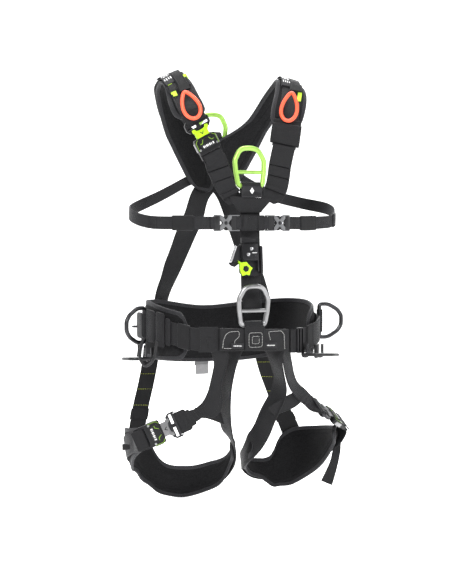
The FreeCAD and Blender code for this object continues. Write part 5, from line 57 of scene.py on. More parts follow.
# ------------------------------------------------------------------ strap paths and hardware frames, in mm
# row: centre x y z, outward normal x y z, width direction x y z, width, thickness
ROWS = {
    'yoke_pad_left': [[26.16, 100.5, 272.02, 0.0495, 0.9919, -0.1173, -0.9779, 0.0242, -0.2078, 41.24, 10], [30.53, 101.53, 282.61, 0.049, 0.9934, -0.1035, -0.989, 0.0338, -0.1438, 49.64, 10], [34.92, 102.25, 292.95, 0.0454, 0.9964, -0.0714, -0.9933, 0.0374, -0.1095, 58.18, 10], [39.04, 102.66, 303.76, 0.0403, 0.9985, -0.0376, -0.9959, 0.0371, -0.0823, 66.3, 10], [42.65, 102.79, 315.65, 0.0346, 0.9993, -0.0136, -0.9982, 0.0339, -0.0497, 73.57, 10], [45.99, 102.76, 328.32, 0.0311, 0.9995, -0.0042, -0.9994, 0.031, -0.015, 80.1, 10], [49.55, 102.68, 340.86, 0.0318, 0.9995, 0.0057, -0.9994, 0.0318, 0.0125, 86.44, 10], [52.52, 102.4, 353.47, 0.0335, 0.9991, 0.0266, -0.9988, 0.0326, 0.0369, 93.85, 10], [55.4, 101.82, 365.9, 0.0329, 0.9987, 0.0392, -0.9982, 0.0308, 0.0512, 100.86, 10], [62.05, 101.19, 376.32, 0.0298, 0.998, 0.0557, -0.9992, 0.0283, 0.0269, 99.99, 10], [72.61, 100.17, 386.23, 0.0347, 0.9939, 0.1046, -0.9993, 0.0362, -0.0129, 90.34, 10], [84.2, 98.25, 396.99, 0.0448, 0.9875, 0.1509, -0.9981, 0.0507, -0.0352, 79.14, 10], [97, 95.66, 408.55, 0.0622, 0.9792, 0.1933, -0.9975, 0.0676, -0.0212, 67.41, 10], [107.05, 92.15, 420.5, 0.0807, 0.9499, 0.3019, -0.9965, 0.0839, 0.0021, 59.51, 10], [113.1, 87.22, 430.8, 0.0474, 0.8867, 0.4599, -0.9977, 0.0646, -0.0218, 59.06, 10], [118.78, 80.61, 441.54, 0.0334, 0.8326, 0.5529, -0.9991, 0.043, -0.0045, 59.41, 10], [123.59, 72.66, 452.1, 0.0333, 0.7658, 0.6422, -0.9994, 0.0231, 0.0243, 60.23, 10], [127.31, 63.23, 461.83, 0.0398, 0.6689, 0.7423, -0.9987, 0.0026, 0.0513, 61.5, 10], [130.38, 51.9, 470.44, 0.067, 0.5522, 0.831, -0.9954, -0.0199, 0.0935, 62.54, 10], [131.96, 39.42, 477.28, 0.1195, 0.4196, 0.8998, -0.9885, -0.0343, 0.1472, 62.71, 10], [131.49, 26.64, 482.07, 0.1831, 0.2883, 0.9399, -0.9789, -0.0352, 0.2015, 61.9, 10], [129.66, 13.78, 485.59, 0.2312, 0.1811, 0.9559, -0.9701, -0.0321, 0.2407, 61.15, 10], [127.11, 0.92, 488.01, 0.2537, 0.0437, 0.9663, -0.9664, -0.0319, 0.2552, 61.17, 10], [124.08, -12.02, 488.22, 0.2544, -0.1639, 0.9531, -0.967, -0.0323, 0.2525, 62.17, 10], [120.69, -24.84, 485.29, 0.2285, -0.3974, 0.8887, -0.9713, -0.0314, 0.2357, 64.11, 10], [116.85, -36.84, 478.98, 0.1732, -0.5936, 0.7859, -0.9806, -0.03, 0.1935, 66.57, 10], [112.47, -47.65, 469.87, 0.1124, -0.703, 0.7023, -0.9911, -0.0288, 0.1298, 69.31, 10], [107.49, -57.54, 459.75, 0.0687, -0.7401, 0.669, -0.997, -0.0278, 0.0716, 72.08, 10], [102.04, -66.66, 449.91, 0.0443, -0.7628, 0.6451, -0.999, -0.0269, 0.0368, 74.26, 10], [96.65, -74.74, 440.16, 0.0354, -0.8072, 0.5892, -0.9994, -0.0266, 0.0236, 75.27, 10], [91.81, -81.49, 430.21, 0.038, -0.8609, 0.5074, -0.9992, -0.0268, 0.0294, 74.74, 10], [87.44, -86.9, 420.21, 0.0476, -0.9071, 0.4182, -0.9982, -0.0274, 0.054, 72.87, 10], [83.32, -91.05, 410.44, 0.0595, -0.9436, 0.3258, -0.9947, -0.0285, 0.0991, 70.09, 10], [79.21, -94, 401.16, 0.0752, -0.9594, 0.2717, -0.9855, -0.0299, 0.1672, 66.91, 10]],
    'yoke_pad_right': [[-16.95, 100.5, 271.23, -0.038, 0.9935, -0.1076, 0.9884, 0.0215, -0.1505, 46.43, 10], [-20.41, 101.55, 282.18, -0.0427, 0.9947, -0.0935, 0.9927, 0.0317, -0.1161, 53.24, 10], [-23.76, 102.29, 293.36, -0.0425, 0.9972, -0.0622, 0.9954, 0.0369, -0.0889, 59.76, 10], [-26.94, 102.7, 305, -0.0394, 0.9987, -0.0314, 0.9976, 0.0375, -0.0589, 66.01, 10], [-29.91, 102.8, 317.3, -0.0347, 0.9993, -0.0102, 0.9992, 0.0345, -0.0208, 72.04, 10], [-32.95, 102.74, 329.88, -0.0323, 0.9995, -0.0021, 0.9993, 0.0323, 0.0172, 77.88, 10], [-36.15, 102.65, 342.3, -0.0342, 0.9994, 0.0103, 0.9983, 0.0337, 0.048, 83.75, 10], [-38.61, 102.29, 354.88, -0.0365, 0.9988, 0.0313, 0.9965, 0.034, 0.0759, 90.91, 10], [-41.77, 101.68, 366.83, -0.0355, 0.9986, 0.0404, 0.9957, 0.0319, 0.0873, 96.43, 10], [-49.4, 101.04, 376.42, -0.0335, 0.9976, 0.0609, 0.9978, 0.03, 0.059, 93.27, 10], [-60.4, 99.87, 386.14, -0.046, 0.993, 0.1085, 0.9985, 0.0424, 0.0357, 83.32, 10], [-71.43, 97.8, 396.72, -0.0578, 0.9877, 0.1453, 0.9983, 0.0557, 0.0185, 71.15, 10], [-82.96, 95.22, 408.78, -0.0908, 0.9764, 0.1959, 0.9954, 0.083, 0.0477, 57.64, 10], [-92.15, 91.09, 420.52, -0.1203, 0.9388, 0.3227, 0.9914, 0.0966, 0.0883, 49.05, 10], [-98.61, 85.52, 431.16, -0.1099, 0.8881, 0.4463, 0.9928, 0.0762, 0.0929, 45.3, 10], [-104.2, 79, 441.62, -0.1038, 0.8392, 0.5338, 0.9926, 0.0532, 0.1094, 43.26, 10], [-109.37, 71.21, 451.56, -0.112, 0.7718, 0.6259, 0.9895, 0.0285, 0.1419, 42.15, 10], [-114.4, 62.13, 460.6, -0.1342, 0.6918, 0.7095, 0.9827, 0.0004, 0.1855, 41.81, 10], [-119.39, 51.98, 468.42, -0.1673, 0.6063, 0.7774, 0.9722, -0.0296, 0.2322, 42.13, 10], [-123.68, 41.05, 475.04, -0.2134, 0.5176, 0.8286, 0.9593, -0.0493, 0.2779, 42.42, 10], [-126.68, 29.6, 480.52, -0.2665, 0.4146, 0.8701, 0.9477, -0.0519, 0.315, 42.52, 10], [-128.31, 17.82, 484.7, -0.2918, 0.2927, 0.9106, 0.9469, -0.0457, 0.3182, 44.02, 10], [-128.8, 5.82, 487.48, -0.2679, 0.1854, 0.9454, 0.9592, -0.0405, 0.2797, 47.96, 10], [-129.35, -6.55, 489.18, -0.2569, 0.1197, 0.959, 0.964, -0.0389, 0.2631, 51.13, 10], [-131.15, -19.38, 490, -0.323, 0.0199, 0.9462, 0.9454, -0.0404, 0.3235, 49.83, 10], [-132.85, -31.56, 488.52, -0.42, -0.2477, 0.8731, 0.9049, -0.0419, 0.4235, 47.82, 10], [-132.44, -41.74, 483.04, -0.4047, -0.5774, 0.7091, 0.8815, -0.04, 0.4706, 49.93, 10], [-130.6, -50.47, 474.4, -0.339, -0.7222, 0.6029, 0.8892, -0.0365, 0.4561, 54.66, 10], [-128.95, -58.97, 464.36, -0.2941, -0.7498, 0.5927, 0.9117, -0.0339, 0.4095, 59.05, 10], [-127.96, -67.69, 453.93, -0.2443, -0.7736, 0.5847, 0.9367, -0.0323, 0.3487, 61.91, 10], [-126.33, -75.96, 442.98, -0.1872, -0.8261, 0.5315, 0.9569, -0.031, 0.2888, 64.41, 10], [-123.33, -83.18, 431.49, -0.1446, -0.8734, 0.4651, 0.9691, -0.0301, 0.2447, 66.43, 10], [-120.15, -89.21, 420.02, -0.1217, -0.9032, 0.4115, 0.975, -0.0311, 0.2201, 64.38, 10], [-118.34, -94, 409.21, -0.1202, -0.9149, 0.3855, 0.9756, -0.037, 0.2164, 54.1, 10]],
    'belt_pad': [[-125.5, -95.52, -15.24, -0.5896, -0.8077, 0, 0, 0, 1, 70.04, 9], [-135.61, -87.14, -12.25, -0.6853, -0.7283, 0, 0, 0, 1, 91.48, 9], [-144.35, -77.77, -11.24, -0.7748, -0.6322, 0, 0, 0, 1, 96.29, 9], [-151.71, -67.4, -10.47, -0.8534, -0.5213, 0, 0, 0, 1, 99.53, 9], [-157.64, -55.98, -9.62, -0.9165, -0.4001, 0, 0, 0, 1, 102.32, 9], [-162.15, -43.42, -8.71, -0.9615, -0.2748, 0, 0, 0, 1, 104.96, 9], [-165.19, -29.43, -7.64, -0.9882, -0.1533, 0, 0, 0, 1, 107.61, 9], [-166.76, -13.08, -6.54, -0.999, -0.0453, 0, 0, 0, 1, 110.28, 9], [-166.86, 10.57, -5.53, -0.9995, 0.0329, 0, 0, 0, 1, 113.08, 9], [-165.48, 27.44, -5.84, -0.9904, 0.138, 0, 0, 0, 1, 114.34, 9], [-162.63, 41.66, -6.52, -0.966, 0.2584, 0, 0, 0, 1, 116, 9], [-158.32, 54.39, -7.44, -0.9235, 0.3836, 0, 0, 0, 1, 117.85, 9], [-152.57, 65.95, -8.49, -0.8627, 0.5058, 0, 0, 0, 1, 119.6, 9], [-145.4, 76.46, -9.63, -0.786, 0.6183, 0, 0, 0, 1, 121.17, 9], [-136.84, 85.96, -10.99, -0.6976, 0.7165, 0, 0, 0, 1, 122.9, 9], [-126.91, 94.47, -12.45, -0.6024, 0.7982, 0, 0, 0, 1, 124.61, 9], [-115.64, 101.97, -14.14, -0.5052, 0.863, 0, 0, 0, 1, 125.52, 9], [-103.03, 108.44, -16, -0.4095, 0.9123, 0, 0, 0, 1, 125.56, 9], [-89.08, 113.88, -17.9, -0.3179, 0.9481, 0, 0, 0, 1, 125.17, 9], [-73.73, 118.25, -20.01, -0.2321, 0.9727, 0, 0, 0, 1, 124.21, 9], [-56.83, 121.55, -22.28, -0.1531, 0.9882, 0, 0, 0, 1, 122.63, 9], [-37.99, 123.76, -24.11, -0.0822, 0.9966, 0, 0, 0, 1, 121.01, 9], [-15.82, 124.86, -25.63, -0.0219, 0.9998, 0, 0, 0, 1, 119.4, 9], [15.82, 124.86, -25.54, 0.0219, 0.9998, 0, 0, 0, 1, 119.91, 9], [37.99, 123.76, -24.63, 0.0822, 0.9966, 0, 0, 0, 1, 121.54, 9], [56.83, 121.55, -23.49, 0.1531, 0.9882, 0, 0, 0, 1, 123.48, 9], [73.73, 118.25, -22.46, 0.2321, 0.9727, 0, 0, 0, 1, 124.9, 9], [89.08, 113.88, -20.91, 0.3179, 0.9481, 0, 0, 0, 1, 125.02, 9], [103.03, 108.44, -19.15, 0.4095, 0.9123, 0, 0, 0, 1, 124.5, 9], [115.64, 101.97, -17.31, 0.5052, 0.863, 0, 0, 0, 1, 123.56, 9], [126.91, 94.47, -15.43, 0.6024, 0.7982, 0, 0, 0, 1, 122.2, 9], [136.84, 85.96, -13.37, 0.6976, 0.7165, 0, 0, 0, 1, 120.28, 9], [145.4, 76.46, -11.34, 0.786, 0.6183, 0, 0, 0, 1, 118.31, 9], [152.57, 65.95, -9.79, 0.8627, 0.5058, 0, 0, 0, 1, 116.85, 9], [158.32, 54.39, -8.56, 0.9235, 0.3836, 0, 0, 0, 1, 115.28, 9], [162.63, 41.66, -7.53, 0.966, 0.2584, 0, 0, 0, 1, 113.73, 9], [165.48, 27.44, -6.74, 0.9904, 0.138, 0, 0, 0, 1, 112.44, 9], [166.86, 10.57, -6.43, 0.9995, 0.0329, 0, 0, 0, 1, 111.28, 9], [166.76, -13.08, -6.91, 0.999, -0.0453, 0, 0, 0, 1, 109.54, 9], [165.19, -29.43, -8.03, 0.9882, -0.1533, 0, 0, 0, 1, 106.83, 9], [162.15, -43.42, -9.11, 0.9615, -0.2748, 0, 0, 0, 1, 104.16, 9], [157.64, -55.98, -9.94, 0.9165, -0.4001, 0, 0, 0, 1, 101.71, 9], [151.71, -67.4, -11.27, 0.8534, -0.5213, 0, 0, 0, 1, 98.05, 9], [144.35, -77.77, -13.02, 0.7748, -0.6322, 0, 0, 0, 1, 92.96, 9], [135.61, -87.14, -15.2, 0.6853, -0.7283, 0, 0, 0, 1, 85.96, 9], [125.5, -95.52, -17.06, 0.5896, -0.8077, 0, 0, 0, 1, 66.31, 9]],
    'belt_webbing': [[-56.62, -133.45, -17.52, -0.14, -0.9902, 0, 0, 0, 1, 44, 2.6], [-76.48, -129.79, -16.81, -0.2255, -0.9743, 0, 0, 0, 1, 44, 2.6], [-94.37, -124.75, -16.75, -0.319, -0.9478, 0, 0, 0, 1, 44, 2.6], [-110.51, -118.36, -16.71, -0.4191, -0.908, 0, 0, 0, 1, 44, 2.6], [-124.97, -110.64, -15.26, -0.5233, -0.8521, 0, 0, 0, 1, 44, 2.6], [-137.77, -101.62, -11.68, -0.6283, -0.778, 0, 0, 0, 1, 44, 2.6], [-148.89, -91.32, -8.39, -0.729, -0.6845, 0, 0, 0, 1, 44, 2.6], [-158.3, -79.75, -5.23, -0.8196, -0.5729, 0, 0, 0, 1, 44, 2.6], [-165.95, -66.88, -2.55, -0.8944, -0.4473, 0, 0, 0, 1, 44, 2.6], [-171.83, -52.63, -0.09, -0.9492, -0.3145, 0, 0, 0, 1, 44, 2.6], [-175.89, -36.73, 2.08, -0.983, -0.1833, 0, 0, 0, 1, 44, 2.6], [-178.13, -18.32, 3.44, -0.9979, -0.0643, 0, 0, 0, 1, 44, 2.6], [-178.53, 8.77, 3.84, -0.9998, 0.0213, 0, 0, 0, 1, 44, 2.6], [-177.08, 29.2, 4, -0.9915, 0.1298, 0, 0, 0, 1, 44, 2.6], [-173.8, 46.01, 3.84, -0.9663, 0.2573, 0, 0, 0, 1, 44, 2.6], [-168.7, 60.92, 3.38, -0.9206, 0.3905, 0, 0, 0, 1, 44, 2.6], [-161.81, 74.37, 2.67, -0.8541, 0.5202, 0, 0, 0, 1, 44, 2.6], [-153.16, 86.49, 1.8, -0.7697, 0.6385, 0, 0, 0, 1, 44, 2.6], [-142.77, 97.34, 0.82, -0.6726, 0.7401, 0, 0, 0, 1, 44, 2.6], [-130.69, 106.91, -0.2, -0.5687, 0.8225, 0, 0, 0, 1, 44, 2.6], [-116.95, 115.19, -1.18, -0.4637, 0.886, 0, 0, 0, 1, 44, 2.6], [-101.53, 122.16, -2.06, -0.3614, 0.9324, 0, 0, 0, 1, 44, 2.6], [-84.41, 127.79, -3.06, -0.2649, 0.9643, 0, 0, 0, 1, 44, 2.6], [-65.45, 132.05, -4.21, -0.1757, 0.9844, 0, 0, 0, 1, 44, 2.6], [-44.22, 134.92, -5.24, -0.0955, 0.9954, 0, 0, 0, 1, 44, 2.6], [-19.29, 136.39, -5.89, -0.0272, 0.9996, 0, 0, 0, 1, 44, 2.6], [16.67, 136.45, -5.92, 0.0218, 0.9998, 0, 0, 0, 1, 44, 2.6], [42.14, 135.11, -5.31, 0.0888, 0.9961, 0, 0, 0, 1, 44, 2.6], [63.62, 132.36, -4.31, 0.168, 0.9858, 0, 0, 0, 1, 44, 2.6], [82.77, 128.23, -3.16, 0.2564, 0.9666, 0, 0, 0, 1, 44, 2.6], [100.05, 122.73, -2.14, 0.3524, 0.9359, 0, 0, 0, 1, 44, 2.6], [115.61, 115.88, -1.26, 0.4542, 0.8909, 0, 0, 0, 1, 44, 2.6], [129.51, 107.72, -0.29, 0.5592, 0.8291, 0, 0, 0, 1, 44, 2.6], [141.74, 98.26, 0.73, 0.6633, 0.7484, 0, 0, 0, 1, 44, 2.6], [152.28, 87.53, 1.71, 0.7613, 0.6485, 0, 0, 0, 1, 44, 2.6], [161.1, 75.52, 2.6, 0.8471, 0.5315, 0, 0, 0, 1, 44, 2.6], [168.15, 62.2, 3.32, 0.9154, 0.4026, 0, 0, 0, 1, 44, 2.6], [173.41, 47.43, 3.81, 0.9631, 0.2693, 0, 0, 0, 1, 44, 2.6], [176.86, 30.84, 4, 0.99, 0.1409, 0, 0, 0, 1, 44, 2.6], [178.47, 10.95, 3.23, 0.9996, 0.0297, 0, 0, 0, 1, 44, 2.6], [178.24, -16.44, 1.68, 0.9985, -0.0547, 0, 0, 0, 1, 44, 2.6], [176.17, -35.18, -0.55, 0.9851, -0.1718, 0, 0, 0, 1, 44, 2.6], [172.27, -51.26, -3.45, 0.9532, -0.3024, 0, 0, 0, 1, 44, 2.6], [166.56, -65.65, -6.59, 0.9002, -0.4354, 0, 0, 0, 1, 44, 2.6], [159.07, -78.63, -9.69, 0.8272, -0.562, 0, 0, 0, 1, 44, 2.6], [149.82, -90.32, -13.03, 0.7378, -0.6751, 0, 0, 0, 1, 44, 2.6], [138.86, -100.74, -16.29, 0.6377, -0.7703, 0, 0, 0, 1, 44, 2.6], [126.21, -109.87, -19.26, 0.5329, -0.8462, 0, 0, 0, 1, 44, 2.6], [111.89, -117.71, -21.83, 0.4284, -0.9036, 0, 0, 0, 1, 44, 2.6], [95.91, -124.23, -23.93, 0.3279, -0.9447, 0, 0, 0, 1, 44, 2.6], [78.19, -129.39, -24.97, 0.2337, -0.9723, 0, 0, 0, 1, 44, 2.6], [58.52, -133.18, -20.52, 0.1474, -0.9891, 0, 0, 0, 1, 44, 2.6]],
    'belt_front_panel': [[-76.17, -136, -16.44, 0.0344, -0.9994, 0, -0.0002, 0, -1, 44.44, 5], [-64.09, -135.58, -17, -0.0032, -1, 0, 0, 0, -1, 44.22, 5], [-52.03, -136.08, -17.5, -0.055, -0.9985, 0, 0.0002, 0, -1, 43.96, 5], [-39.98, -136.91, -17.97, -0.0599, -0.9982, 0, 0.0004, 0, -1, 43.72, 5], [-27.93, -137.52, -18.44, -0.0277, -0.9996, 0, 0.0007, 0, -1, 43.52, 5], [-15.86, -137.58, -18.92, 0.0009, -1, 0, 0.0009, 0, -1, 43.38, 5], [-3.79, -137.5, -19.41, -0.0006, -1, 0, 0.0011, 0, -1, 43.25, 5], [8.29, -137.6, -19.89, 0.0008, -1, 0, 0.0013, 0, -1, 43.11, 5], [20.36, -137.48, -20.36, 0.0302, -0.9995, 0, 0.0016, 0, -1, 43.02, 5], [32.41, -136.87, -20.81, 0.0577, -0.9983, 0.0001, 0.0018, 0, -1, 43.06, 5], [44.46, -136.09, -21.24, 0.0508, -0.9987, 0.0001, 0.002, 0, -1, 43.18, 5], [56.53, -135.64, -21.64, 0.0037, -1, 0, 0.0022, 0, -1, 43.29, 5], [68.61, -136, -22.02, -0.0299, -0.9996, -0.0001, 0.0024, 0, -1, 43.32, 5]],
    'shoulder_webbing_left': [[72.84, 106.93, 386.94, 0.0347, 0.9939, 0.1046, -0.9993, 0.0362, -0.0129, 44, 2.6], [81.99, 105.4, 395.79, 0.043, 0.9886, 0.1441, -0.9983, 0.0481, -0.0334, 44, 2.6], [91.49, 103.63, 404.2, 0.0515, 0.9842, 0.1696, -0.9978, 0.0583, -0.0327, 44, 2.6], [100.48, 101.52, 413.13, 0.0704, 0.9747, 0.2122, -0.9972, 0.074, -0.0118, 44, 2.6], [107.92, 98.41, 423.08, 0.0799, 0.9477, 0.3089, -0.9965, 0.0837, 0.0016, 44, 2.6], [113.27, 93.42, 433.61, 0.0483, 0.8886, 0.4562, -0.9976, 0.0653, -0.0215, 44, 2.6], [118.25, 87.32, 443.73, 0.0339, 0.8397, 0.542, -0.9989, 0.0458, -0.0088, 44, 2.6], [122.63, 80.28, 453.51, 0.0329, 0.7868, 0.6163, -0.9994, 0.0285, 0.0171, 44, 2.6], [126.13, 72.12, 462.75, 0.0356, 0.7115, 0.7018, -0.9992, 0.0112, 0.0394, 44, 2.6], [129.07, 62.79, 471.03, 0.0483, 0.6208, 0.7825, -0.9977, -0.0073, 0.0673, 44, 2.6], [131.49, 52.38, 478.13, 0.078, 0.5203, 0.8504, -0.994, -0.0248, 0.1063, 44, 2.6], [132.85, 41.03, 483.94, 0.1252, 0.4071, 0.9048, -0.9877, -0.0349, 0.1524, 44, 2.6], [132.76, 28.99, 488.34, 0.1814, 0.2916, 0.9392, -0.9791, -0.0353, 0.2001, 44, 2.6], [131.47, 16.69, 491.7, 0.2266, 0.1946, 0.9543, -0.9709, -0.0324, 0.2372, 44, 2.6], [129.42, 4.28, 494.18, 0.2507, 0.0795, 0.9648, -0.9667, -0.0318, 0.2538, 44, 2.6], [126.89, -8.26, 495, 0.2568, -0.088, 0.9625, -0.9664, -0.0323, 0.2548, 44, 2.6], [124.04, -20.66, 493.42, 0.2449, -0.2858, 0.9265, -0.9687, -0.032, 0.2463, 44, 2.6], [120.85, -32.37, 489.27, 0.2118, -0.4735, 0.8549, -0.9741, -0.0309, 0.2242, 44, 2.6], [117.28, -42.9, 482.87, 0.1628, -0.6179, 0.7692, -0.9825, -0.0298, 0.184, 44, 2.6], [113.36, -52.16, 474.91, 0.1138, -0.7013, 0.7038, -0.9909, -0.0288, 0.1315, 44, 2.6], [109.04, -60.64, 466.33, 0.0759, -0.7357, 0.673, -0.9963, -0.0281, 0.0815, 44, 2.6], [104.25, -68.79, 457.67, 0.0497, -0.7536, 0.6555, -0.9986, -0.0264, 0.0461, 44, 2.6], [99.31, -76.59, 448.79, 0.0412, -0.7845, 0.6188, -0.9992, -0.0296, 0.0266, 44, 2.6], [94.48, -83.7, 439.23, 0.0191, -0.8337, 0.5519, -0.9996, -0.0127, 0.0264, 44, 2.6], [89.89, -89.87, 428.76, -0.0431, -0.8888, 0.4563, -0.9979, 0.044, 0.0467, 44, 2.6], [85.64, -95.04, 417.53, -0.1326, -0.932, 0.3375, -0.9886, 0.1272, 0.0808, 44, 2.6], [81.8, -99.16, 405.7, -0.2283, -0.9498, 0.2137, -0.9682, 0.219, 0.1209, 44, 2.6], [78.48, -102.19, 393.42, -0.3086, -0.9446, 0.1118, -0.9404, 0.3008, 0.1585, 44, 2.6], [75.77, -104.08, 380.86, -0.3588, -0.9318, 0.0552, -0.9154, 0.3567, 0.1867, 44, 2.6], [73.74, -104.78, 368.17, -0.3705, -0.9269, 0.0602, -0.9049, 0.3754, 0.2007, 44, 2.6], [71.54, -104.91, 355.55, -0.3637, -0.927, 0.0913, -0.9038, 0.3748, 0.2065, 44, 2.6], [68.55, -105.1, 343.09, -0.3639, -0.9257, 0.103, -0.9011, 0.3779, 0.2128, 44, 2.6], [65.48, -105.3, 330.65, -0.3653, -0.9255, 0.1005, -0.8995, 0.3787, 0.2179, 44, 2.6], [62.86, -105.55, 318.1, -0.3651, -0.927, 0.0855, -0.9001, 0.3749, 0.2219, 44, 2.6], [60.91, -105.84, 305.44, -0.3631, -0.9287, 0.0755, -0.8999, 0.3706, 0.2297, 44, 2.6], [58.99, -106.12, 292.77, -0.374, -0.9232, 0.0883, -0.8868, 0.3838, 0.2573, 44, 2.6], [56.17, -106.35, 280.27, -0.376, -0.9171, 0.1322, -0.8644, 0.3986, 0.3064, 44, 2.6], [51.22, -106.52, 268.45, -0.3026, -0.9336, 0.1921, -0.8613, 0.3542, 0.3643, 44, 2.6], [43, -106.57, 258.65, -0.1154, -0.9833, 0.1407, -0.8973, 0.1639, 0.4099, 44, 2.6], [31.82, -106.5, 252.42, 0.1191, -0.9652, -0.233, -0.9002, -0.204, 0.3849, 44, 2.6]],
    'shoulder_webbing_right': [[-60.71, 106.62, 386.87, -0.046, 0.993, 0.1085, 0.9985, 0.0424, 0.0357, 44, 2.6], [-68.81, 105.05, 394.76, -0.0526, 0.989, 0.1385, 0.9986, 0.0503, 0.0182, 44, 2.6], [-76.82, 103.56, 402.74, -0.0694, 0.9849, 0.1586, 0.9975, 0.0666, 0.0257, 44, 2.6], [-84.38, 101.6, 411.06, -0.0939, 0.9746, 0.2031, 0.9951, 0.085, 0.0513, 44, 2.6], [-91.07, 98.68, 419.84, -0.117, 0.9498, 0.29, 0.9919, 0.0968, 0.082, 44, 2.6], [-96.57, 94.47, 428.9, -0.1171, 0.9122, 0.3927, 0.9918, 0.088, 0.0924, 44, 2.6], [-101.27, 89.36, 437.96, -0.1061, 0.8719, 0.4781, 0.9931, 0.0681, 0.096, 44, 2.6], [-105.67, 83.63, 446.79, -0.1041, 0.8311, 0.5463, 0.9923, 0.0499, 0.1133, 44, 2.6], [-109.79, 77.04, 455.15, -0.111, 0.7768, 0.6199, 0.9898, 0.0302, 0.1394, 44, 2.6], [-113.85, 69.66, 462.85, -0.1268, 0.715, 0.6876, 0.985, 0.0087, 0.1726, 44, 2.6], [-117.96, 61.56, 469.76, -0.1494, 0.6492, 0.7458, 0.9778, -0.015, 0.2089, 44, 2.6], [-121.97, 52.8, 475.87, -0.1793, 0.5809, 0.7939, 0.9686, -0.0369, 0.2458, 44, 2.6], [-125.52, 43.41, 481.29, -0.2186, 0.5084, 0.8329, 0.9581, -0.0503, 0.2822, 44, 2.6], [-128.28, 33.4, 486.03, -0.2628, 0.4236, 0.8669, 0.9483, -0.0521, 0.313, 44, 2.6], [-130.02, 22.83, 489.96, -0.2904, 0.322, 0.9011, 0.9457, -0.0473, 0.3217, 44, 2.6], [-130.59, 11.83, 492.95, -0.2797, 0.221, 0.9343, 0.9543, -0.0421, 0.2957, 44, 2.6], [-130.72, 0.6, 494.95, -0.2558, 0.149, 0.9552, 0.9637, -0.0393, 0.2642, 44, 2.6], [-131.74, -10.7, 496.14, -0.2716, 0.0941, 0.9578, 0.9603, -0.0392, 0.2763, 44, 2.6], [-133.9, -21.92, 496.35, -0.3437, -0.0164, 0.9389, 0.9386, -0.0408, 0.3425, 44, 2.6], [-135.67, -33.02, 494.51, -0.4188, -0.2434, 0.8749, 0.9057, -0.0418, 0.4219, 44, 2.6], [-135.52, -43.3, 489.55, -0.4171, -0.5189, 0.7462, 0.8836, -0.0406, 0.4665, 44, 2.6], [-133.83, -51.91, 482.25, -0.3628, -0.6876, 0.6289, 0.8834, -0.0379, 0.4671, 44, 2.6], [-131.91, -59.42, 473.87, -0.3163, -0.7416, 0.5915, 0.8986, -0.0352, 0.4373, 44, 2.6], [-130.5, -66.74, 465.24, -0.2804, -0.7546, 0.5932, 0.9196, -0.0333, 0.3916, 44, 2.6], [-129.48, -74.09, 456.56, -0.2374, -0.7785, 0.581, 0.9393, -0.0322, 0.3415, 44, 2.6], [-128.49, -81.3, 447.8, -0.191, -0.8138, 0.5489, 0.9541, -0.032, 0.2978, 44, 2.6], [-127.17, -88.5, 438.92, -0.1453, -0.8717, 0.4679, 0.9568, -0.0332, 0.2889, 44, 2.6], [-125.18, -95.98, 429.84, -0.0991, -0.9593, 0.2646, 0.9311, -0.0373, 0.3628, 44, 2.6], [-121.99, -101.41, 420.41, -0.0618, -0.9965, 0.0558, 0.893, -0.0411, 0.4482, 44, 2.6], [-117.01, -102.12, 410.44, -0.055, -0.9984, 0.0147, 0.8839, -0.0418, 0.4657, 44, 2.6]],
    'front_webbing_right': [[-78.37, -105.34, 336.82, -0.055, -0.9984, 0.0147, 0.8839, -0.0418, 0.4657, 44, 2.6], [-74.7, -105.09, 329.81, -0.0634, -0.9979, 0.0124, 0.8852, -0.0506, 0.4625, 44, 2.6], [-71.61, -104.55, 322.53, -0.2303, -0.9725, -0.0351, 0.895, -0.2268, 0.384, 44, 2.6], [-68.73, -104.58, 315.16, -0.2653, -0.9628, -0.0514, 0.9014, -0.2665, 0.3412, 44, 2.6], [-65.68, -105.03, 307.86, -0.184, -0.982, -0.0417, 0.9196, -0.187, 0.3454, 44, 2.6], [-62.48, -105.25, 300.71, -0.1457, -0.9883, -0.0442, 0.9292, -0.152, 0.3369, 44, 2.6], [-60.06, -105.41, 293.68, -0.1136, -0.9928, -0.0388, 0.9344, -0.1201, 0.3355, 42.03, 2.6], [-57.63, -105.54, 286.69, -0.0799, -0.9965, -0.0225, 0.9356, -0.0828, 0.3432, 39.84, 2.6], [-54.74, -105.69, 279.72, -0.0329, -0.9995, 0.0028, 0.9321, -0.0296, 0.3611, 39, 2.6], [-50.7, -105.84, 272.83, 0.0226, -0.9992, 0.0331, 0.924, 0.0335, 0.3809, 39, 2.6], [-45.93, -105.96, 266.12, 0.079, -0.9945, 0.0687, 0.9135, 0.0999, 0.3943, 39, 2.6], [-40.74, -106.04, 259.71, 0.1287, -0.9855, 0.1102, 0.9047, 0.1622, 0.3939, 39, 2.6], [-35.05, -106.06, 253.72, 0.1661, -0.9736, 0.1566, 0.9029, 0.214, 0.3728, 39, 2.6], [-29.02, -106, 248.32, 0.1931, -0.9615, 0.1956, 0.9124, 0.2493, 0.3246, 39, 2.6]],
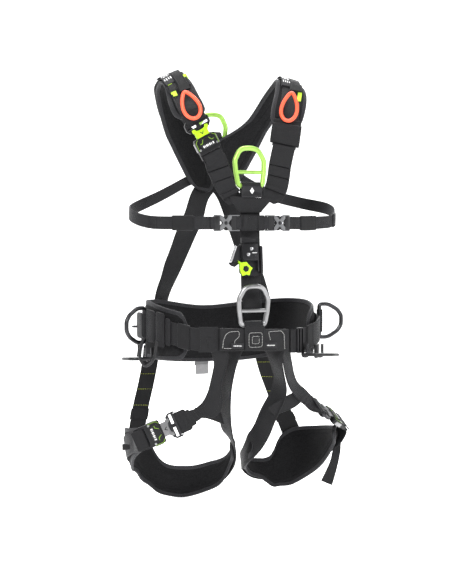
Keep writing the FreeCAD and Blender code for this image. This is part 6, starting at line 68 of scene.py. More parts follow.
    'ventral_webbing': [[0.78, -103.2, 250.38, -0.0001, -0.9997, 0.0254, 1, 0, 0.0034, 41, 2.6], [0.6, -103.56, 236.14, -0.0001, -0.9993, 0.038, 1, 0, 0.0016, 41, 2.6], [0.02, -104.28, 221.92, 0, -0.9984, 0.0563, 1, 0, -0.0003, 41, 2.6], [-0.64, -105.17, 207.71, 0.0001, -0.9982, 0.0607, 1, 0, -0.0021, 41, 2.6], [-1.09, -106.01, 193.5, 0.0002, -0.9985, 0.0541, 1, 0, -0.0039, 41, 2.6], [-1.15, -106.71, 179.27, 0.0003, -0.9987, 0.0509, 1, 0, -0.0058, 41, 2.6], [-1.16, -107.46, 165.04, 0.0005, -0.998, 0.063, 1, 0, -0.0076, 41, 2.6], [-1.48, -108.5, 150.83, 0.0008, -0.9965, 0.0836, 1, 0, -0.0095, 41, 2.6], [-1.95, -109.84, 136.65, 0.0012, -0.9948, 0.1022, 0.9999, 0, -0.0113, 41, 2.6], [-2.34, -111.42, 122.49, 0.0015, -0.9931, 0.1175, 0.9999, 0, -0.0132, 41, 2.6], [-2.76, -113.19, 108.36, 0.0019, -0.9915, 0.13, 0.9999, 0, -0.015, 41, 2.6], [-3.3, -115.12, 94.26, 0.0023, -0.9904, 0.1382, 0.9999, 0, -0.0168, 41, 2.6], [-3.77, -117.13, 80.16, 0.0027, -0.9896, 0.1441, 0.9998, 0, -0.0187, 41, 2.6], [-4.01, -119.23, 66.07, 0.0032, -0.9875, 0.1575, 0.9998, 0, -0.0205, 41, 2.6], [-4.02, -121.62, 52.02, 0.0041, -0.9827, 0.185, 0.9997, 0, -0.0224, 41, 2.6], [-3.81, -124.5, 38.06, 0.0049, -0.9793, 0.2025, 0.9997, 0, -0.0242, 41, 2.6]],
    'back_webbing_right': [[26.05, 110.1, 320.17, 0.3163, 0.9263, -0.205, 0.8687, -0.3696, -0.3299, 44, 2.4], [16.17, 109.68, 304.15, 0.2957, 0.9254, -0.2369, 0.8835, -0.3592, -0.3005, 44, 2.4], [2.48, 109.66, 290.99, 0.1621, 0.9736, -0.1605, 0.9355, -0.2034, -0.2888, 44, 2.4], [-11.58, 109.53, 278.3, -0.0069, 1, -0.0063, 0.9619, 0.0049, -0.2732, 44, 2.4], [-22.63, 108.82, 263.72, -0.1329, 0.9907, 0.0284, 0.9578, 0.1358, -0.2535, 44, 2.4], [-29.78, 107.51, 246.57, -0.1485, 0.9889, -0.0023, 0.9606, 0.1437, -0.238, 44, 2.4], [-35.47, 106.3, 228.35, -0.0774, 0.997, -0.0031, 0.9723, 0.0748, -0.2216, 44, 2.4], [-42.25, 106.08, 210.69, 0.0244, 0.9997, 0.0053, 0.9803, -0.0229, -0.1963, 44, 2.4], [-50.45, 106.75, 193.86, 0.0863, 0.9963, 0.0018, 0.9826, -0.0848, -0.1653, 44, 2.4], [-58.08, 107.51, 176.79, 0.048, 0.9985, 0.0246, 0.9889, -0.044, -0.1418, 44, 2.4], [-64.96, 108.3, 159.36, -0.051, 0.9956, 0.0781, 0.9901, 0.0607, -0.1264, 44, 2.4], [-72.04, 109.52, 142.02, -0.1111, 0.985, 0.132, 0.9851, 0.1267, -0.1163, 44, 2.4], [-79.17, 111.33, 124.79, -0.1497, 0.9739, 0.1707, 0.977, 0.1722, -0.1257, 44, 2.4], [-85.42, 113.56, 107.26, -0.2635, 0.94, 0.2167, 0.9394, 0.3011, -0.1639, 44, 2.4], [-91.6, 115.94, 89.71, -0.3757, 0.8906, 0.2564, 0.8866, 0.4259, -0.1803, 44, 2.4], [-98.27, 118.2, 72.33, -0.4342, 0.8652, 0.2509, 0.8663, 0.4774, -0.1472, 44, 2.4], [-103.66, 120.1, 54.47, -0.492, 0.8487, 0.1938, 0.8441, 0.5196, -0.1324, 44, 2.4], [-106.47, 121.73, 36.02, -0.5364, 0.8357, 0.1177, 0.8243, 0.5487, -0.1393, 44, 2.4], [-107.07, 123.14, 17.31, -0.5356, 0.8425, 0.0577, 0.8317, 0.5381, -0.1365, 44, 2.4], [-106.81, 124.08, -1.52, -0.5149, 0.8569, 0.0262, 0.8481, 0.5136, -0.13, 44, 2.4], [-107.07, 124.29, -20.3, -0.5063, 0.8621, 0.0195, 0.854, 0.5044, -0.1275, 44, 2.4], [-109.24, 123.5, -38.89, -0.5418, 0.84, 0.0275, 0.8303, 0.5401, -0.1373, 44, 2.4]],
    'back_webbing_left': [[-8.6, 115, 319.86, 0.284, 0.9376, 0.2004, 0.8816, -0.3375, 0.3299, 44, 2.4], [2.86, 114.24, 304.85, 0.1957, 0.9647, 0.1762, 0.9291, -0.2399, 0.2815, 44, 2.4], [16.68, 114.06, 291.36, 0.1865, 0.9608, 0.2049, 0.9292, -0.2403, 0.2809, 44, 2.4], [30.07, 113.73, 277.64, 0.2267, 0.9599, 0.165, 0.9195, -0.2668, 0.2887, 44, 2.4], [40.31, 112.51, 262.01, 0.2414, 0.9686, 0.0594, 0.9315, -0.2484, 0.2656, 44, 2.4], [47.1, 110.53, 244.26, 0.1846, 0.9828, -0.0048, 0.961, -0.1795, 0.2104, 44, 2.4], [52.96, 108.94, 225.96, 0.137, 0.9905, 0.015, 0.9752, -0.1375, 0.1732, 44, 2.4], [59.42, 108.71, 208.06, 0.1417, 0.9881, 0.0595, 0.973, -0.1501, 0.1755, 44, 2.4], [66, 109.07, 190.28, 0.137, 0.9881, 0.0698, 0.9727, -0.1475, 0.179, 44, 2.4], [72.31, 109.44, 172.35, 0.0775, 0.9958, 0.0495, 0.9839, -0.0844, 0.1578, 44, 2.4], [78.61, 109.87, 154.39, -0.0046, 0.9996, 0.0279, 0.9916, 0.0009, 0.1291, 44, 2.4], [85.2, 110.5, 136.55, -0.0651, 0.9976, 0.0217, 0.9913, 0.0621, 0.1158, 44, 2.4], [92.17, 111.53, 118.88, -0.1019, 0.9942, 0.0354, 0.9884, 0.0971, 0.1171, 44, 2.4], [99.47, 113.21, 101.4, -0.1323, 0.9894, 0.0599, 0.985, 0.1244, 0.1195, 44, 2.4], [106.96, 115.62, 84.06, -0.1651, 0.9835, 0.0734, 0.9813, 0.1562, 0.1127, 44, 2.4], [114.24, 118.28, 66.67, -0.1938, 0.9789, 0.0642, 0.9776, 0.1872, 0.0965, 44, 2.4], [120.85, 120.66, 49.01, -0.2121, 0.9765, 0.037, 0.9752, 0.2091, 0.0725, 44, 2.4], [126.39, 122.28, 30.9, -0.2159, 0.9764, 0.0084, 0.9756, 0.2154, 0.0428, 44, 2.4], [130.66, 123.15, 12.36, -0.21, 0.9777, -0.0084, 0.9776, 0.2101, 0.0121, 44, 2.4], [133.55, 123.49, -6.48, -0.2017, 0.9794, -0.0128, 0.9794, 0.2016, -0.0139, 44, 2.4], [134.94, 123.54, -25.5, -0.1986, 0.9801, -0.0061, 0.9797, 0.1984, -0.0297, 44, 2.4], [134.75, 123.5, -44.57, -0.2091, 0.9779, 0.0002, 0.9775, 0.209, -0.0293, 44, 2.4]],
    'side_strap_right': [[-30.35, 107.5, 301.86, -0.0191, 0.9973, -0.0712, 0.1838, 0.0735, 0.9802, 25, 2], [-42.97, 106.9, 296.91, -0.031, 0.9972, -0.0678, 0.1808, 0.0723, 0.9809, 25, 2], [-55.28, 106, 291.28, -0.0625, 0.9963, -0.0588, 0.172, 0.0688, 0.9827, 25, 2], [-67.38, 104.69, 285.29, -0.1067, 0.9932, -0.0472, 0.16, 0.064, 0.985, 25, 2], [-79.38, 102.84, 279.24, -0.1592, 0.9866, -0.0351, 0.1472, 0.0589, 0.9874, 25, 2], [-91.36, 100.39, 273.37, -0.2106, 0.9773, -0.0247, 0.1355, 0.0542, 0.9893, 25, 2], [-103.34, 97.39, 267.75, -0.2556, 0.9666, -0.0165, 0.125, 0.05, 0.9909, 25, 2], [-115.3, 93.88, 262.4, -0.2991, 0.9542, -0.0096, 0.1156, 0.0462, 0.9922, 25, 2], [-127.22, 89.8, 257.37, -0.347, 0.9379, -0.003, 0.1066, 0.0427, 0.9934, 25, 2], [-139.05, 85.06, 252.71, -0.4026, 0.9153, 0.0036, 0.0977, 0.0391, 0.9944, 25, 2], [-150.68, 79.52, 248.45, -0.4737, 0.8806, 0.0108, 0.0885, 0.0354, 0.9955, 25, 2], [-161.86, 72.88, 244.58, -0.5642, 0.8254, 0.0185, 0.0787, 0.0315, 0.9964, 25, 2], [-172.28, 64.92, 241.1, -0.6592, 0.7516, 0.0246, 0.0683, 0.0273, 0.9973, 25, 2], [-181.73, 55.68, 238.04, -0.7402, 0.6719, 0.0272, 0.0577, 0.0231, 0.9981, 25, 2], [-190.2, 45.41, 235.41, -0.804, 0.594, 0.0269, 0.0475, 0.019, 0.9987, 25, 2], [-197.67, 34.31, 233.16, -0.8539, 0.5198, 0.0244, 0.0378, 0.0151, 0.9992, 25, 2], [-204.2, 22.61, 231.02, -0.8927, 0.4502, 0.0196, 0.0274, 0.011, 0.9996, 25, 2], [-209.8, 10.47, 228.73, -0.9283, 0.3716, 0.0122, 0.0156, 0.0062, 0.9999, 25, 2], [-214.16, -2.13, 226.2, -0.9648, 0.2629, 0.0036, 0.0042, 0.0017, 1, 25, 2], [-216.8, -15.15, 223.47, -0.9931, 0.1171, -0.0036, -0.0038, -0.0015, 1, 25, 2], [-217.24, -28.38, 220.5, -0.9979, -0.0641, -0.0098, -0.0095, -0.0038, 0.9999, 25, 2], [-215.05, -41.37, 217.26, -0.9633, -0.2678, -0.0187, -0.0174, -0.007, 0.9998, 25, 2], [-210.11, -53.58, 214.02, -0.8832, -0.4682, -0.0262, -0.0245, -0.0098, 0.9997, 25, 2], [-202.59, -64.53, 211.23, -0.7751, -0.6314, -0.0233, -0.0226, -0.0091, 0.9997, 25, 2], [-193.23, -74.15, 209.27, -0.679, -0.734, -0.0139, -0.0143, -0.0057, 0.9999, 25, 2], [-182.8, -82.78, 208.34, -0.597, -0.8022, -0.0059, -0.0064, -0.0026, 1, 25, 2], [-171.51, -90.3, 208.1, -0.5017, -0.8651, -0.0011, -0.0012, -0.0005, 1, 25, 2], [-159.37, -96.36, 207.99, -0.3946, -0.9189, 0.0006, 0.0008, 0.0003, 1, 25, 2], [-146.62, -100.99, 207.81, -0.3023, -0.9532, 0.0004, 0.0007, 0.0003, 1, 25, 2], [-133.53, -104.55, 207.66, -0.2359, -0.9718, -0.0001, -0.0001, 0, 1, 25, 2], [-120.27, -107.42, 207.62, -0.1816, -0.9834, -0.0001, -0.0002, -0.0001, 1, 25, 2], [-107, -110.65, 207.63, -0.0978, -0.9952, -0.0001, 0.0007, -0.0001, 1, 25, 2], [-93.68, -113.19, 207.63, -0.0193, -0.9998, -0.0001, 0.0018, -0.0001, 1, 25, 2], [-80.17, -113.5, 207.61, 0, -1, -0.0001, 0.0021, -0.0001, 1, 25, 2]],
    'side_strap_left': [[48.25, 107.5, 317.26, -0.0918, 0.9851, -0.1457, -0.2855, 0.1142, 0.9516, 25, 2], [59.48, 107.22, 308.28, -0.0761, 0.9875, -0.1383, -0.28, 0.112, 0.9534, 25, 2], [71.2, 106.84, 299.97, -0.0479, 0.9909, -0.1261, -0.2715, 0.1086, 0.9563, 25, 2], [83.32, 106.33, 292.26, -0.0188, 0.9935, -0.1127, -0.26, 0.104, 0.96, 25, 2], [95.75, 105.62, 285.06, 0.0116, 0.9951, -0.0985, -0.2458, 0.0983, 0.9643, 25, 2], [108.38, 104.65, 278.28, 0.0439, 0.9955, -0.0837, -0.2289, 0.0916, 0.9691, 25, 2], [121.15, 103.38, 271.8, 0.0828, 0.9943, -0.0678, -0.2097, 0.0839, 0.9742, 25, 2], [134.11, 101.66, 265.83, 0.1349, 0.9896, -0.0502, -0.1883, 0.0753, 0.9792, 25, 2], [147.39, 99.25, 260.87, 0.1949, 0.9803, -0.0332, -0.1656, 0.0662, 0.984, 25, 2], [160.89, 96.04, 257.1, 0.2485, 0.9684, -0.0201, -0.1432, 0.0573, 0.988, 25, 2], [174.35, 92.19, 253.84, 0.2957, 0.9552, -0.0109, -0.1246, 0.0498, 0.991, 25, 2], [187.59, 87.7, 250.52, 0.3593, 0.9332, -0.0016, -0.112, 0.0448, 0.9927, 25, 2], [200.44, 82.13, 247.26, 0.457, 0.8894, 0.0105, -0.1026, 0.041, 0.9939, 25, 2], [212.56, 74.95, 244.39, 0.5874, 0.8089, 0.0244, -0.092, 0.0368, 0.9951, 25, 2], [223.26, 65.71, 241.81, 0.744, 0.6671, 0.038, -0.0794, 0.0317, 0.9963, 25, 2], [231.43, 54.18, 239.2, 0.8863, 0.4608, 0.0464, -0.0659, 0.0264, 0.9975, 25, 2], [236.42, 41.01, 236.28, 0.9715, 0.2323, 0.0464, -0.0527, 0.0211, 0.9984, 25, 2], [238.19, 27.17, 232.83, 0.9992, 0.0091, 0.0401, -0.0402, 0.0161, 0.9991, 25, 2], [236.95, 13.35, 229.09, 0.9817, -0.1881, 0.0296, -0.028, 0.0112, 0.9995, 25, 2], [233.18, -0.06, 225.52, 0.9431, -0.332, 0.0168, -0.0156, 0.0062, 0.9999, 25, 2], [227.82, -12.98, 222.19, 0.9155, -0.4024, 0.0043, -0.004, 0.0016, 1, 25, 2], [221.95, -25.69, 218.95, 0.8981, -0.4397, -0.0056, 0.0052, -0.0021, 1, 25, 2], [215.46, -38.12, 215.78, 0.8573, -0.5147, -0.0119, 0.0112, -0.0045, 0.9999, 25, 2], [207.45, -49.69, 212.88, 0.7792, -0.6266, -0.0146, 0.0142, -0.0057, 0.9999, 25, 2], [197.75, -60.04, 210.55, 0.6827, -0.7306, -0.0134, 0.0137, -0.0055, 0.9999, 25, 2], [186.65, -69.06, 209.06, 0.5836, -0.812, -0.0088, 0.0097, -0.0039, 0.9999, 25, 2], [174.51, -76.72, 208.32, 0.4945, -0.8691, -0.0032, 0.0038, -0.0015, 1, 25, 2], [161.71, -83.24, 207.82, 0.4236, -0.9058, 0.0005, -0.0006, 0.0002, 1, 25, 2], [148.5, -88.9, 207.29, 0.3697, -0.9292, 0.0011, -0.0014, 0.0006, 1, 25, 2], [135.01, -93.82, 206.81, 0.3371, -0.9415, 0.0003, -0.0005, 0.0002, 1, 25, 2], [121.49, -98.79, 206.6, 0.2986, -0.9544, -0.0002, 0.0003, -0.0001, 1, 25, 2], [108.29, -105.05, 206.85, 0.1914, -0.9815, -0.0003, 0.0004, -0.0001, 1, 25, 2], [94.94, -110.32, 207.21, 0.0797, -0.9968, -0.0001, 0.0001, 0, 1, 25, 2], [80.82, -111.87, 207.32, 0.0499, -0.9988, 0, 0, 0, 1, 25, 2]],
    'chest_band': [[-25.97, -113.5, 207.49, -0.061, -0.9981, 0, 0, 0, 1, 25, 2], [-15.45, -114.14, 207.46, -0.0509, -0.9987, 0, 0, 0, 1, 25, 2], [-4.92, -114.57, 207.42, -0.0306, -0.9995, 0, 0, 0, 1, 25, 2], [5.61, -114.79, 207.39, -0.0103, -0.9999, 0, 0, 0, 1, 25, 2], [16.15, -114.79, 207.36, 0.01, -1, 0, 0, 0, 1, 25, 2], [26.69, -114.58, 207.32, 0.0201, -0.9998, 0, 0, 0, 1, 25, 2]],
    'leg_pad_right': [[-192.09, -78.88, -207.22, -0.7812, -0.6243, 0, 0, 0, 1, 33.13, 10], [-202.28, -67.51, -210.32, -0.8754, -0.4832, -0.0127, -0.0099, -0.0084, 0.9999, 40.53, 10], [-208.54, -54.29, -214.5, -0.9699, -0.2375, -0.0534, -0.0492, -0.0237, 0.9985, 46.87, 10], [-212.1, -39.1, -219.38, -0.9871, -0.1274, -0.0965, -0.0931, -0.0329, 0.9951, 52.72, 10], [-213.93, -23.7, -224.43, -0.9883, -0.081, -0.1292, -0.1273, -0.0285, 0.9915, 58.57, 10], [-214.06, -8.63, -229.63, -0.9887, -0.0044, -0.1498, -0.1497, -0.0122, 0.9887, 65.28, 10], [-212.41, 6.18, -235.35, -0.9815, 0.1025, -0.1617, -0.1615, 0.0103, 0.9868, 73.65, 10], [-209.12, 20.7, -241.01, -0.9656, 0.2012, -0.1649, -0.1618, 0.0322, 0.9863, 81.78, 10], [-204.68, 34.76, -245.76, -0.9354, 0.316, -0.1589, -0.1505, 0.051, 0.9873, 86.75, 10], [-198.47, 47.78, -249.83, -0.8707, 0.4673, -0.1531, -0.1366, 0.0692, 0.9882, 88.27, 10], [-190.1, 59.1, -254.39, -0.8021, 0.5766, -0.1551, -0.1276, 0.0882, 0.9879, 87.26, 10], [-181.45, 68.24, -261.79, -0.7674, 0.6226, -0.153, -0.1148, 0.1013, 0.9882, 84.93, 10], [-173.3, 75.41, -272.28, -0.674, 0.7267, -0.1329, -0.0891, 0.0987, 0.9911, 83.14, 10], [-162.6, 82.27, -280.69, -0.5219, 0.8485, -0.0875, -0.0515, 0.071, 0.9961, 85.35, 10], [-149.09, 88.92, -285.65, -0.4012, 0.9152, -0.0377, -0.0176, 0.0335, 0.9993, 90.72, 10], [-138.26, 92.4, -293.91, -0.2442, 0.9695, -0.0226, -0.0053, 0.0219, 0.9997, 90.22, 10], [-129.65, 93.37, -304.88, -0.1215, 0.9921, -0.0307, -0.0068, 0.0301, 0.9995, 83.91, 10], [-120.36, 93.94, -314.93, -0.0927, 0.9949, -0.0408, -0.0082, 0.0402, 0.9992, 75.85, 10], [-108.96, 94.58, -322.41, -0.0367, 0.9984, -0.0436, -0.0034, 0.0435, 0.999, 69.13, 10], [-95.37, 94.31, -327.48, 0.0653, 0.9969, -0.0433, 0.0043, 0.0431, 0.9991, 65.92, 10], [-80.17, 92.35, -330.25, 0.1886, 0.9811, -0.0436, 0.0112, 0.0423, 0.999, 66, 10], [-64.91, 88.32, -330.62, 0.3291, 0.9432, -0.0449, 0.0181, 0.0412, 0.999, 65.56, 10], [-50.69, 82.14, -328.68, 0.4766, 0.8779, -0.0469, 0.0255, 0.0395, 0.9989, 63.56, 10], [-38.02, 74.04, -324.67, 0.613, 0.7886, -0.0485, 0.0323, 0.0363, 0.9988, 61.97, 10], [-26.94, 64.25, -319.39, 0.7192, 0.693, -0.0496, 0.0382, 0.0319, 0.9988, 61.13, 10], [-17.06, 53.05, -313.98, 0.7947, 0.6048, -0.052, 0.0446, 0.0271, 0.9986, 59.9, 10], [-8.45, 40.96, -307.75, 0.8596, 0.5078, -0.0564, 0.0523, 0.0223, 0.9984, 56.9, 10], [-1.69, 28.83, -297.82, 0.9278, 0.3678, -0.0622, 0.0602, 0.0169, 0.998, 50.6, 10], [2.62, 17.06, -284.01, 0.9851, 0.1589, -0.0659, 0.0651, 0.01, 0.9978, 41.98, 10], [3.91, 5.31, -270.8, 0.9958, -0.0742, -0.054, 0.0544, 0.003, 0.9985, 36.26, 10], [2.11, -6.57, -260.92, 0.9665, -0.2558, -0.0229, 0.0236, -0.0001, 0.9997, 36.35, 10], [-1.86, -18.11, -252.57, 0.9275, -0.3739, 0.0039, -0.0041, 0.0002, 1, 39.47, 10], [-6.91, -28.76, -243.37, 0.8966, -0.4426, 0.0134, -0.0145, 0.001, 0.9999, 42.04, 10], [-12, -38, -230.94, 0.876, -0.4824, 0, 0, 0, 1, 40.5, 10]],
    'leg_pad_left': [[193, -84, -215.72, 0.8234, -0.5674, 0, 0, 0, 1, 28.65, 10], [201.1, -72.25, -221.8, 0.8589, -0.5119, -0.0123, 0.01, -0.0072, 0.9999, 33.66, 10], [207.56, -59.3, -227.11, 0.9159, -0.3999, -0.0346, 0.0281, -0.0221, 0.9994, 39.09, 10], [212.34, -45.58, -232.52, 0.9531, -0.2957, -0.0644, 0.0572, -0.033, 0.9978, 45.86, 10], [215.38, -31.5, -238.92, 0.9743, -0.202, -0.1001, 0.0953, -0.0333, 0.9949, 54.89, 10], [216.75, -17.42, -246.41, 0.9847, -0.1144, -0.1311, 0.1293, -0.0233, 0.9913, 66.03, 10], [216.67, -3.5, -253.68, 0.99, -0.0154, -0.1404, 0.1403, -0.0064, 0.9901, 76.87, 10], [215.25, 10.16, -259.97, 0.9862, 0.1014, -0.1307, 0.13, 0.014, 0.9914, 85.86, 10], [212.3, 23.5, -265.73, 0.9658, 0.2302, -0.1197, 0.1153, 0.0325, 0.9928, 93.38, 10], [207.62, 36.34, -271.23, 0.9221, 0.3702, -0.1122, 0.1022, 0.0467, 0.9937, 100.06, 10], [201.06, 48.29, -276.33, 0.854, 0.5098, -0.1034, 0.0861, 0.0574, 0.9946, 106.59, 10], [192.74, 59.26, -281.16, 0.7789, 0.6208, -0.0889, 0.0653, 0.0607, 0.996, 113.13, 10], [183.08, 69.43, -286.23, 0.6939, 0.7172, -0.0642, 0.0409, 0.0497, 0.9979, 119.02, 10], [172.4, 78.03, -291.3, 0.5586, 0.8285, -0.0399, 0.0201, 0.0346, 0.9992, 121.61, 10], [161.09, 83.79, -295.83, 0.4093, 0.9118, -0.0342, 0.0111, 0.0326, 0.9994, 117.33, 10], [151.05, 87.25, -301.06, 0.3474, 0.9368, -0.0419, 0.0103, 0.0409, 0.9991, 107.41, 10], [144.18, 89.5, -308.45, 0.3508, 0.9351, -0.0506, 0.0108, 0.05, 0.9987, 94.81, 10], [138.84, 91, -316.2, 0.2495, 0.9666, -0.0589, 0.0094, 0.0584, 0.9983, 81.03, 10], [131.83, 91.91, -320.92, 0.0871, 0.9937, -0.0699, 0.004, 0.0698, 0.9976, 66.88, 10], [120.22, 92.34, -319.43, -0.0207, 0.9957, -0.0901, -0.0092, 0.0899, 0.9959, 53.15, 10], [105.26, 91.72, -314.21, -0.1253, 0.9865, -0.1057, -0.0258, 0.1033, 0.9943, 43.1, 10], [90.74, 88.99, -310.72, -0.3088, 0.9474, -0.0838, -0.0302, 0.0783, 0.9965, 39.99, 10], [78.02, 83.01, -306.72, -0.5671, 0.8212, -0.0629, -0.0333, 0.0534, 0.998, 37.25, 10], [67.47, 73.48, -300.87, -0.7628, 0.6425, -0.0721, -0.0486, 0.0543, 0.9973, 30.73, 10], [59, 61.87, -296.41, -0.8644, 0.4951, -0.0873, -0.0657, 0.061, 0.996, 25.63, 10], [52.43, 49.49, -293.58, -0.9202, 0.3828, -0.0814, -0.0675, 0.0496, 0.9965, 24.17, 10], [47.57, 36.87, -289.73, -0.9567, 0.2827, -0.0701, -0.0645, 0.0291, 0.9975, 24.13, 10], [44.11, 24.45, -283.76, -0.9764, 0.2037, -0.072, -0.0703, 0.0155, 0.9974, 24.52, 10], [41.45, 12.56, -276.65, -0.9824, 0.1736, -0.0691, -0.0686, 0.0085, 0.9976, 26.3, 10], [39.02, 1.48, -269.4, -0.9836, 0.1748, -0.0452, -0.0452, 0.0041, 0.999, 30.35, 10], [36.95, -8.95, -261.95, -0.9893, 0.1449, -0.0158, -0.0158, 0.0012, 0.9999, 35.65, 10], [35.76, -19.09, -253.71, -0.9985, 0.0544, 0.0052, 0.0052, -0.0003, 1, 40.18, 10], [35.94, -29.32, -244.1, -0.9955, -0.094, 0.0126, 0.0127, -0.0007, 0.9999, 41.88, 10], [38, -40, -232.52, -0.9818, -0.1897, 0, 0, 0, 1, 38.69, 10]],
    'leg_webbing_right': [[-214.93, -76.93, -210.25, -0.3278, -0.9424, 0.0662, -0.356, 0.1882, 0.9154, 44, 2.6], [-223.1, -68.99, -215.18, -0.4536, -0.8894, 0.0564, -0.3063, 0.1525, 0.9396, 44, 2.6], [-221.31, -54.33, -217.98, -0.8287, -0.5596, 0.0043, -0.1487, 0.037, 0.9882, 44, 2.6], [-218.49, -38.29, -220.9, -0.9774, -0.2026, -0.0597, -0.0527, -0.0452, 0.9976, 44, 2.6], [-220.29, -24.53, -225.36, -0.9857, -0.1226, -0.1155, -0.1122, -0.0301, 0.9932, 44, 2.6], [-220.83, -10.72, -229.95, -0.9884, -0.0367, -0.1471, -0.1467, -0.0144, 0.9891, 44, 2.6], [-219.95, 3.04, -234.63, -0.9853, 0.06, -0.1602, -0.1604, 0.0012, 0.9871, 44, 2.6], [-217.63, 16.61, -239.38, -0.9729, 0.1651, -0.1619, -0.1611, 0.0185, 0.9868, 44, 2.6], [-213.81, 29.82, -244.17, -0.9477, 0.2765, -0.1592, -0.1547, 0.0384, 0.9872, 44, 2.6], [-208.46, 42.48, -248.99, -0.9079, 0.3874, -0.1599, -0.1475, 0.0618, 0.9871, 44, 2.6], [-201.63, 54.38, -253.86, -0.8548, 0.4922, -0.1643, -0.1406, 0.0851, 0.9864, 44, 2.6], [-193.42, 65.29, -258.93, -0.7888, 0.5925, -0.1633, -0.129, 0.1002, 0.9866, 44, 2.6], [-183.99, 74.98, -264.34, -0.7097, 0.6892, -0.1463, -0.1079, 0.099, 0.9892, 44, 2.6], [-173.62, 83.27, -270.31, -0.6195, 0.7772, -0.1105, -0.0766, 0.0802, 0.9938, 44, 2.6], [-162.77, 90.04, -277.29, -0.5161, 0.8537, -0.069, -0.0434, 0.0544, 0.9976, 44, 2.6], [-152.03, 95.06, -285.73, -0.3916, 0.9193, -0.038, -0.0179, 0.0337, 0.9993, 44, 2.6], [-141.88, 98.18, -295.7, -0.2567, 0.966, -0.029, -0.0075, 0.028, 0.9996, 44, 2.6], [-131.76, 99.85, -306.03, -0.1497, 0.9882, -0.0336, -0.007, 0.0329, 0.9994, 44, 2.6], [-120.67, 100.72, -315.44, -0.0848, 0.9956, -0.0409, -0.0082, 0.0403, 0.9992, 44, 2.6], [-108.08, 101.19, -322.73, -0.0266, 0.9987, -0.0444, -0.0048, 0.0443, 0.999, 44, 2.6], [-94.4, 100.88, -327.73, 0.0566, 0.9974, -0.0446, 0.0022, 0.0446, 0.999, 44, 2.6], [-80.19, 99.26, -330.42, 0.1708, 0.9843, -0.0437, 0.0105, 0.0425, 0.999, 44, 2.6], [-66.04, 95.82, -330.8, 0.3012, 0.9526, -0.043, 0.0179, 0.0394, 0.9991, 44, 2.6], [-52.53, 90.57, -329.35, 0.4281, 0.9027, -0.0434, 0.0241, 0.0367, 0.999, 44, 2.6], [-39.99, 83.67, -326.69, 0.5487, 0.8348, -0.046, 0.0295, 0.0357, 0.9989, 44, 2.6], [-28.63, 75.18, -323.38, 0.6583, 0.751, -0.0513, 0.0348, 0.0376, 0.9987, 44, 2.6], [-18.59, 65.39, -319.48, 0.746, 0.6636, -0.0568, 0.0403, 0.0402, 0.9984, 44, 2.6], [-9.86, 54.85, -314.49, 0.8098, 0.5837, -0.0591, 0.0462, 0.0371, 0.9982, 44, 2.6], [-2.44, 44.16, -307.95, 0.8579, 0.5107, -0.0562, 0.0524, 0.0217, 0.9984, 44, 2.6], [3.63, 33.84, -299.66, 0.905, 0.4224, -0.0505, 0.0585, -0.0061, 0.9983, 44, 2.6], [8.08, 23.77, -290.13, 0.9588, 0.2796, -0.0514, 0.0622, -0.03, 0.9976, 44, 2.6], [10.54, 13.67, -279.94, 0.9964, 0.0612, -0.0593, 0.0612, -0.0312, 0.9976, 44, 2.6], [10.49, 3.28, -269.73, 0.9822, -0.1814, -0.0491, 0.0524, 0.0135, 0.9985, 44, 2.6], [7.63, -7.31, -260.15, 0.9394, -0.3425, 0.0146, 0.0316, 0.1289, 0.9912, 44, 2.6], [2.61, -17.68, -251.26, 0.9074, -0.3984, 0.1336, -0.0021, 0.3135, 0.9496, 44, 2.6], [-3.81, -27.61, -242.75, 0.884, -0.371, 0.2844, -0.0452, 0.5376, 0.842, 44, 2.6], [-10.97, -37.03, -234.26, 0.8601, -0.2808, 0.4259, -0.0876, 0.7411, 0.6656, 44, 2.6], [-18.38, -45.89, -225.4, 0.8424, -0.1584, 0.515, -0.1192, 0.8773, 0.4649, 44, 2.6], [-25.51, -54.14, -215.75, 0.8482, -0.0369, 0.5284, -0.1379, 0.9478, 0.2876, 44, 2.6], [-31.79, -61.62, -204.94, 0.883, 0.0595, 0.4656, -0.1465, 0.9773, 0.1529, 44, 2.6], [-36.63, -68.16, -192.86, 0.9206, 0.1159, 0.373, -0.1486, 0.9871, 0.06, 44, 2.6], [-40.29, -74.12, -180.09, 0.9413, 0.1397, 0.3073, -0.1483, 0.9889, 0.0048, 44, 2.6], [-43.27, -80.04, -167.13, 0.954, 0.1467, 0.2613, -0.1489, 0.9888, -0.0112, 44, 2.6], [-45.65, -85.79, -153.96, 0.9668, 0.1466, 0.2092, -0.1491, 0.9888, -0.0038, 44, 2.6], [-47.37, -90.99, -140.47, 0.9777, 0.1441, 0.1526, -0.1462, 0.9893, 0.0026, 44, 2.6], [-48.45, -95.68, -126.72, 0.9841, 0.144, 0.1043, -0.1449, 0.9894, 0.0014, 44, 2.6], [-48.95, -100.18, -112.88, 0.9859, 0.1551, 0.0624, -0.1553, 0.9879, -0.0007, 44, 2.6], [-48.8, -104.55, -98.99, 0.9843, 0.1763, 0.0107, -0.1763, 0.9843, -0.0008, 44, 2.6], [-47.76, -108.51, -85.02, 0.9794, 0.1944, -0.0549, -0.1947, 0.9809, -0.0001, 44, 2.6], [-45.78, -111.9, -71, 0.9748, 0.2106, -0.0732, -0.2112, 0.9775, 0.0002, 44, 2.6], [-44.16, -115.47, -56.97, 0.9468, 0.318, 0.0491, -0.3183, 0.948, 0, 44, 2.6], [-44.5, -120.02, -43.14, 0.7661, 0.5752, 0.2868, -0.6004, 0.7997, 0, 44, 2.6], [-47.27, -124.9, -29.71, 0.4454, 0.7976, 0.4068, -0.8731, 0.4875, 0, 44, 2.6], [-52.52, -129, -16.76, 0.0938, 0.9377, 0.3346, -0.995, 0.0995, 0, 44, 2.6]],
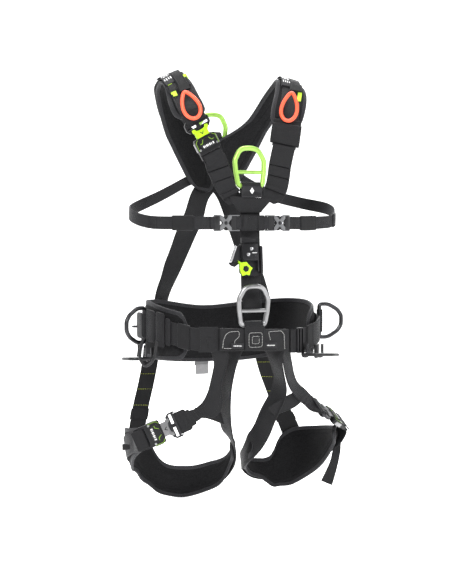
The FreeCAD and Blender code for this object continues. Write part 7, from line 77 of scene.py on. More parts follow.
    'leg_webbing_left': [[214.83, -69.33, -198.77, 0.5955, -0.4038, 0.6945, -0.1188, 0.8107, 0.5733, 44, 2.6], [222.42, -62.94, -206.92, 0.6478, -0.4072, 0.6438, -0.1098, 0.7608, 0.6396, 44, 2.6], [223.04, -55.73, -218.6, 0.824, -0.3946, 0.4065, -0.0598, 0.4981, 0.865, 44, 2.6], [221.01, -47.09, -230.48, 0.9421, -0.3239, 0.0869, 0.0179, 0.1273, 0.9917, 44, 2.6], [220.68, -36.39, -239.27, 0.9662, -0.2404, -0.0927, 0.0788, -0.0457, 0.9958, 44, 2.6], [222.97, -24.01, -244.59, 0.9785, -0.168, -0.12, 0.1191, -0.0253, 0.9926, 44, 2.6], [223.72, -11.66, -250.27, 0.9873, -0.08, -0.1375, 0.136, -0.0173, 0.9906, 44, 2.6], [223.37, 0.78, -255.83, 0.9904, 0.019, -0.1372, 0.1374, -0.0008, 0.9905, 44, 2.6], [221.73, 13.14, -261.32, 0.9835, 0.1261, -0.1295, 0.1284, 0.0159, 0.9916, 44, 2.6], [218.79, 25.33, -266.66, 0.964, 0.2376, -0.1196, 0.115, 0.0328, 0.9928, 44, 2.6], [214.5, 37.21, -271.75, 0.9289, 0.3532, -0.1118, 0.1015, 0.0475, 0.9937, 44, 2.6], [208.75, 48.64, -276.42, 0.874, 0.4745, -0.1048, 0.0878, 0.0578, 0.9945, 44, 2.6], [201.41, 59.41, -280.41, 0.7975, 0.5959, -0.0947, 0.0723, 0.0615, 0.9955, 44, 2.6], [192.53, 69.25, -283.55, 0.7102, 0.6997, -0.0784, 0.054, 0.0569, 0.9969, 44, 2.6], [182.48, 77.96, -286.53, 0.6283, 0.7758, -0.0579, 0.0347, 0.0464, 0.9983, 44, 2.6], [171.89, 85.39, -290.84, 0.5497, 0.8344, -0.0404, 0.0184, 0.0362, 0.9992, 44, 2.6], [161.76, 91.05, -297.9, 0.4574, 0.8886, -0.0338, 0.0102, 0.0327, 0.9994, 44, 2.6], [152.55, 94.77, -307.27, 0.3395, 0.9397, -0.0406, 0.0105, 0.0394, 0.9992, 44, 2.6], [142.14, 97.3, -315.67, 0.2091, 0.9763, -0.0565, 0.0099, 0.0556, 0.9984, 43.99, 2.6], [129.27, 98.98, -319.57, 0.0844, 0.9934, -0.0776, 0.0004, 0.0779, 0.997, 43.94, 2.6], [115.62, 99.39, -319.09, -0.0433, 0.9943, -0.0971, -0.0146, 0.0966, 0.9952, 43.73, 2.6], [102.17, 98.05, -316.86, -0.1881, 0.9763, -0.1065, -0.0276, 0.1032, 0.9943, 43.02, 2.6], [89.1, 94.61, -313.64, -0.346, 0.9327, -0.1016, -0.0358, 0.0951, 0.9948, 41.28, 2.6], [76.84, 89, -309.02, -0.5079, 0.857, -0.0876, -0.0408, 0.0776, 0.9961, 38.14, 2.6], [65.93, 81.29, -303.03, -0.6687, 0.7397, -0.075, -0.046, 0.0595, 0.9972, 34.24, 2.6], [57.03, 71.72, -296.8, -0.8059, 0.5876, -0.0728, -0.0541, 0.0494, 0.9973, 31.41, 2.6], [50.26, 60.96, -291.9, -0.8923, 0.4447, -0.0775, -0.0634, 0.0466, 0.9969, 31.41, 2.6], [45.08, 49.66, -288.73, -0.9348, 0.3463, -0.0788, -0.0684, 0.0423, 0.9968, 34.24, 2.6], [40.84, 38.2, -286, -0.9542, 0.291, -0.069, -0.0637, 0.0277, 0.9976, 38.14, 2.6], [37.2, 26.73, -282.25, -0.967, 0.25, -0.0484, -0.0494, 0.0026, 0.9988, 41.28, 2.6], [34.28, 15.29, -276.94, -0.9824, 0.1839, -0.0334, -0.0368, -0.0154, 0.9992, 43.02, 2.6], [32.46, 3.89, -270.29, -0.9964, 0.0735, -0.0429, -0.0429, -0.0003, 0.9991, 43.73, 2.6], [31.96, -7.35, -262.8, -0.9949, -0.0646, -0.0779, -0.0825, 0.0713, 0.994, 43.94, 2.6], [32.65, -18.29, -254.75, -0.974, -0.1928, -0.1187, -0.1585, 0.2055, 0.9657, 43.99, 2.6], [34.18, -28.81, -246.23, -0.9444, -0.293, -0.1491, -0.2595, 0.3859, 0.8853, 44, 2.6], [36.25, -38.84, -237.24, -0.9165, -0.3644, -0.1651, -0.3594, 0.5686, 0.7399, 44, 2.6], [38.59, -48.31, -227.73, -0.8955, -0.4112, -0.1704, -0.4309, 0.7053, 0.5629, 44, 2.6], [40.93, -57.16, -217.64, -0.8821, -0.4386, -0.1719, -0.4691, 0.7843, 0.4061, 44, 2.6], [42.97, -65.29, -206.9, -0.8749, -0.4531, -0.1712, -0.4843, 0.8224, 0.2985, 44, 2.6], [44.61, -72.61, -195.52, -0.8726, -0.4651, -0.1489, -0.4882, 0.8385, 0.2422, 44, 2.6], [46.4, -79.12, -183.69, -0.8703, -0.4861, -0.0792, -0.491, 0.8442, 0.2149, 44, 2.6], [49.29, -84.85, -171.67, -0.8576, -0.514, 0.0194, -0.5018, 0.8442, 0.1884, 44, 2.6], [53.37, -89.87, -159.68, -0.8441, -0.5287, 0.0896, -0.5135, 0.8451, 0.1488, 44, 2.6], [57.81, -94.42, -147.63, -0.8539, -0.5096, 0.1059, -0.5014, 0.86, 0.0951, 44, 2.6], [61.64, -98.67, -135.27, -0.8926, -0.4458, 0.0672, -0.4444, 0.8951, 0.0353, 44, 2.6], [63.72, -102.49, -122.35, -0.9423, -0.3333, -0.0309, -0.3333, 0.9428, -0.0024, 44, 2.6], [63.29, -105.73, -109.13, -0.9683, -0.1908, -0.1613, -0.1929, 0.9812, -0.0035, 44, 2.6], [60.59, -108.74, -96.12, -0.9541, -0.1119, -0.2777, -0.1171, 0.9931, 0.0023, 44, 2.6], [56.52, -111.6, -83.44, -0.9352, -0.1192, -0.3335, -0.1269, 0.9919, 0.0012, 44, 2.6], [52.27, -114.24, -70.77, -0.9313, -0.1633, -0.3257, -0.1726, 0.985, -0.0005, 44, 2.6], [48.57, -117.06, -57.96, -0.9124, -0.273, -0.3048, -0.2866, 0.9581, -0.0002, 44, 2.6], [45.69, -120.84, -45.19, -0.7728, -0.5398, -0.3338, -0.5727, 0.8197, 0.0001, 44, 2.6], [43.26, -125.17, -32.5, -0.4685, -0.81, -0.3527, -0.8657, 0.5006, -0.0001, 44, 2.6], [40.6, -129, -19.7, -0.0948, -0.9485, -0.3024, -0.995, 0.0995, 0, 44, 2.6]],
    'leg_front_webbing_right': [[-81, -130, -13.85, -0.0517, -0.9987, -0.0004, 0.9983, -0.0517, -0.0273, 38.69, 2.6], [-79.24, -130.05, -23.57, -0.0619, -0.9977, -0.0291, 0.9913, -0.0581, -0.118, 39.61, 2.6], [-76.6, -129.71, -33.08, -0.083, -0.9933, -0.0806, 0.992, -0.0747, -0.1016, 37.59, 2.6], [-73.82, -128.97, -42.53, -0.101, -0.9869, -0.1259, 0.9948, -0.0988, -0.0237, 34.07, 2.6], [-71.63, -127.79, -52.1, -0.1123, -0.9804, -0.1618, 0.9892, -0.1258, 0.0752, 30.55, 2.6], [-70.83, -126.14, -61.8, -0.1223, -0.9748, -0.1866, 0.9821, -0.1459, 0.1187, 27.94, 2.6], [-71.52, -124.11, -71.44, -0.1376, -0.9704, -0.1986, 0.9851, -0.155, 0.075, 26.29, 2.6], [-73.09, -121.91, -80.95, -0.1557, -0.9675, -0.1993, 0.9873, -0.1589, -0.0001, 25.22, 2.6], [-74.95, -119.67, -90.39, -0.1718, -0.9658, -0.1941, 0.9851, -0.1668, -0.0422, 24.16, 2.6], [-76.62, -117.48, -99.88, -0.1819, -0.9649, -0.1892, 0.9832, -0.1751, -0.0523, 23.46, 2.6], [-77.63, -115.41, -109.49, -0.1797, -0.9659, -0.1867, 0.9822, -0.1656, -0.0885, 24.43, 2.6], [-77.71, -113.55, -119.19, -0.1639, -0.9699, -0.1801, 0.9746, -0.131, -0.1816, 28.25, 2.6], [-77.6, -111.82, -128.92, -0.1453, -0.9755, -0.1654, 0.9512, -0.0917, -0.2945, 33.91, 2.6], [-78.61, -110.13, -138.6, -0.1316, -0.9807, -0.1449, 0.9112, -0.062, -0.4073, 39.13, 2.6], [-82, -108.46, -147.71, -0.1274, -0.9844, -0.1216, 0.8463, -0.044, -0.5308, 41.4, 2.6], [-88.19, -106.82, -155.24, -0.1303, -0.9865, -0.0993, 0.7553, -0.0339, -0.6545, 39.87, 2.6], [-96.85, -105.3, -159.53, -0.1299, -0.9878, -0.0855, 0.6916, -0.0283, -0.7218, 34.46, 2.6], [-106.52, -103.83, -161.26, -0.1197, -0.9886, -0.0912, 0.6689, -0.0129, -0.7432, 25.36, 2.6], [-115.87, -103.16, -164.24, -0.1524, -0.986, -0.0679, 0.5918, -0.0323, -0.8054, 22.73, 2.6], [-124.86, -103.33, -168.54, -0.2421, -0.9702, -0.0007, 0.4702, -0.11, -0.8757, 29.71, 2.6], [-133.58, -102.78, -173.18, -0.3209, -0.9452, 0.0607, 0.3653, -0.1817, -0.913, 37.89, 2.6], [-142.12, -99.94, -177.2, -0.3278, -0.9424, 0.0662, 0.356, -0.1882, -0.9154, 38.69, 2.6]],
    'leg_front_webbing_left': [[70.81, -124, -19.07, 0.5648, -0.8066, -0.1743, 0.8138, 0.5794, -0.0441, 44, 2.6], [69.01, -123.38, -27.75, 0.6212, -0.7711, -0.1394, 0.7743, 0.6314, -0.0422, 44, 2.6], [68.62, -122.62, -36.6, 0.6621, -0.7474, -0.0555, 0.7461, 0.6643, -0.0445, 44, 2.6], [69.38, -121.74, -45.42, 0.6831, -0.7302, 0.0124, 0.7298, 0.682, -0.0485, 44, 2.6], [70.95, -120.73, -54.11, 0.6909, -0.7209, 0.0546, 0.723, 0.6889, -0.0514, 44, 2.6], [72.95, -119.62, -62.7, 0.6912, -0.7194, 0.0685, 0.7226, 0.6894, -0.0505, 44, 2.6], [75.08, -118.4, -71.25, 0.6882, -0.7225, 0.0655, 0.7254, 0.687, -0.0432, 44, 2.6], [77.25, -117.07, -79.77, 0.6838, -0.7264, 0.0688, 0.7292, 0.6837, -0.0292, 44, 2.6], [79.64, -115.71, -88.23, 0.6779, -0.7296, 0.0907, 0.7333, 0.6798, -0.0118, 44, 2.6], [82.41, -114.37, -96.57, 0.6695, -0.7313, 0.1307, 0.737, 0.6758, 0.0062, 44, 2.6], [85.78, -113.03, -104.68, 0.6549, -0.7318, 0.1889, 0.7413, 0.6706, 0.0283, 44, 2.6], [90.03, -111.63, -112.37, 0.6254, -0.7342, 0.2642, 0.7478, 0.6607, 0.0657, 44, 2.6], [95.38, -110.13, -119.31, 0.5769, -0.7466, 0.3313, 0.7564, 0.6414, 0.1283, 44, 2.6], [101.56, -108.54, -125.49, 0.5304, -0.7703, 0.3539, 0.7609, 0.6166, 0.2019, 44, 2.6], [108.05, -106.93, -131.36, 0.511, -0.7864, 0.347, 0.7568, 0.6031, 0.2522, 44, 2.6], [114.5, -105.32, -137.25, 0.5195, -0.778, 0.3533, 0.744, 0.6152, 0.2607, 44, 2.6], [120.97, -103.64, -143.15, 0.5392, -0.7507, 0.3817, 0.7213, 0.6456, 0.251, 44, 2.6], [127.5, -101.95, -148.83, 0.5631, -0.7162, 0.4122, 0.6814, 0.685, 0.2579, 44, 2.6], [134.21, -99.53, -154.63, 0.5925, -0.703, 0.3934, 0.6552, 0.7031, 0.2763, 44, 2.6], [140.05, -98.61, -159.54, 0.6189, -0.6773, 0.3979, 0.5715, 0.7429, 0.3487, 44, 2.6], [142.08, -107.89, -158.76, 0.599, -0.4177, 0.6831, -0.0894, 0.8167, 0.57, 44, 2.6], [148.73, -104.6, -162.59, 0.5955, -0.4038, 0.6945, -0.1188, 0.8107, 0.5733, 44, 2.6]],
    'leg_bridge_right': [[-56.17, -88, -166.37, 0.5211, -0.852, 0.0506, 0.35, 0.1592, -0.9231, 50.25, 2.2], [-62.36, -91.63, -163.73, 0.4805, -0.876, 0.0422, 0.3121, 0.1258, -0.9417, 48.5, 2.2], [-69.35, -94.99, -161.31, 0.395, -0.9186, 0.012, 0.2625, 0.1003, -0.9597, 45.42, 2.2], [-76.91, -97.83, -159.37, 0.3002, -0.9538, -0.0155, 0.2043, 0.0802, -0.9756, 41.23, 2.2], [-84.8, -99.9, -158.18, 0.1902, -0.9811, -0.0357, 0.1416, 0.0634, -0.9879, 36.1, 2.2], [-92.78, -100.95, -158.01, 0.0553, -0.9975, -0.0433, 0.0815, 0.0478, -0.9955, 30.13, 2.2], [-100.61, -100.74, -159.14, -0.1184, -0.9924, -0.0344, 0.0401, 0.0299, -0.9987, 23.35, 2.2], [-108.06, -99, -161.82, -0.2224, -0.9749, -0.0145, 0.0651, 0, -0.9979, 15.74, 2.2]],
    'leg_bridge_left': [[48.18, -99, -167.73, -0.2315, -0.9211, -0.3131, 0.6596, 0.0879, -0.7464, 22.75, 2.2], [55.02, -102.24, -163.24, -0.2155, -0.9227, -0.3196, 0.6491, 0.1092, -0.7528, 24.32, 2.2], [62.13, -105.29, -158.97, -0.2053, -0.9357, -0.2868, 0.5935, 0.114, -0.7967, 26.2, 2.2], [69.48, -107.98, -154.86, -0.183, -0.9541, -0.237, 0.5233, 0.1095, -0.8451, 28.17, 2.2], [77.03, -110.16, -150.86, -0.138, -0.9729, -0.1856, 0.4632, 0.1022, -0.8803, 29.78, 2.2], [84.75, -111.67, -146.92, -0.0671, -0.9879, -0.1395, 0.4329, 0.0972, -0.8962, 30.4, 2.2], [92.6, -112.33, -142.99, 0.0275, -0.9949, -0.0973, 0.4524, 0.0992, -0.8863, 29.34, 2.2], [100.55, -112, -139.02, 0.0824, -0.9932, -0.0822, 0.5554, 0.1143, -0.8237, 26.26, 2.2]],
    'rear_elastic_right': [[-131.22, 106, -45.08, -0.1493, 0.9877, -0.0469, 0.9881, 0.1472, -0.0448, 37, 1.8], [-132.41, 105.26, -56.79, -0.1494, 0.9878, -0.0449, 0.988, 0.1473, -0.0467, 37, 1.8], [-134.03, 104.51, -68.44, -0.1494, 0.9878, -0.0435, 0.9879, 0.1473, -0.0487, 37, 1.8], [-136.04, 103.69, -80.03, -0.1499, 0.9876, -0.0473, 0.9878, 0.1475, -0.0507, 37, 1.8], [-138.39, 102.74, -91.55, -0.1512, 0.9869, -0.0562, 0.9875, 0.1483, -0.0528, 37, 1.8], [-141.03, 101.62, -102.98, -0.1539, 0.9856, -0.0701, 0.9871, 0.1502, -0.0549, 37, 1.8], [-143.94, 100.26, -114.32, -0.1581, 0.9837, -0.0855, 0.9865, 0.1536, -0.0571, 37, 1.8], [-147.07, 98.68, -125.58, -0.163, 0.9819, -0.0966, 0.9857, 0.1578, -0.0595, 37, 1.8], [-150.42, 96.98, -136.75, -0.1664, 0.9808, -0.1017, 0.9851, 0.1607, -0.0617, 37, 1.8], [-153.93, 95.21, -147.87, -0.1666, 0.9804, -0.105, 0.985, 0.1606, -0.0637, 37, 1.8], [-157.39, 93.41, -158.99, -0.1647, 0.9802, -0.1097, 0.9852, 0.1582, -0.0654, 37, 1.8], [-160.56, 91.6, -170.2, -0.162, 0.9801, -0.1149, 0.9856, 0.1551, -0.067, 37, 1.8], [-163.39, 89.78, -181.49, -0.1592, 0.9801, -0.1185, 0.986, 0.1519, -0.0686, 37, 1.8], [-166.1, 87.96, -192.83, -0.1562, 0.9806, -0.1186, 0.9864, 0.1486, -0.0702, 37, 1.8], [-168.8, 86.17, -204.17, -0.1529, 0.982, -0.1106, 0.9867, 0.1456, -0.0718, 37, 1.8], [-171.34, 84.58, -215.57, -0.1508, 0.9845, -0.0894, 0.9868, 0.1445, -0.0736, 37, 1.8], [-173.47, 83.38, -227.09, -0.1517, 0.9869, -0.0543, 0.9862, 0.1474, -0.076, 37, 1.8], [-174.96, 82.75, -238.78, -0.1593, 0.9867, -0.0327, 0.9845, 0.1564, -0.0791, 37, 1.8]],
    'rear_elastic_left': [[119.13, 114.25, -54.05, 0.1611, 0.9854, -0.0555, 0.9865, -0.1624, -0.0194, 40, 1.8], [121.52, 113.18, -66.1, 0.1531, 0.9862, -0.0636, 0.9873, -0.1555, -0.0332, 40, 1.8], [124.1, 111.93, -78.09, 0.1538, 0.9852, -0.0754, 0.9873, -0.1563, -0.0278, 40, 1.8], [126.86, 110.51, -90.02, 0.1591, 0.9836, -0.0845, 0.9868, -0.1609, -0.0156, 40, 1.8], [129.82, 108.96, -101.89, 0.1641, 0.9822, -0.0917, 0.9861, -0.1657, -0.0092, 40, 1.8], [132.99, 107.28, -113.69, 0.1633, 0.9816, -0.0989, 0.9858, -0.1663, -0.0226, 40, 1.8], [136.35, 105.5, -125.42, 0.1528, 0.9823, -0.1081, 0.9851, -0.1601, -0.0622, 40, 1.8], [139.92, 103.63, -137.07, 0.1398, 0.9831, -0.1179, 0.9829, -0.1522, -0.104, 40, 1.8], [143.68, 101.67, -148.65, 0.1343, 0.983, -0.1249, 0.9813, -0.1495, -0.1216, 40, 1.8], [147.58, 99.65, -160.17, 0.1389, 0.982, -0.1279, 0.9821, -0.1532, -0.1094, 40, 1.8], [151.5, 97.57, -171.67, 0.1461, 0.9809, -0.1288, 0.984, -0.1575, -0.0836, 40, 1.8], [155.33, 95.47, -183.21, 0.1485, 0.981, -0.1245, 0.9858, -0.1569, -0.0603, 40, 1.8], [159.25, 93.47, -194.73, 0.1505, 0.983, -0.105, 0.9877, -0.154, -0.0265, 40, 1.8], [163.57, 91.76, -206.14, 0.1593, 0.985, -0.0666, 0.9864, -0.1561, 0.0511, 40, 1.8], [168.37, 90.46, -217.43, 0.1702, 0.9852, -0.0196, 0.9704, -0.1642, 0.1773, 40, 1.8], [173.31, 89.63, -228.7, 0.1724, 0.9848, 0.0227, 0.9395, -0.1714, 0.2967, 40, 1.8], [178.03, 89.29, -240.09, 0.1641, 0.9848, 0.0576, 0.9209, -0.1738, 0.3489, 40, 1.8], [182.15, 89.5, -251.72, 0.1547, 0.9853, 0.0725, 0.9443, -0.169, 0.2824, 40, 1.8]],
    'sternal_ring_loop': [[0.67, -111.96, 260.4, 0, -0.995, 0.0995, 1, 0, 0, 40, 2.4], [0.67, -111.46, 265.38, 0, -0.995, 0.0995, 1, 0, 0, 40, 2.4], [0.67, -110.96, 270.35, 0, -0.995, 0.0995, 1, 0, 0, 40, 2.4], [0.67, -110.47, 275.33, 0, -0.995, 0.0995, 1, 0, 0, 40, 2.4], [0.67, -109.97, 280.3, 0, -0.995, 0.0995, 1, 0, 0, 40, 2.4], [0.67, -109.05, 283.05, 0, -0.8533, 0.5214, 1, 0, 0, 40, 2.4], [0.67, -107.03, 285.12, 0, -0.5426, 0.84, 1, 0, 0, 40, 2.4], [0.67, -104.31, 286.11, 0, -0.1244, 0.9922, 1, 0, 0, 40, 2.4], [0.67, -101.43, 285.82, 0, 0.3184, 0.9479, 1, 0, 0, 40, 2.4], [0.67, -98.96, 284.31, 0, 0.6982, 0.7159, 1, 0, 0, 40, 2.4], [0.67, -97.39, 281.88, 0, 0.9397, 0.3421, 1, 0, 0, 40, 2.4], [0.67, -97.03, 279.01, 0, 0.995, -0.0995, 1, 0, 0, 40, 2.4], [0.67, -97.53, 274.04, 0, 0.995, -0.0995, 1, 0, 0, 40, 2.4], [0.67, -98.03, 269.06, 0, 0.995, -0.0995, 1, 0, 0, 40, 2.4], [0.67, -98.52, 264.08, 0, 0.995, -0.0995, 1, 0, 0, 40, 2.4], [0.67, -99.02, 259.11, 0, 0.995, -0.0995, 1, 0, 0, 40, 2.4]],
    'ventral_ring_loop': [[-6.07, -139.21, 2.05, 0, -0.9982, -0.0599, 1, 0, 0, 38, 2.4], [-6.07, -139.33, 4.05, 0, -0.9982, -0.0599, 1, 0, 0, 38, 2.4], [-6.07, -139.45, 6.04, 0, -0.9982, -0.0599, 1, 0, 0, 38, 2.4], [-6.07, -139.57, 8.04, 0, -0.9982, -0.0599, 1, 0, 0, 38, 2.4], [-6.07, -139.69, 10.04, 0, -0.9982, -0.0599, 1, 0, 0, 38, 2.4], [-6.07, -139.24, 12.76, 0, -0.9253, 0.3791, 1, 0, 0, 38, 2.4], [-6.07, -137.65, 15.01, 0, -0.6692, 0.7431, 1, 0, 0, 38, 2.4], [-6.07, -135.24, 16.36, 0, -0.2805, 0.9599, 1, 0, 0, 38, 2.4], [-6.07, -132.48, 16.52, 0, 0.1637, 0.9865, 1, 0, 0, 38, 2.4], [-6.07, -129.93, 15.48, 0, 0.5755, 0.8178, 1, 0, 0, 38, 2.4], [-6.07, -128.09, 13.43, 0, 0.8734, 0.4871, 1, 0, 0, 38, 2.4], [-6.07, -127.31, 10.78, 0, 0.9982, 0.0599, 1, 0, 0, 38, 2.4], [-6.07, -127.19, 8.78, 0, 0.9982, 0.0599, 1, 0, 0, 38, 2.4], [-6.07, -127.07, 6.79, 0, 0.9982, 0.0599, 1, 0, 0, 38, 2.4], [-6.07, -126.95, 4.79, 0, 0.9982, 0.0599, 1, 0, 0, 38, 2.4], [-6.07, -126.83, 2.79, 0, 0.9982, 0.0599, 1, 0, 0, 38, 2.4]],
    'dorsal_ring_loop': [[6, 128.16, 334.74, 0, 0.995, 0.0995, -1, 0, 0, 40, 2], [6, 127.56, 340.71, 0, 0.995, 0.0995, -1, 0, 0, 40, 2], [6, 126.96, 346.68, 0, 0.995, 0.0995, -1, 0, 0, 40, 2], [6, 126.37, 352.65, 0, 0.995, 0.0995, -1, 0, 0, 40, 2], [6, 125.77, 358.62, 0, 0.995, 0.0995, -1, 0, 0, 40, 2], [6, 124.89, 361.23, 0, 0.8533, 0.5214, -1, 0, 0, 40, 2], [6, 122.96, 363.21, 0, 0.5426, 0.84, -1, 0, 0, 40, 2], [6, 120.37, 364.15, 0, 0.1244, 0.9922, -1, 0, 0, 40, 2], [6, 117.63, 363.88, 0, -0.3184, 0.9479, -1, 0, 0, 40, 2], [6, 115.27, 362.44, 0, -0.6982, 0.7159, -1, 0, 0, 40, 2], [6, 113.77, 360.12, 0, -0.9397, 0.3421, -1, 0, 0, 40, 2], [6, 113.43, 357.38, 0, -0.995, -0.0995, -1, 0, 0, 40, 2], [6, 114.03, 351.41, 0, -0.995, -0.0995, -1, 0, 0, 40, 2], [6, 114.62, 345.44, 0, -0.995, -0.0995, -1, 0, 0, 40, 2], [6, 115.22, 339.47, 0, -0.995, -0.0995, -1, 0, 0, 40, 2], [6, 115.82, 333.5, 0, -0.995, -0.0995, -1, 0, 0, 40, 2]],
    'side_ring_loop_right': [[-182.28, -15.62, 6.09, 0.4552, -0.8904, 0, 0, 0, 1, 46, 2.2], [-184.95, -16.99, 6.09, 0.4552, -0.8904, 0, 0, 0, 1, 46, 2.2], [-187.37, -17.6, 6.09, 0.0238, -0.9997, 0, 0, 0, 1, 46, 2.2], [-189.81, -17.1, 6.09, -0.4123, -0.911, 0, 0, 0, 1, 46, 2.2], [-191.79, -15.59, 6.09, -0.7668, -0.6419, 0, 0, 0, 1, 46, 2.2], [-192.93, -13.38, 6.09, -0.9694, -0.2457, 0, 0, 0, 1, 46, 2.2], [-192.99, -10.88, 6.09, -0.9799, 0.1993, 0, 0, 0, 1, 46, 2.2], [-191.96, -8.61, 6.09, -0.7964, 0.6047, 0, 0, 0, 1, 46, 2.2], [-190.05, -7.01, 6.09, -0.4552, 0.8904, 0, 0, 0, 1, 46, 2.2], [-187.38, -5.65, 6.09, -0.4552, 0.8904, 0, 0, 0, 1, 46, 2.2]],
    'side_ring_loop_left': [[183, -35.6, 6.15, 0, -1, 0, 0, 0, -1, 46, 2.2], [186, -35.6, 6.15, 0, -1, 0, 0, 0, -1, 46, 2.2], [188.43, -35.05, 6.15, 0.4339, -0.901, 0, 0, 0, -1, 46, 2.2], [190.38, -33.49, 6.15, 0.7818, -0.6235, 0, 0, 0, -1, 46, 2.2], [191.46, -31.25, 6.15, 0.9749, -0.2225, 0, 0, 0, -1, 46, 2.2], [191.46, -28.75, 6.15, 0.9749, 0.2225, 0, 0, 0, -1, 46, 2.2], [190.38, -26.51, 6.15, 0.7818, 0.6235, 0, 0, 0, -1, 46, 2.2], [188.43, -24.95, 6.15, 0.4339, 0.901, 0, 0, 0, -1, 46, 2.2], [186, -24.4, 6.15, 0, 1, 0, 0, 0, -1, 46, 2.2], [183, -24.4, 6.15, 0, 1, 0, 0, 0, -1, 46, 2.2]],
    'chest_keeper_right': [[-159.37, -96.36, 207.99, -0.3946, -0.9189, 0.0006, 0.0008, 0.0003, 1, 25, 2], [-149.85, -99.95, 207.85, -0.3231, -0.9464, 0.0006, 0.0008, 0.0003, 1, 25, 2], [-140.11, -102.9, 207.72, -0.2659, -0.964, 0.0002, 0.0003, 0.0001, 1, 25, 2], [-130.22, -105.29, 207.64, -0.223, -0.9748, -0.0001, -0.0002, -0.0001, 1, 25, 2], [-120.27, -107.42, 207.62, -0.1816, -0.9834, -0.0001, -0.0002, -0.0001, 1, 25, 2]],
    'chest_keeper_left': [[148.5, -88.9, 207.29, 0.3697, -0.9292, 0.0011, -0.0014, 0.0006, 1, 25, 2], [138.34, -92.66, 206.91, 0.3435, -0.9391, 0.0005, -0.0008, 0.0003, 1, 25, 2], [128.09, -96.23, 206.65, 0.3232, -0.9463, 0, 0, 0, 1, 25, 2], [118.06, -100.32, 206.63, 0.277, -0.9609, -0.0003, 0.0004, -0.0002, 1, 25, 2], [108.29, -105.05, 206.85, 0.1914, -0.9815, -0.0003, 0.0004, -0.0001, 1, 25, 2]],
    'sternal_junction': [[-0.87, -108.9, 257.62, 0, -1, 0, 0.9989, 0, -0.0466, 95.51, 1.2], [-0.92, -108.9, 251.68, 0, -1, 0, 0.9995, 0, -0.0325, 85.87, 1.2], [-0.97, -108.9, 245.74, 0, -1, 0, 0.9998, 0, -0.0176, 75.53, 1.2], [-1.01, -108.9, 239.79, 0, -1, 0, 1, 0, -0.0039, 64.91, 1.2], [-1.05, -108.9, 233.85, 0, -1, 0, 1, 0, 0.0048, 54.43, 1.2], [-1.07, -108.9, 227.91, 0, -1, 0, 1, 0, 0.0005, 44.54, 1.2]],
    'belt_keepers': [[[-128.19, -108.6, -14.52, -0.5486, -0.8361, 0, 0, 0, 1, 44, 2.6], [-134.66, -104.05, -12.64, -0.6016, -0.7988, 0, 0, 0, 1, 44, 2.6], [-140.81, -99.08, -10.77, -0.655, -0.7556, 0, 0, 0, 1, 44, 2.6], [-146.63, -93.66, -9.08, -0.7078, -0.7064, 0, 0, 0, 1, 44, 2.6]], [[135.23, -103.62, -17.22, 0.6065, -0.7951, 0, 0, 0, 1, 44, 2.6], [129.28, -107.87, -18.6, 0.5573, -0.8303, 0, 0, 0, 1, 44, 2.6], [123.07, -111.79, -19.89, 0.5088, -0.8609, 0, 0, 0, 1, 44, 2.6], [116.64, -115.35, -21.06, 0.4615, -0.8871, 0, 0, 0, 1, 44, 2.6]]],
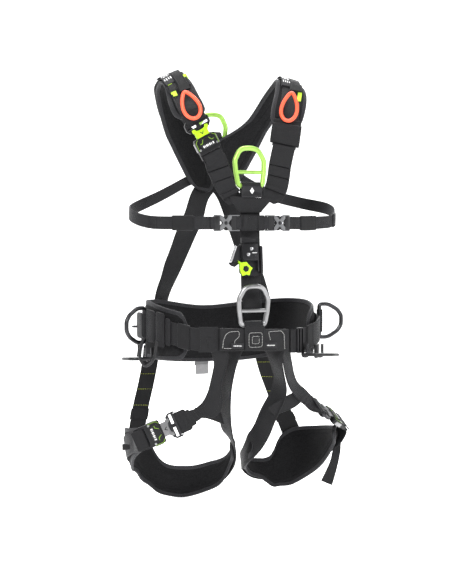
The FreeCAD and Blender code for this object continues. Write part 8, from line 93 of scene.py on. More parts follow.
    'gear_tabs': [[[-182.8, -8.38, -39.44, -0.9927, 0.1191, 0.0203, 0.1167, 0.9886, -0.095, 11, 1.8], [-182.8, -8.38, -53.44, -0.9927, 0.1191, 0.0203, 0.1167, 0.9886, -0.095, 11, 1.8], [-182.8, -8.38, -61.44, -0.9927, 0.1191, 0.0203, 0.1167, 0.9886, -0.095, 11, 1.8], [-182.11, -8.47, -64.06, -0.8597, 0.1032, -0.4825, 0.1167, 0.9886, -0.095, 11, 1.8], [-180.22, -8.69, -66, -0.4963, 0.0596, -0.8559, 0.1167, 0.9886, -0.095, 11, 1.8], [-177.64, -9, -66.75, 0, 0, -1, 0.1167, 0.9886, -0.095, 11, 1.8], [-175.06, -9.31, -66.1, 0.4963, -0.0596, -0.8762, 0.1167, 0.9886, -0.095, 11, 1.8], [-173.17, -9.54, -64.24, 0.8597, -0.1032, -0.5175, 0.1167, 0.9886, -0.095, 11, 1.8], [-172.48, -9.62, -61.65, 0.9927, -0.1191, -0.0203, 0.1167, 0.9886, -0.095, 11, 1.8], [-172.48, -9.62, -53.65, 0.9927, -0.1191, -0.0203, 0.1167, 0.9886, -0.095, 11, 1.8], [-172.48, -9.62, -39.65, 0.9927, -0.1191, -0.0203, 0.1167, 0.9886, -0.095, 11, 1.8]], [[-175.57, 52.91, -45.33, -0.9927, 0.1191, 0.0203, 0.1167, 0.9886, -0.095, 11, 1.8], [-175.57, 52.91, -59.33, -0.9927, 0.1191, 0.0203, 0.1167, 0.9886, -0.095, 11, 1.8], [-175.57, 52.91, -67.33, -0.9927, 0.1191, 0.0203, 0.1167, 0.9886, -0.095, 11, 1.8], [-174.87, 52.83, -69.95, -0.8597, 0.1032, -0.4825, 0.1167, 0.9886, -0.095, 11, 1.8], [-172.99, 52.6, -71.89, -0.4963, 0.0596, -0.8559, 0.1167, 0.9886, -0.095, 11, 1.8], [-170.4, 52.29, -72.64, 0, 0, -1, 0.1167, 0.9886, -0.095, 11, 1.8], [-167.82, 51.98, -71.99, 0.4963, -0.0596, -0.8762, 0.1167, 0.9886, -0.095, 11, 1.8], [-165.93, 51.75, -70.13, 0.8597, -0.1032, -0.5175, 0.1167, 0.9886, -0.095, 11, 1.8], [-165.24, 51.67, -67.54, 0.9927, -0.1191, -0.0203, 0.1167, 0.9886, -0.095, 11, 1.8], [-165.24, 51.67, -59.54, 0.9927, -0.1191, -0.0203, 0.1167, 0.9886, -0.095, 11, 1.8], [-165.24, 51.67, -45.54, 0.9927, -0.1191, -0.0203, 0.1167, 0.9886, -0.095, 11, 1.8]], [[112.55, -130.59, -30.95, 0.6217, -0.7822, 0.0414, 0.7822, 0.6173, -0.0843, 11, 1.8], [112.55, -130.59, -44.95, 0.6217, -0.7822, 0.0414, 0.7822, 0.6173, -0.0843, 11, 1.8], [112.55, -130.59, -52.95, 0.6217, -0.7822, 0.0414, 0.7822, 0.6173, -0.0843, 11, 1.8], [112.12, -130.05, -55.58, 0.5384, -0.6774, -0.4641, 0.7822, 0.6173, -0.0843, 11, 1.8], [110.94, -128.56, -57.56, 0.3109, -0.3911, -0.8453, 0.7822, 0.6173, -0.0843, 11, 1.8], [109.32, -126.52, -58.36, 0, 0, -1, 0.7822, 0.6173, -0.0843, 11, 1.8], [107.71, -124.49, -57.78, -0.3109, 0.3911, -0.8867, 0.7822, 0.6173, -0.0843, 11, 1.8], [106.52, -123, -55.95, -0.5384, 0.6774, -0.5359, 0.7822, 0.6173, -0.0843, 11, 1.8], [106.09, -122.46, -53.38, -0.6217, 0.7822, -0.0414, 0.7822, 0.6173, -0.0843, 11, 1.8], [106.09, -122.46, -45.38, -0.6217, 0.7822, -0.0414, 0.7822, 0.6173, -0.0843, 11, 1.8], [106.09, -122.46, -31.38, -0.6217, 0.7822, -0.0414, 0.7822, 0.6173, -0.0843, 11, 1.8]], [[164.18, -89.85, -36.51, 0.6217, -0.7822, 0.0414, 0.7822, 0.6173, -0.0843, 11, 1.8], [164.18, -89.85, -50.51, 0.6217, -0.7822, 0.0414, 0.7822, 0.6173, -0.0843, 11, 1.8], [164.18, -89.85, -58.51, 0.6217, -0.7822, 0.0414, 0.7822, 0.6173, -0.0843, 11, 1.8], [163.75, -89.31, -61.14, 0.5384, -0.6774, -0.4641, 0.7822, 0.6173, -0.0843, 11, 1.8], [162.56, -87.82, -63.12, 0.3109, -0.3911, -0.8453, 0.7822, 0.6173, -0.0843, 11, 1.8], [160.95, -85.78, -63.93, 0, 0, -1, 0.7822, 0.6173, -0.0843, 11, 1.8], [159.33, -83.75, -63.34, -0.3109, 0.3911, -0.8867, 0.7822, 0.6173, -0.0843, 11, 1.8], [158.15, -82.26, -61.51, -0.5384, 0.6774, -0.5359, 0.7822, 0.6173, -0.0843, 11, 1.8], [157.71, -81.72, -58.94, -0.6217, 0.7822, -0.0414, 0.7822, 0.6173, -0.0843, 11, 1.8], [157.71, -81.72, -50.94, -0.6217, 0.7822, -0.0414, 0.7822, 0.6173, -0.0843, 11, 1.8], [157.71, -81.72, -36.94, -0.6217, 0.7822, -0.0414, 0.7822, 0.6173, -0.0843, 11, 1.8]]],
    'shoulder_labels': [[[133.11, 41.89, 485.84, 0.1252, 0.4071, 0.9048, -0.9877, -0.0349, 0.1524, 34, 1], [133.27, 33.16, 489.17, 0.1656, 0.323, 0.9318, -0.9817, -0.0359, 0.1869, 34, 1], [132.75, 24.26, 491.87, 0.203, 0.2489, 0.947, -0.9753, -0.034, 0.2181, 34, 1], [131.7, 15.3, 494.12, 0.2314, 0.1804, 0.956, -0.97, -0.0321, 0.2408, 34, 1], [130.27, 6.27, 495.93, 0.2484, 0.0988, 0.9636, -0.9671, -0.0317, 0.2526, 34, 1], [128.55, -2.9, 496.94, 0.2562, -0.0104, 0.9666, -0.9662, -0.0321, 0.2558, 34, 1], [126.64, -12.14, 496.82, 0.2554, -0.1432, 0.9562, -0.9668, -0.0323, 0.2534, 34, 1], [124.55, -21.26, 495.37, 0.2449, -0.2858, 0.9265, -0.9687, -0.032, 0.2463, 34, 1]], [[-118.27, 62.92, 471.32, -0.1494, 0.6492, 0.7458, 0.9778, -0.015, 0.2089, 34, 1], [-122.35, 54.02, 477.54, -0.1793, 0.581, 0.7939, 0.9686, -0.0369, 0.2458, 34, 1], [-125.98, 44.48, 483.04, -0.2186, 0.5084, 0.8329, 0.9581, -0.0503, 0.2822, 34, 1], [-128.83, 34.29, 487.85, -0.2628, 0.4236, 0.8669, 0.9483, -0.0521, 0.3129, 34, 1], [-130.63, 23.51, 491.85, -0.2904, 0.322, 0.9011, 0.9457, -0.0473, 0.3217, 34, 1], [-131.17, 12.3, 494.91, -0.2797, 0.221, 0.9343, 0.9543, -0.0421, 0.2957, 34, 1], [-131.26, 0.91, 496.96, -0.2558, 0.149, 0.9552, 0.9637, -0.0393, 0.2642, 34, 1], [-132.31, -10.51, 498.16, -0.2716, 0.0941, 0.9578, 0.9603, -0.0392, 0.2763, 34, 1]]],
    'shoulder_tapes': [[[130.46, -53.21, 474.22, 0.1138, -0.7013, 0.7038, -0.9909, -0.0288, 0.1315, 9, 1.2], [128.67, -56.95, 470.93, 0.0962, -0.7203, 0.687, -0.9936, -0.0287, 0.1089, 9, 1.2], [126.79, -60.59, 467.56, 0.0807, -0.7326, 0.6758, -0.9957, -0.0284, 0.0879, 9, 1.2], [124.81, -64.16, 464.15, 0.0668, -0.741, 0.6682, -0.9972, -0.0273, 0.0698, 9, 1.2], [122.75, -67.68, 460.68, 0.0552, -0.7481, 0.6613, -0.9982, -0.0263, 0.0546, 9, 1.2], [120.63, -71.14, 457.14, 0.0478, -0.7568, 0.6519, -0.9987, -0.0268, 0.0423, 9, 1.2], [118.5, -74.51, 453.5, 0.0441, -0.7688, 0.638, -0.999, -0.0288, 0.0328, 9, 1.2], [116.38, -77.81, 449.7, 0.0412, -0.7845, 0.6188, -0.9992, -0.0296, 0.0266, 9, 1.2]], [[-147.88, -52.86, 476.63, -0.3628, -0.6876, 0.6289, 0.8834, -0.0379, 0.4671, 9, 1.2], [-147.05, -56.24, 473.2, -0.3405, -0.7208, 0.6037, 0.8886, -0.0366, 0.4572, 9, 1.2], [-146.3, -59.46, 469.76, -0.3219, -0.7382, 0.5929, 0.8959, -0.0355, 0.4428, 9, 1.2], [-145.68, -62.63, 466.33, -0.3059, -0.7465, 0.591, 0.9044, -0.0345, 0.4253, 9, 1.2], [-145.19, -65.79, 462.93, -0.2908, -0.7512, 0.5926, 0.9135, -0.0337, 0.4055, 9, 1.2], [-144.78, -68.96, 459.53, -0.2748, -0.757, 0.5928, 0.9226, -0.0331, 0.3844, 9, 1.2], [-144.42, -72.14, 456.13, -0.2567, -0.7664, 0.5888, 0.9313, -0.0326, 0.3629, 9, 1.2], [-144.09, -75.32, 452.71, -0.2374, -0.7785, 0.581, 0.9393, -0.0322, 0.3415, 9, 1.2]]],
    'shoulder_keepers': [[[120.1, -34.78, 488.05, 0.202, -0.5097, 0.8363, -0.9757, -0.0306, 0.2169, 44, 2.6], [118.24, -40.28, 484.72, 0.1763, -0.5859, 0.791, -0.9801, -0.0301, 0.1961, 44, 2.6], [116.29, -45.42, 480.91, 0.1494, -0.6454, 0.7491, -0.9848, -0.0294, 0.171, 44, 2.6], [114.25, -50.22, 476.73, 0.1237, -0.688, 0.7151, -0.9893, -0.0289, 0.1433, 44, 2.6]], [[-133.57, -52.92, 481.2, -0.3557, -0.6998, 0.6195, 0.8847, -0.0375, 0.4647, 44, 2.6], [-132.43, -57.29, 476.36, -0.328, -0.7335, 0.5953, 0.8932, -0.0359, 0.4482, 44, 2.6], [-131.44, -61.54, 471.37, -0.3057, -0.7465, 0.591, 0.9045, -0.0345, 0.4251, 44, 2.6], [-130.65, -65.79, 466.35, -0.2852, -0.7529, 0.5931, 0.9168, -0.0335, 0.3979, 44, 2.6]], [[81.8, -99.16, 405.7, -0.2283, -0.9498, 0.2137, -0.9682, 0.219, 0.1209, 44, 2.6], [79.13, -101.65, 396.01, -0.2938, -0.947, 0.1302, -0.9464, 0.2853, 0.1512, 44, 2.6], [76.8, -103.44, 386.09, -0.3426, -0.9368, 0.0714, -0.9245, 0.3378, 0.1766, 44, 2.6], [74.94, -104.47, 375.96, -0.3673, -0.9287, 0.0508, -0.9095, 0.3679, 0.1937, 44, 2.6], [73.37, -104.83, 365.74, -0.3697, -0.9268, 0.0658, -0.9043, 0.3759, 0.2022, 44, 2.6], [71.54, -104.91, 355.55, -0.3637, -0.927, 0.0913, -0.9038, 0.3748, 0.2065, 44, 2.6]]],
    'belt_labels': [[[-10.51, 131, -85.03, 0, 0.9989, 0.0478, 1, 0, 0, 29, 1], [-10.35, 131.44, -94.26, 0, 0.9991, 0.0419, 1, 0, 0, 29, 1], [-10.23, 131.77, -103.49, 0, 0.9995, 0.0302, 1, 0, 0, 29, 1], [-10.15, 132, -112.73, 0, 0.9997, 0.0244, 1, 0, 0, 29, 1]], [[-41.71, -142.2, -24.78, 0, -1, 0, 0.9995, 0, -0.0327, 26, 0.8], [-41.71, -142.2, -30.11, 0, -1, 0, 0.9994, 0, -0.0334, 26, 0.8], [-41.71, -142.2, -35.44, 0, -1, 0, 0.9994, 0, -0.0341, 26, 0.8]], [[28.41, -142.2, -25.71, 0, -1, 0, 0.9995, 0, -0.0326, 26, 0.8], [28.42, -142.2, -31.19, 0, -1, 0, 0.9994, 0, -0.0333, 26, 0.8], [28.43, -142.2, -36.66, 0, -1, 0, 0.9994, 0, -0.034, 26, 0.8]]],
}
# frame: origin, across, along, outward
FR = {
    'sternal_ring': [[0.67402, -103.5, 279.66], [1, 0, -0], [0, 0.099504, 0.99504], [0, -0.99504, 0.099504]],
    'ventral_ring': [[-6.0719, -133.5, 10.407], [1, 0, 0], [0, -0.059892, 0.9982], [0, -0.9982, -0.059892]],
    'dorsal_ring': [[6, 119.6, 358], [-1, 0, 0], [0, -0.099504, 0.99504], [0, 0.99504, 0.099504]],
    'side_ring_right': [[-187.5, -12, 6.0882], [0, 0, 1], [-0.89039, -0.4552, 0], [0.4552, -0.89039, 0]],
    'side_ring_left': [[186, -30, 6.1526], [0, 0, -1], [1, 0, 0], [0, -1, 0]],
    'shoulder_buckle': [[-94.442, -104, 367.44], [-0.88393, 0.041818, -0.46575], [0.46438, -0.038634, -0.8848], [-0.054994, -0.99838, 0.014731]],
    'leg_buckle_right': [[-184.65, -86.5, -196.5], [-0.35596, 0.18815, 0.91536], [-0.87511, 0.2765, -0.39715], [-0.32783, -0.94241, 0.06623]],
    'leg_buckle_left': [[187.34, -84, -183.72], [0.11883, -0.81069, -0.57328], [0.7945, 0.42393, -0.4348], [0.59552, -0.4038, 0.69447]],
    'chest_buckle_right': [[-53.57, -113.5, 207.55], [-0.0021367, 6.4101e-05, -1], [1, 0, -0.0021367], [-1.3696e-07, -1, -6.41e-05]],
    'chest_buckle_left': [[54.254, -113.2, 207.32], [0, 0, 1], [-0.99875, -0.049938, 0], [0.049938, -0.99875, 0]],
    'ascender': [[-8.2967, -121, 143.31], [-1, -0, 0], [0, -0.069829, -0.99756], [0, -0.99756, 0.069829]],
    'gear_loop_right': [[-177, 22, -64.432], [0.11669, 0.98861, -0.095043], [-0.99267, 0.11912, 0.020251], [0.031341, 0.091984, 0.99527]],
    'gear_loop_left': [[137, -108.5, -55.821], [0.78221, 0.61729, -0.084259], [0.62171, -0.78215, 0.041414], [-0.040339, -0.084779, -0.99558]],
    'belt_adjuster_0': [[-176, -54.015, -0.092771], [0, 0, 1], [-0.31454, 0.94924, 0], [-0.94924, -0.31454, 0]],
    'belt_adjuster_1': [[97.352, -128.38, -23.935], [0, 0, 1], [-0.94472, -0.32787, 0], [0.32787, -0.94472, 0]],
}
PT = {
    'tool_loop_right': [[-133.83, -97.5, 458.35], [-131.4, -98.46, 458.43], [-128.26, -100.13, 456.96], [-124.42, -102.46, 454.12], [-120.13, -105.29, 450.11], [-115.88, -108.37, 445.12], [-112.23, -111.42, 439.37], [-109.7, -114.15, 433.14], [-108.61, -116.33, 426.78], [-109.07, -117.8, 420.72], [-110.97, -118.49, 415.41], [-114.06, -118.38, 411.24], [-118.05, -117.5, 408.55], [-122.58, -115.94, 407.57], [-127.26, -113.83, 408.37], [-131.66, -111.34, 410.97], [-135.38, -108.67, 415.23], [-138.1, -106.03, 420.88], [-139.65, -103.58, 427.54], [-140.08, -101.45, 434.67], [-139.64, -99.71, 441.69], [-138.62, -98.4, 447.99], [-137.28, -97.55, 453.07], [-135.72, -97.22, 456.57]],
    'tool_loop_left': [[95.26, -90.5, 464.36], [97.03, -91.89, 463.08], [98.34, -94.1, 459.91], [99.31, -97.07, 455.03], [99.87, -100.6, 448.8], [99.81, -104.37, 441.64], [98.86, -107.97, 434.1], [96.82, -111.05, 426.73], [93.69, -113.32, 420.05], [89.64, -114.61, 414.52], [85.04, -114.87, 410.52], [80.29, -114.14, 408.29], [75.83, -112.5, 407.97], [72.02, -110.11, 409.57], [69.22, -107.18, 412.97], [67.7, -103.95, 417.93], [67.69, -100.68, 424.08], [69.24, -97.64, 431.0], [72.23, -95.03, 438.23], [76.31, -92.94, 445.28], [80.93, -91.4, 451.73], [85.52, -90.37, 457.17], [89.58, -89.84, 461.26], [92.83, -89.85, 463.73]],
    'accessory_loops': [[[-207.4, -62.0, -15.16], [-215.0, -66.0, -51.51], [-204.16, -70.0, -69.04], [-188.43, -72.0, -53.88], [-182.89, -74.0, -22.77]]],
    'belt_roll_a': [192.9, 254.4],
    'belt_roll_b': [152.9, 191.4],
    'belt_roll_c': [128.2, 151.9],
    'belt_roll_d': [115.7, 127.7],
    'belt_left_b': [787.9, 843.5],
    'side_tab_left': [323.0, 341.0],
    'nest_z': -18.99,
    'panel_left': [[-72.78, -141.0, -33.52], [-70.71, -141.0, -17.17], [-65.73, -141.0, -6.71], [-58.45, -141.0, -2.1], [-38.64, -141.0, -1.14], [-37.59, -141.0, -11.45], [-46.99, -141.0, -18.9], [-50.11, -141.0, -34.29]],
    'panel_right': [[27.84, -141.0, -20.31], [23.56, -141.0, -4.16], [51.28, -141.0, -3.02], [57.08, -141.0, -10.45], [58.44, -141.0, -39.95]],
    'peg_left': [[135.01, -122.0, -33.21], [135.06, -122.0, -47.18], [135.55, -122.0, -61.17]],
    'stem_right': [[-207.17, -40.0, -28.63], [-207.21, -40.0, -42.35], [-209.31, -40.0, -54.04]],
    'acc_a': [[-211.5, -80.0, -17.5], [-217.67, -83.0, -40.23], [-211.64, -86.0, -59.49], [-198.09, -88.0, -55.95], [-189.56, -90.0, -36.74], [-188.49, -90.0, -19.38]],
    'acc_b': [[-206.13, -76.0, -41.24], [-214.0, -78.0, -60.15], [-211.68, -80.0, -77.48], [-201.85, -81.0, -79.71], [-195.68, -81.0, -64.44], [-198.35, -80.0, -48.92]],
    'leg_tail_left': [[224.04, -40.0, -242.187, -0.307, -0.951, 0.033, -0.946, 0.309, 0.101, 15.0, 2.4], [221.385, -40.0, -267.045, -0.304, -0.95, 0.077, -0.935, 0.313, 0.168, 17.0, 2.4], [215.237, -41.0, -289.444, -0.286, -0.948, 0.141, -0.902, 0.316, 0.295, 18.0, 2.4], [206.112, -42.0, -311.615, -0.272, -0.948, 0.166, -0.875, 0.315, 0.367, 22.0, 2.4], [197.675, -43.0, -329.622, -0.265, -0.948, 0.177, -0.866, 0.314, 0.388, 25.0, 2.4]],
    'leg_tail_right': [[-237.949, -72.0, -224.714, -0.699, -0.709, 0.095, 0.024, 0.109, 0.994, 9.0, 2.6], [-244.102, -66.0, -225.23, -0.729, -0.679, 0.091, 0.022, 0.111, 0.994, 12.0, 2.6], [-249.258, -60.0, -225.804, -0.76, -0.644, 0.088, 0.02, 0.112, 0.994, 13.0, 2.6]],
    'ring_pin': [[-216.19, -58.0, 7.17], [-222.67, -56.0, 7.21], [-227.43, -55.0, 7.28]],
}


def unit(v):
    v = np.asarray(v, float)
    return v / np.maximum(np.linalg.norm(v, axis=-1, keepdims=True), 1e-9)


class Strip:
    """a strap or pad: smooth stations along its length"""

    def __init__(self, rows):
        R = np.array(rows, float)
        d = np.r_[0, np.cumsum(np.linalg.norm(np.diff(R[:, :3], axis=0), axis=1))]
        m = np.zeros_like(R)
        m[0] = (R[1] - R[0]) / (d[1] - d[0])
        m[-1] = (R[-1] - R[-2]) / (d[-1] - d[-2])
        for i in range(1, len(R) - 1):
            a, b = d[i] - d[i - 1], d[i + 1] - d[i]
            m[i] = ((R[i] - R[i - 1]) / a * b + (R[i + 1] - R[i]) / b * a) / (a + b)
        self.R, self.d, self.m, self.L = R, d, m, d[-1]

    def at(self, t):
        t = np.clip(np.atleast_1d(np.asarray(t, float)), 0, self.L)
        k = np.clip(np.searchsorted(self.d, t, side="right") - 1, 0, len(self.d) - 2)
        h = (self.d[k + 1] - self.d[k])[:, None]
        x = (t - self.d[k])[:, None] / h
        a, b, ma, mb = self.R[k], self.R[k + 1], self.m[k], self.m[k + 1]
        o = (2 * x**3 - 3 * x**2 + 1) * a + (x**3 - 2 * x**2 + x) * h * ma + (3 * x**2 - 2 * x**3) * b + (x**3 - x**2) * h * mb
        o[:, 3:6] = unit(o[:, 3:6])
        o[:, 6:9] = unit(o[:, 6:9])
        return o

    def pt(self, s, u, lift=0.0):
        """point on the outer face at length s, offset u across"""
        r = self.at(s)
        u = np.broadcast_to(np.asarray(u, float), (len(r),))
        return r[:, :3] + r[:, 6:9] * u[:, None] + r[:, 3:6] * (r[:, 10:11] / 2 + lift)

    def nrm(self, s):
        return self.at(s)[:, 3:6]

    def cut(self, s0, s1, lift=0.0, W=None, T=None, u0=0.0, n=None, side=1):
        """rows of another layer lying on this one"""
        n = n or max(3, int(abs(s1 - s0) / 8) + 2)
        r = self.at(np.linspace(s0, s1, n)).copy()
        T = r[:, 10] if T is None else np.full(len(r), float(T))
        r[:, :3] += side * r[:, 3:6] * (r[:, 10] / 2 + lift + T / 2)[:, None] + r[:, 6:9] * u0
        if W is not None:
            r[:, 9] = W
        r[:, 10] = T
        return r


def strip(name):
    return Strip(ROWS[name])


# ------------------------------------------------------------------ meshes
PIECES = []


def skin(name, rings, mat, suv=None, closed=False, cap=True, sharp=50, body=BODY):
    rings = np.asarray(rings, float)
    N, K, _ = rings.shape
    verts = (rings.reshape(-1, 3) * MM).tolist()
    faces = []
    for i in range(N if closed else N - 1):
        j = (i + 1) % N
        for k in range(K):
            l = (k + 1) % K
            faces.append((i * K + k, j * K + k, j * K + l, i * K + l))
    if cap and not closed:
        # end faces as strips of quads between the two sides of the section
        for base in (0, (N - 1) * K):
            for k in range(K // 2 - 1):
                a, b, c, d = base + k, base + k + 1, base + K - 2 - k, base + K - 1 - k
                f = (a, b, c, d) if b != c else (a, b, d)
                faces.append(f if base else f[::-1])
    me = bpy.data.meshes.new(name)
    me.from_pydata(verts, [], faces)
    if suv is not None:
        at = me.attributes.new("suv", "FLOAT_VECTOR", "POINT")
        at.data.foreach_set("vector", np.asarray(suv, np.float32).reshape(-1))
    return add(name, me, mat, body, sharp)


def add(name, me, mat, body=BODY, sharp=50):
    bm = bmesh.new()
    bm.from_mesh(me)
    bmesh.ops.recalc_face_normals(bm, faces=bm.faces)
    bm.to_mesh(me)
    bm.free()
    me.polygons.foreach_set("use_smooth", [True] * len(me.polygons))
    if sharp:
        me.set_sharp_from_angle(angle=math.radians(sharp))
    ob = bpy.data.objects.new(name, me)
    bpy.context.scene.collection.objects.link(ob)
    if mat is not None:
        me.materials.append(mat)
    if body:
        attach(ob, body)
    PIECES.append(ob)
    return ob


def join_meshes(name, parts, mat, body=BODY, sharp=50):
    """parts: list of (verts, faces) in mm"""
    V, F, o = [], [], 0
    for v, f in parts:
        V.append(np.asarray(v, float))
        F += [tuple(int(i) + o for i in q) for q in f]
        o += len(v)
    me = bpy.data.meshes.new(name)
    me.from_pydata((np.vstack(V) * MM).tolist(), [], F)
    return add(name, me, mat, body, sharp)


def hashnum(name):
    h = 0
    for c in name:
        h = (h * 31 + ord(c)) % 100003
    return h


def web_profile(W, T):
    a, b = W / 2, T / 2
    r = min(b, 1.3)
    inset = [r, 2.4, 3.2, 4.2, 7.0, a * 0.55, a * 0.25, 0.0]
    if a < 9:
        inset = [r, a * 0.35, a * 0.5, a * 0.6, a * 0.7, a * 0.8, a * 0.9, a]
        us = [-(a - q) for q in inset[:-1]] + [0.0] + [(a - q) for q in inset[:-1][::-1]]
        hs = [b] * len(us)
    else:
        left = [-(a - q) for q in inset[:5]] + [-a * 0.45, -a * 0.2]
        us = left + [0.0] + [-u for u in left[::-1]]
        hh = [b, b, b - min(0.3, b * 0.25), b, b, b + 0.05, b + 0.08]
        hs = hh + [b + 0.1] + hh[::-1]
    P = [(u, h) for u, h in zip(us, hs)]
    for t in (35, 70, 110, 145):
        q = math.radians(t)
        P.append((a - r + r * math.sin(q), b * math.cos(q)))
    P += [(u, -h) for u, h in zip(us[::-1], hs[::-1])]
    for t in (145, 110, 70, 35):
        q = math.radians(t)
        P.append((-(a - r) - r * math.sin(q), b * math.cos(q)))
    # start the ring half way up the left edge, so that the end faces close evenly
    k = len(P) - 2
    P = P[k:] + P[:k]
    return np.array(P)


def webbing(name, rows, mat, step=3.0, wave=0.22, body=BODY, replaces=None, s0=0.0):
    st = rows if isinstance(rows, Strip) else Strip(rows)
    n = max(4, int(st.L / step) + 1)
    s = np.linspace(0, st.L, n)
    r = st.at(s)
    ph = hashnum(name) % 628 / 100.0
    rings, suv = [], []
    for i in range(n):
        p = web_profile(r[i, 9], r[i, 10])
        u, h = p[:, 0], p[:, 1]
        dz = wave * (np.sin(s[i] / 17.0 + ph) * np.cos(u / 9.0 + ph) + 0.6 * np.sin(s[i] / 7.3 + 2 * ph) * np.sin(u / 6.0))
        ease = min(1.0, s[i] / 8.0, (st.L - s[i]) / 8.0)
        rings.append(r[i, :3] + r[i, 6:9] * u[:, None] + r[i, 3:6] * (h + dz * ease)[:, None])
        suv.append(np.stack([u, np.full(len(u), s[i] + s0), h], axis=1))
    ob = skin(name, rings, mat, suv, body=body)
    if replaces:
        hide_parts(*([replaces] if isinstance(replaces, str) else replaces))
    return ob


def pad(name, rows, mat, bind_mat, rc=14.0, edge=4.4, bind=8.0, step=4.0, chan=(20.0,), depth=1.1, rc_end=None, crown=0.6, replaces=None, body=BODY, stitch_mat=None, puff=0.5):
    """padded panel with rounded corners, a bound edge and sewn channels"""
    st = Strip(rows)
    L = st.L
    def half(s, W):
        a = W / 2
        d0, d1 = s, L - s
        r0 = min(rc, a * 0.9)
        r1 = min(rc_end if rc_end is not None else rc, a * 0.9)
        if d0 < r0:
            a = a - r0 + math.sqrt(max(0, r0 * r0 - (r0 - d0) ** 2))
        if d1 < r1:
            a = min(a, W / 2 - r1 + math.sqrt(max(0, r1 * r1 - (r1 - d1) ** 2)))
        return a
    ends = [0, .3, .9, 1.8, 3.0, 4.5, 6.3, 8.4, 10.8, 13.5, 16.5, 20.0]
    mid = list(np.linspace(24.0, L - 24.0, max(3, int((L - 48) / step))))
    ss = np.array(ends + mid + [L - q for q in ends[::-1]])
    D = np.array([0, .8, 2.0, 4.0, 6.5, 8.5, 10.5, 13.0, 16.0, 18.4, 19.3, 20.0, 20.7, 21.6, 24.0])
    r = st.at(ss)
    ph = hashnum(name) % 628 / 100.0
    rings, suv = [], []
    for i, s in enumerate(ss):
        W, T = r[i, 9], r[i, 10]
        a = half(s, W) - 0.7
        dd = D * min(1.0, a / 30.0)
        dist_end = min(s, L - s)
        left = -(a - dd)
        inner = np.linspace(left[-1], -left[-1], 7)[1:-1]
        u = np.concatenate([left, inner, -left[::-1]])
        dist = np.minimum(a - np.abs(u), dist_end)
        x = np.clip((dist - bind * 0.75) / 13.0, 0, 1)
        sm = np.sin(x * math.pi / 2)
        e = edge / 2
        h = e + (T / 2 - e) * sm + crown * np.clip(dist / max(a, 1), 0, 1)
        h = h - 0.5 * np.exp(-((dist - bind) / 0.9) ** 2)
        for c in chan:
            h = h - depth * np.exp(-((dist - c * min(1.0, a / 30.0)) / 1.1) ** 2)
        h = h + puff * sm * (np.sin(s / 31.0 + ph) * np.cos(u / 23.0 + ph) * 0.6 + 0.4 * np.sin(s / 13.0 + u / 17.0 + ph))
        h[0] *= 0.55
        h[-1] *= 0.55
        top = r[i, :3] + r[i, 6:9] * u[:, None] + r[i, 3:6] * h[:, None]
        bot = r[i, :3] + r[i, 6:9] * u[::-1][:, None] - r[i, 3:6] * h[::-1][:, None]
        rings.append(np.vstack([top, bot]))
        suv.append(np.vstack([np.stack([u, np.full(len(u), s), h], 1), np.stack([u[::-1], np.full(len(u), s), -h], 1)]))
    body_ob = skin(name, rings, mat, suv, body=body, sharp=0)
    if replaces:
        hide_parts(replaces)
    # binding tape folded round the edge
    per = []
    for s in ss:
        per.append((s, 1))
    W0, W1 = st.at(0)[0, 9], st.at(L)[0, 9]
    up = [(s, half(s, st.at(s)[0, 9])) for s in ss]
    a0, a1 = up[0][1], up[-1][1]
    loop = [(0.0, q) for q in np.linspace(-a0, a0, 9)[1:-1]] + up + [(L, q) for q in np.linspace(a1, -a1, 9)[1:-1]] + [(s, -a) for s, a in up[::-1]]
    S = np.array([q[0] for q in loop])
    Uu = np.array([q[1] for q in loop])
    rr = st.at(S)
    P = rr[:, :3] + rr[:, 6:9] * Uu[:, None]
    n = rr[:, 3:6]
    t = unit(np.roll(P, -1, 0) - np.roll(P, 1, 0))
    for _ in range(2):
        t = unit(t + 0.5 * (np.roll(t, 1, 0) + np.roll(t, -1, 0)))
    o = unit(np.cross(t, n))
    mid_i = len(ends) + 4 + 7
    if (o[mid_i] @ (rr[mid_i, 6:9] * np.sign(Uu[mid_i]))) < 0:
        o = -o
    e = edge / 2 + 0.75
    k = 10
    sec = [(-bind, e - 0.9), (-bind, e), (-bind * 0.5, e + 0.05)]
    for q in range(k + 1):
        th = math.pi * q / k
        sec.append((-e * 0.8 + e * 0.8 * math.sin(th), e * math.cos(th)))
    sec += [(-bind * 0.5, -e - 0.05), (-bind, -e), (-bind, -e + 0.9)]
    sec = np.array(sec)
    rings = P[:, None, :] + o[:, None, :] * sec[None, :, :1] + n[:, None, :] * sec[None, :, 1:]
    dl = np.r_[0, np.cumsum(np.linalg.norm(np.diff(P, axis=0), axis=1))]
    cl = np.cumsum(np.r_[0, np.linalg.norm(np.diff(sec, axis=0), axis=1)])
    suv = np.stack([np.broadcast_to(cl[None, :], (len(P), len(sec))), np.broadcast_to(dl[:, None], (len(P), len(sec))), np.zeros((len(P), len(sec)))], axis=2)
    b = skin(name + "_binding", rings, bind_mat, suv, closed=True, body=body, sharp=60)
    if stitch_mat is not None:
        Q = P - o * (bind - 1.6) + n * (e + 0.05)
        Q2 = P - o * (bind - 1.6) - n * (e + 0.05)
        stitches(name + "_binding_stitch", [np.vstack([Q, Q[:1]]), np.vstack([Q2, Q2[:1]])], [np.vstack([n, n[:1]]), -np.vstack([n, n[:1]])], stitch_mat, body=body)
    return body_ob, st


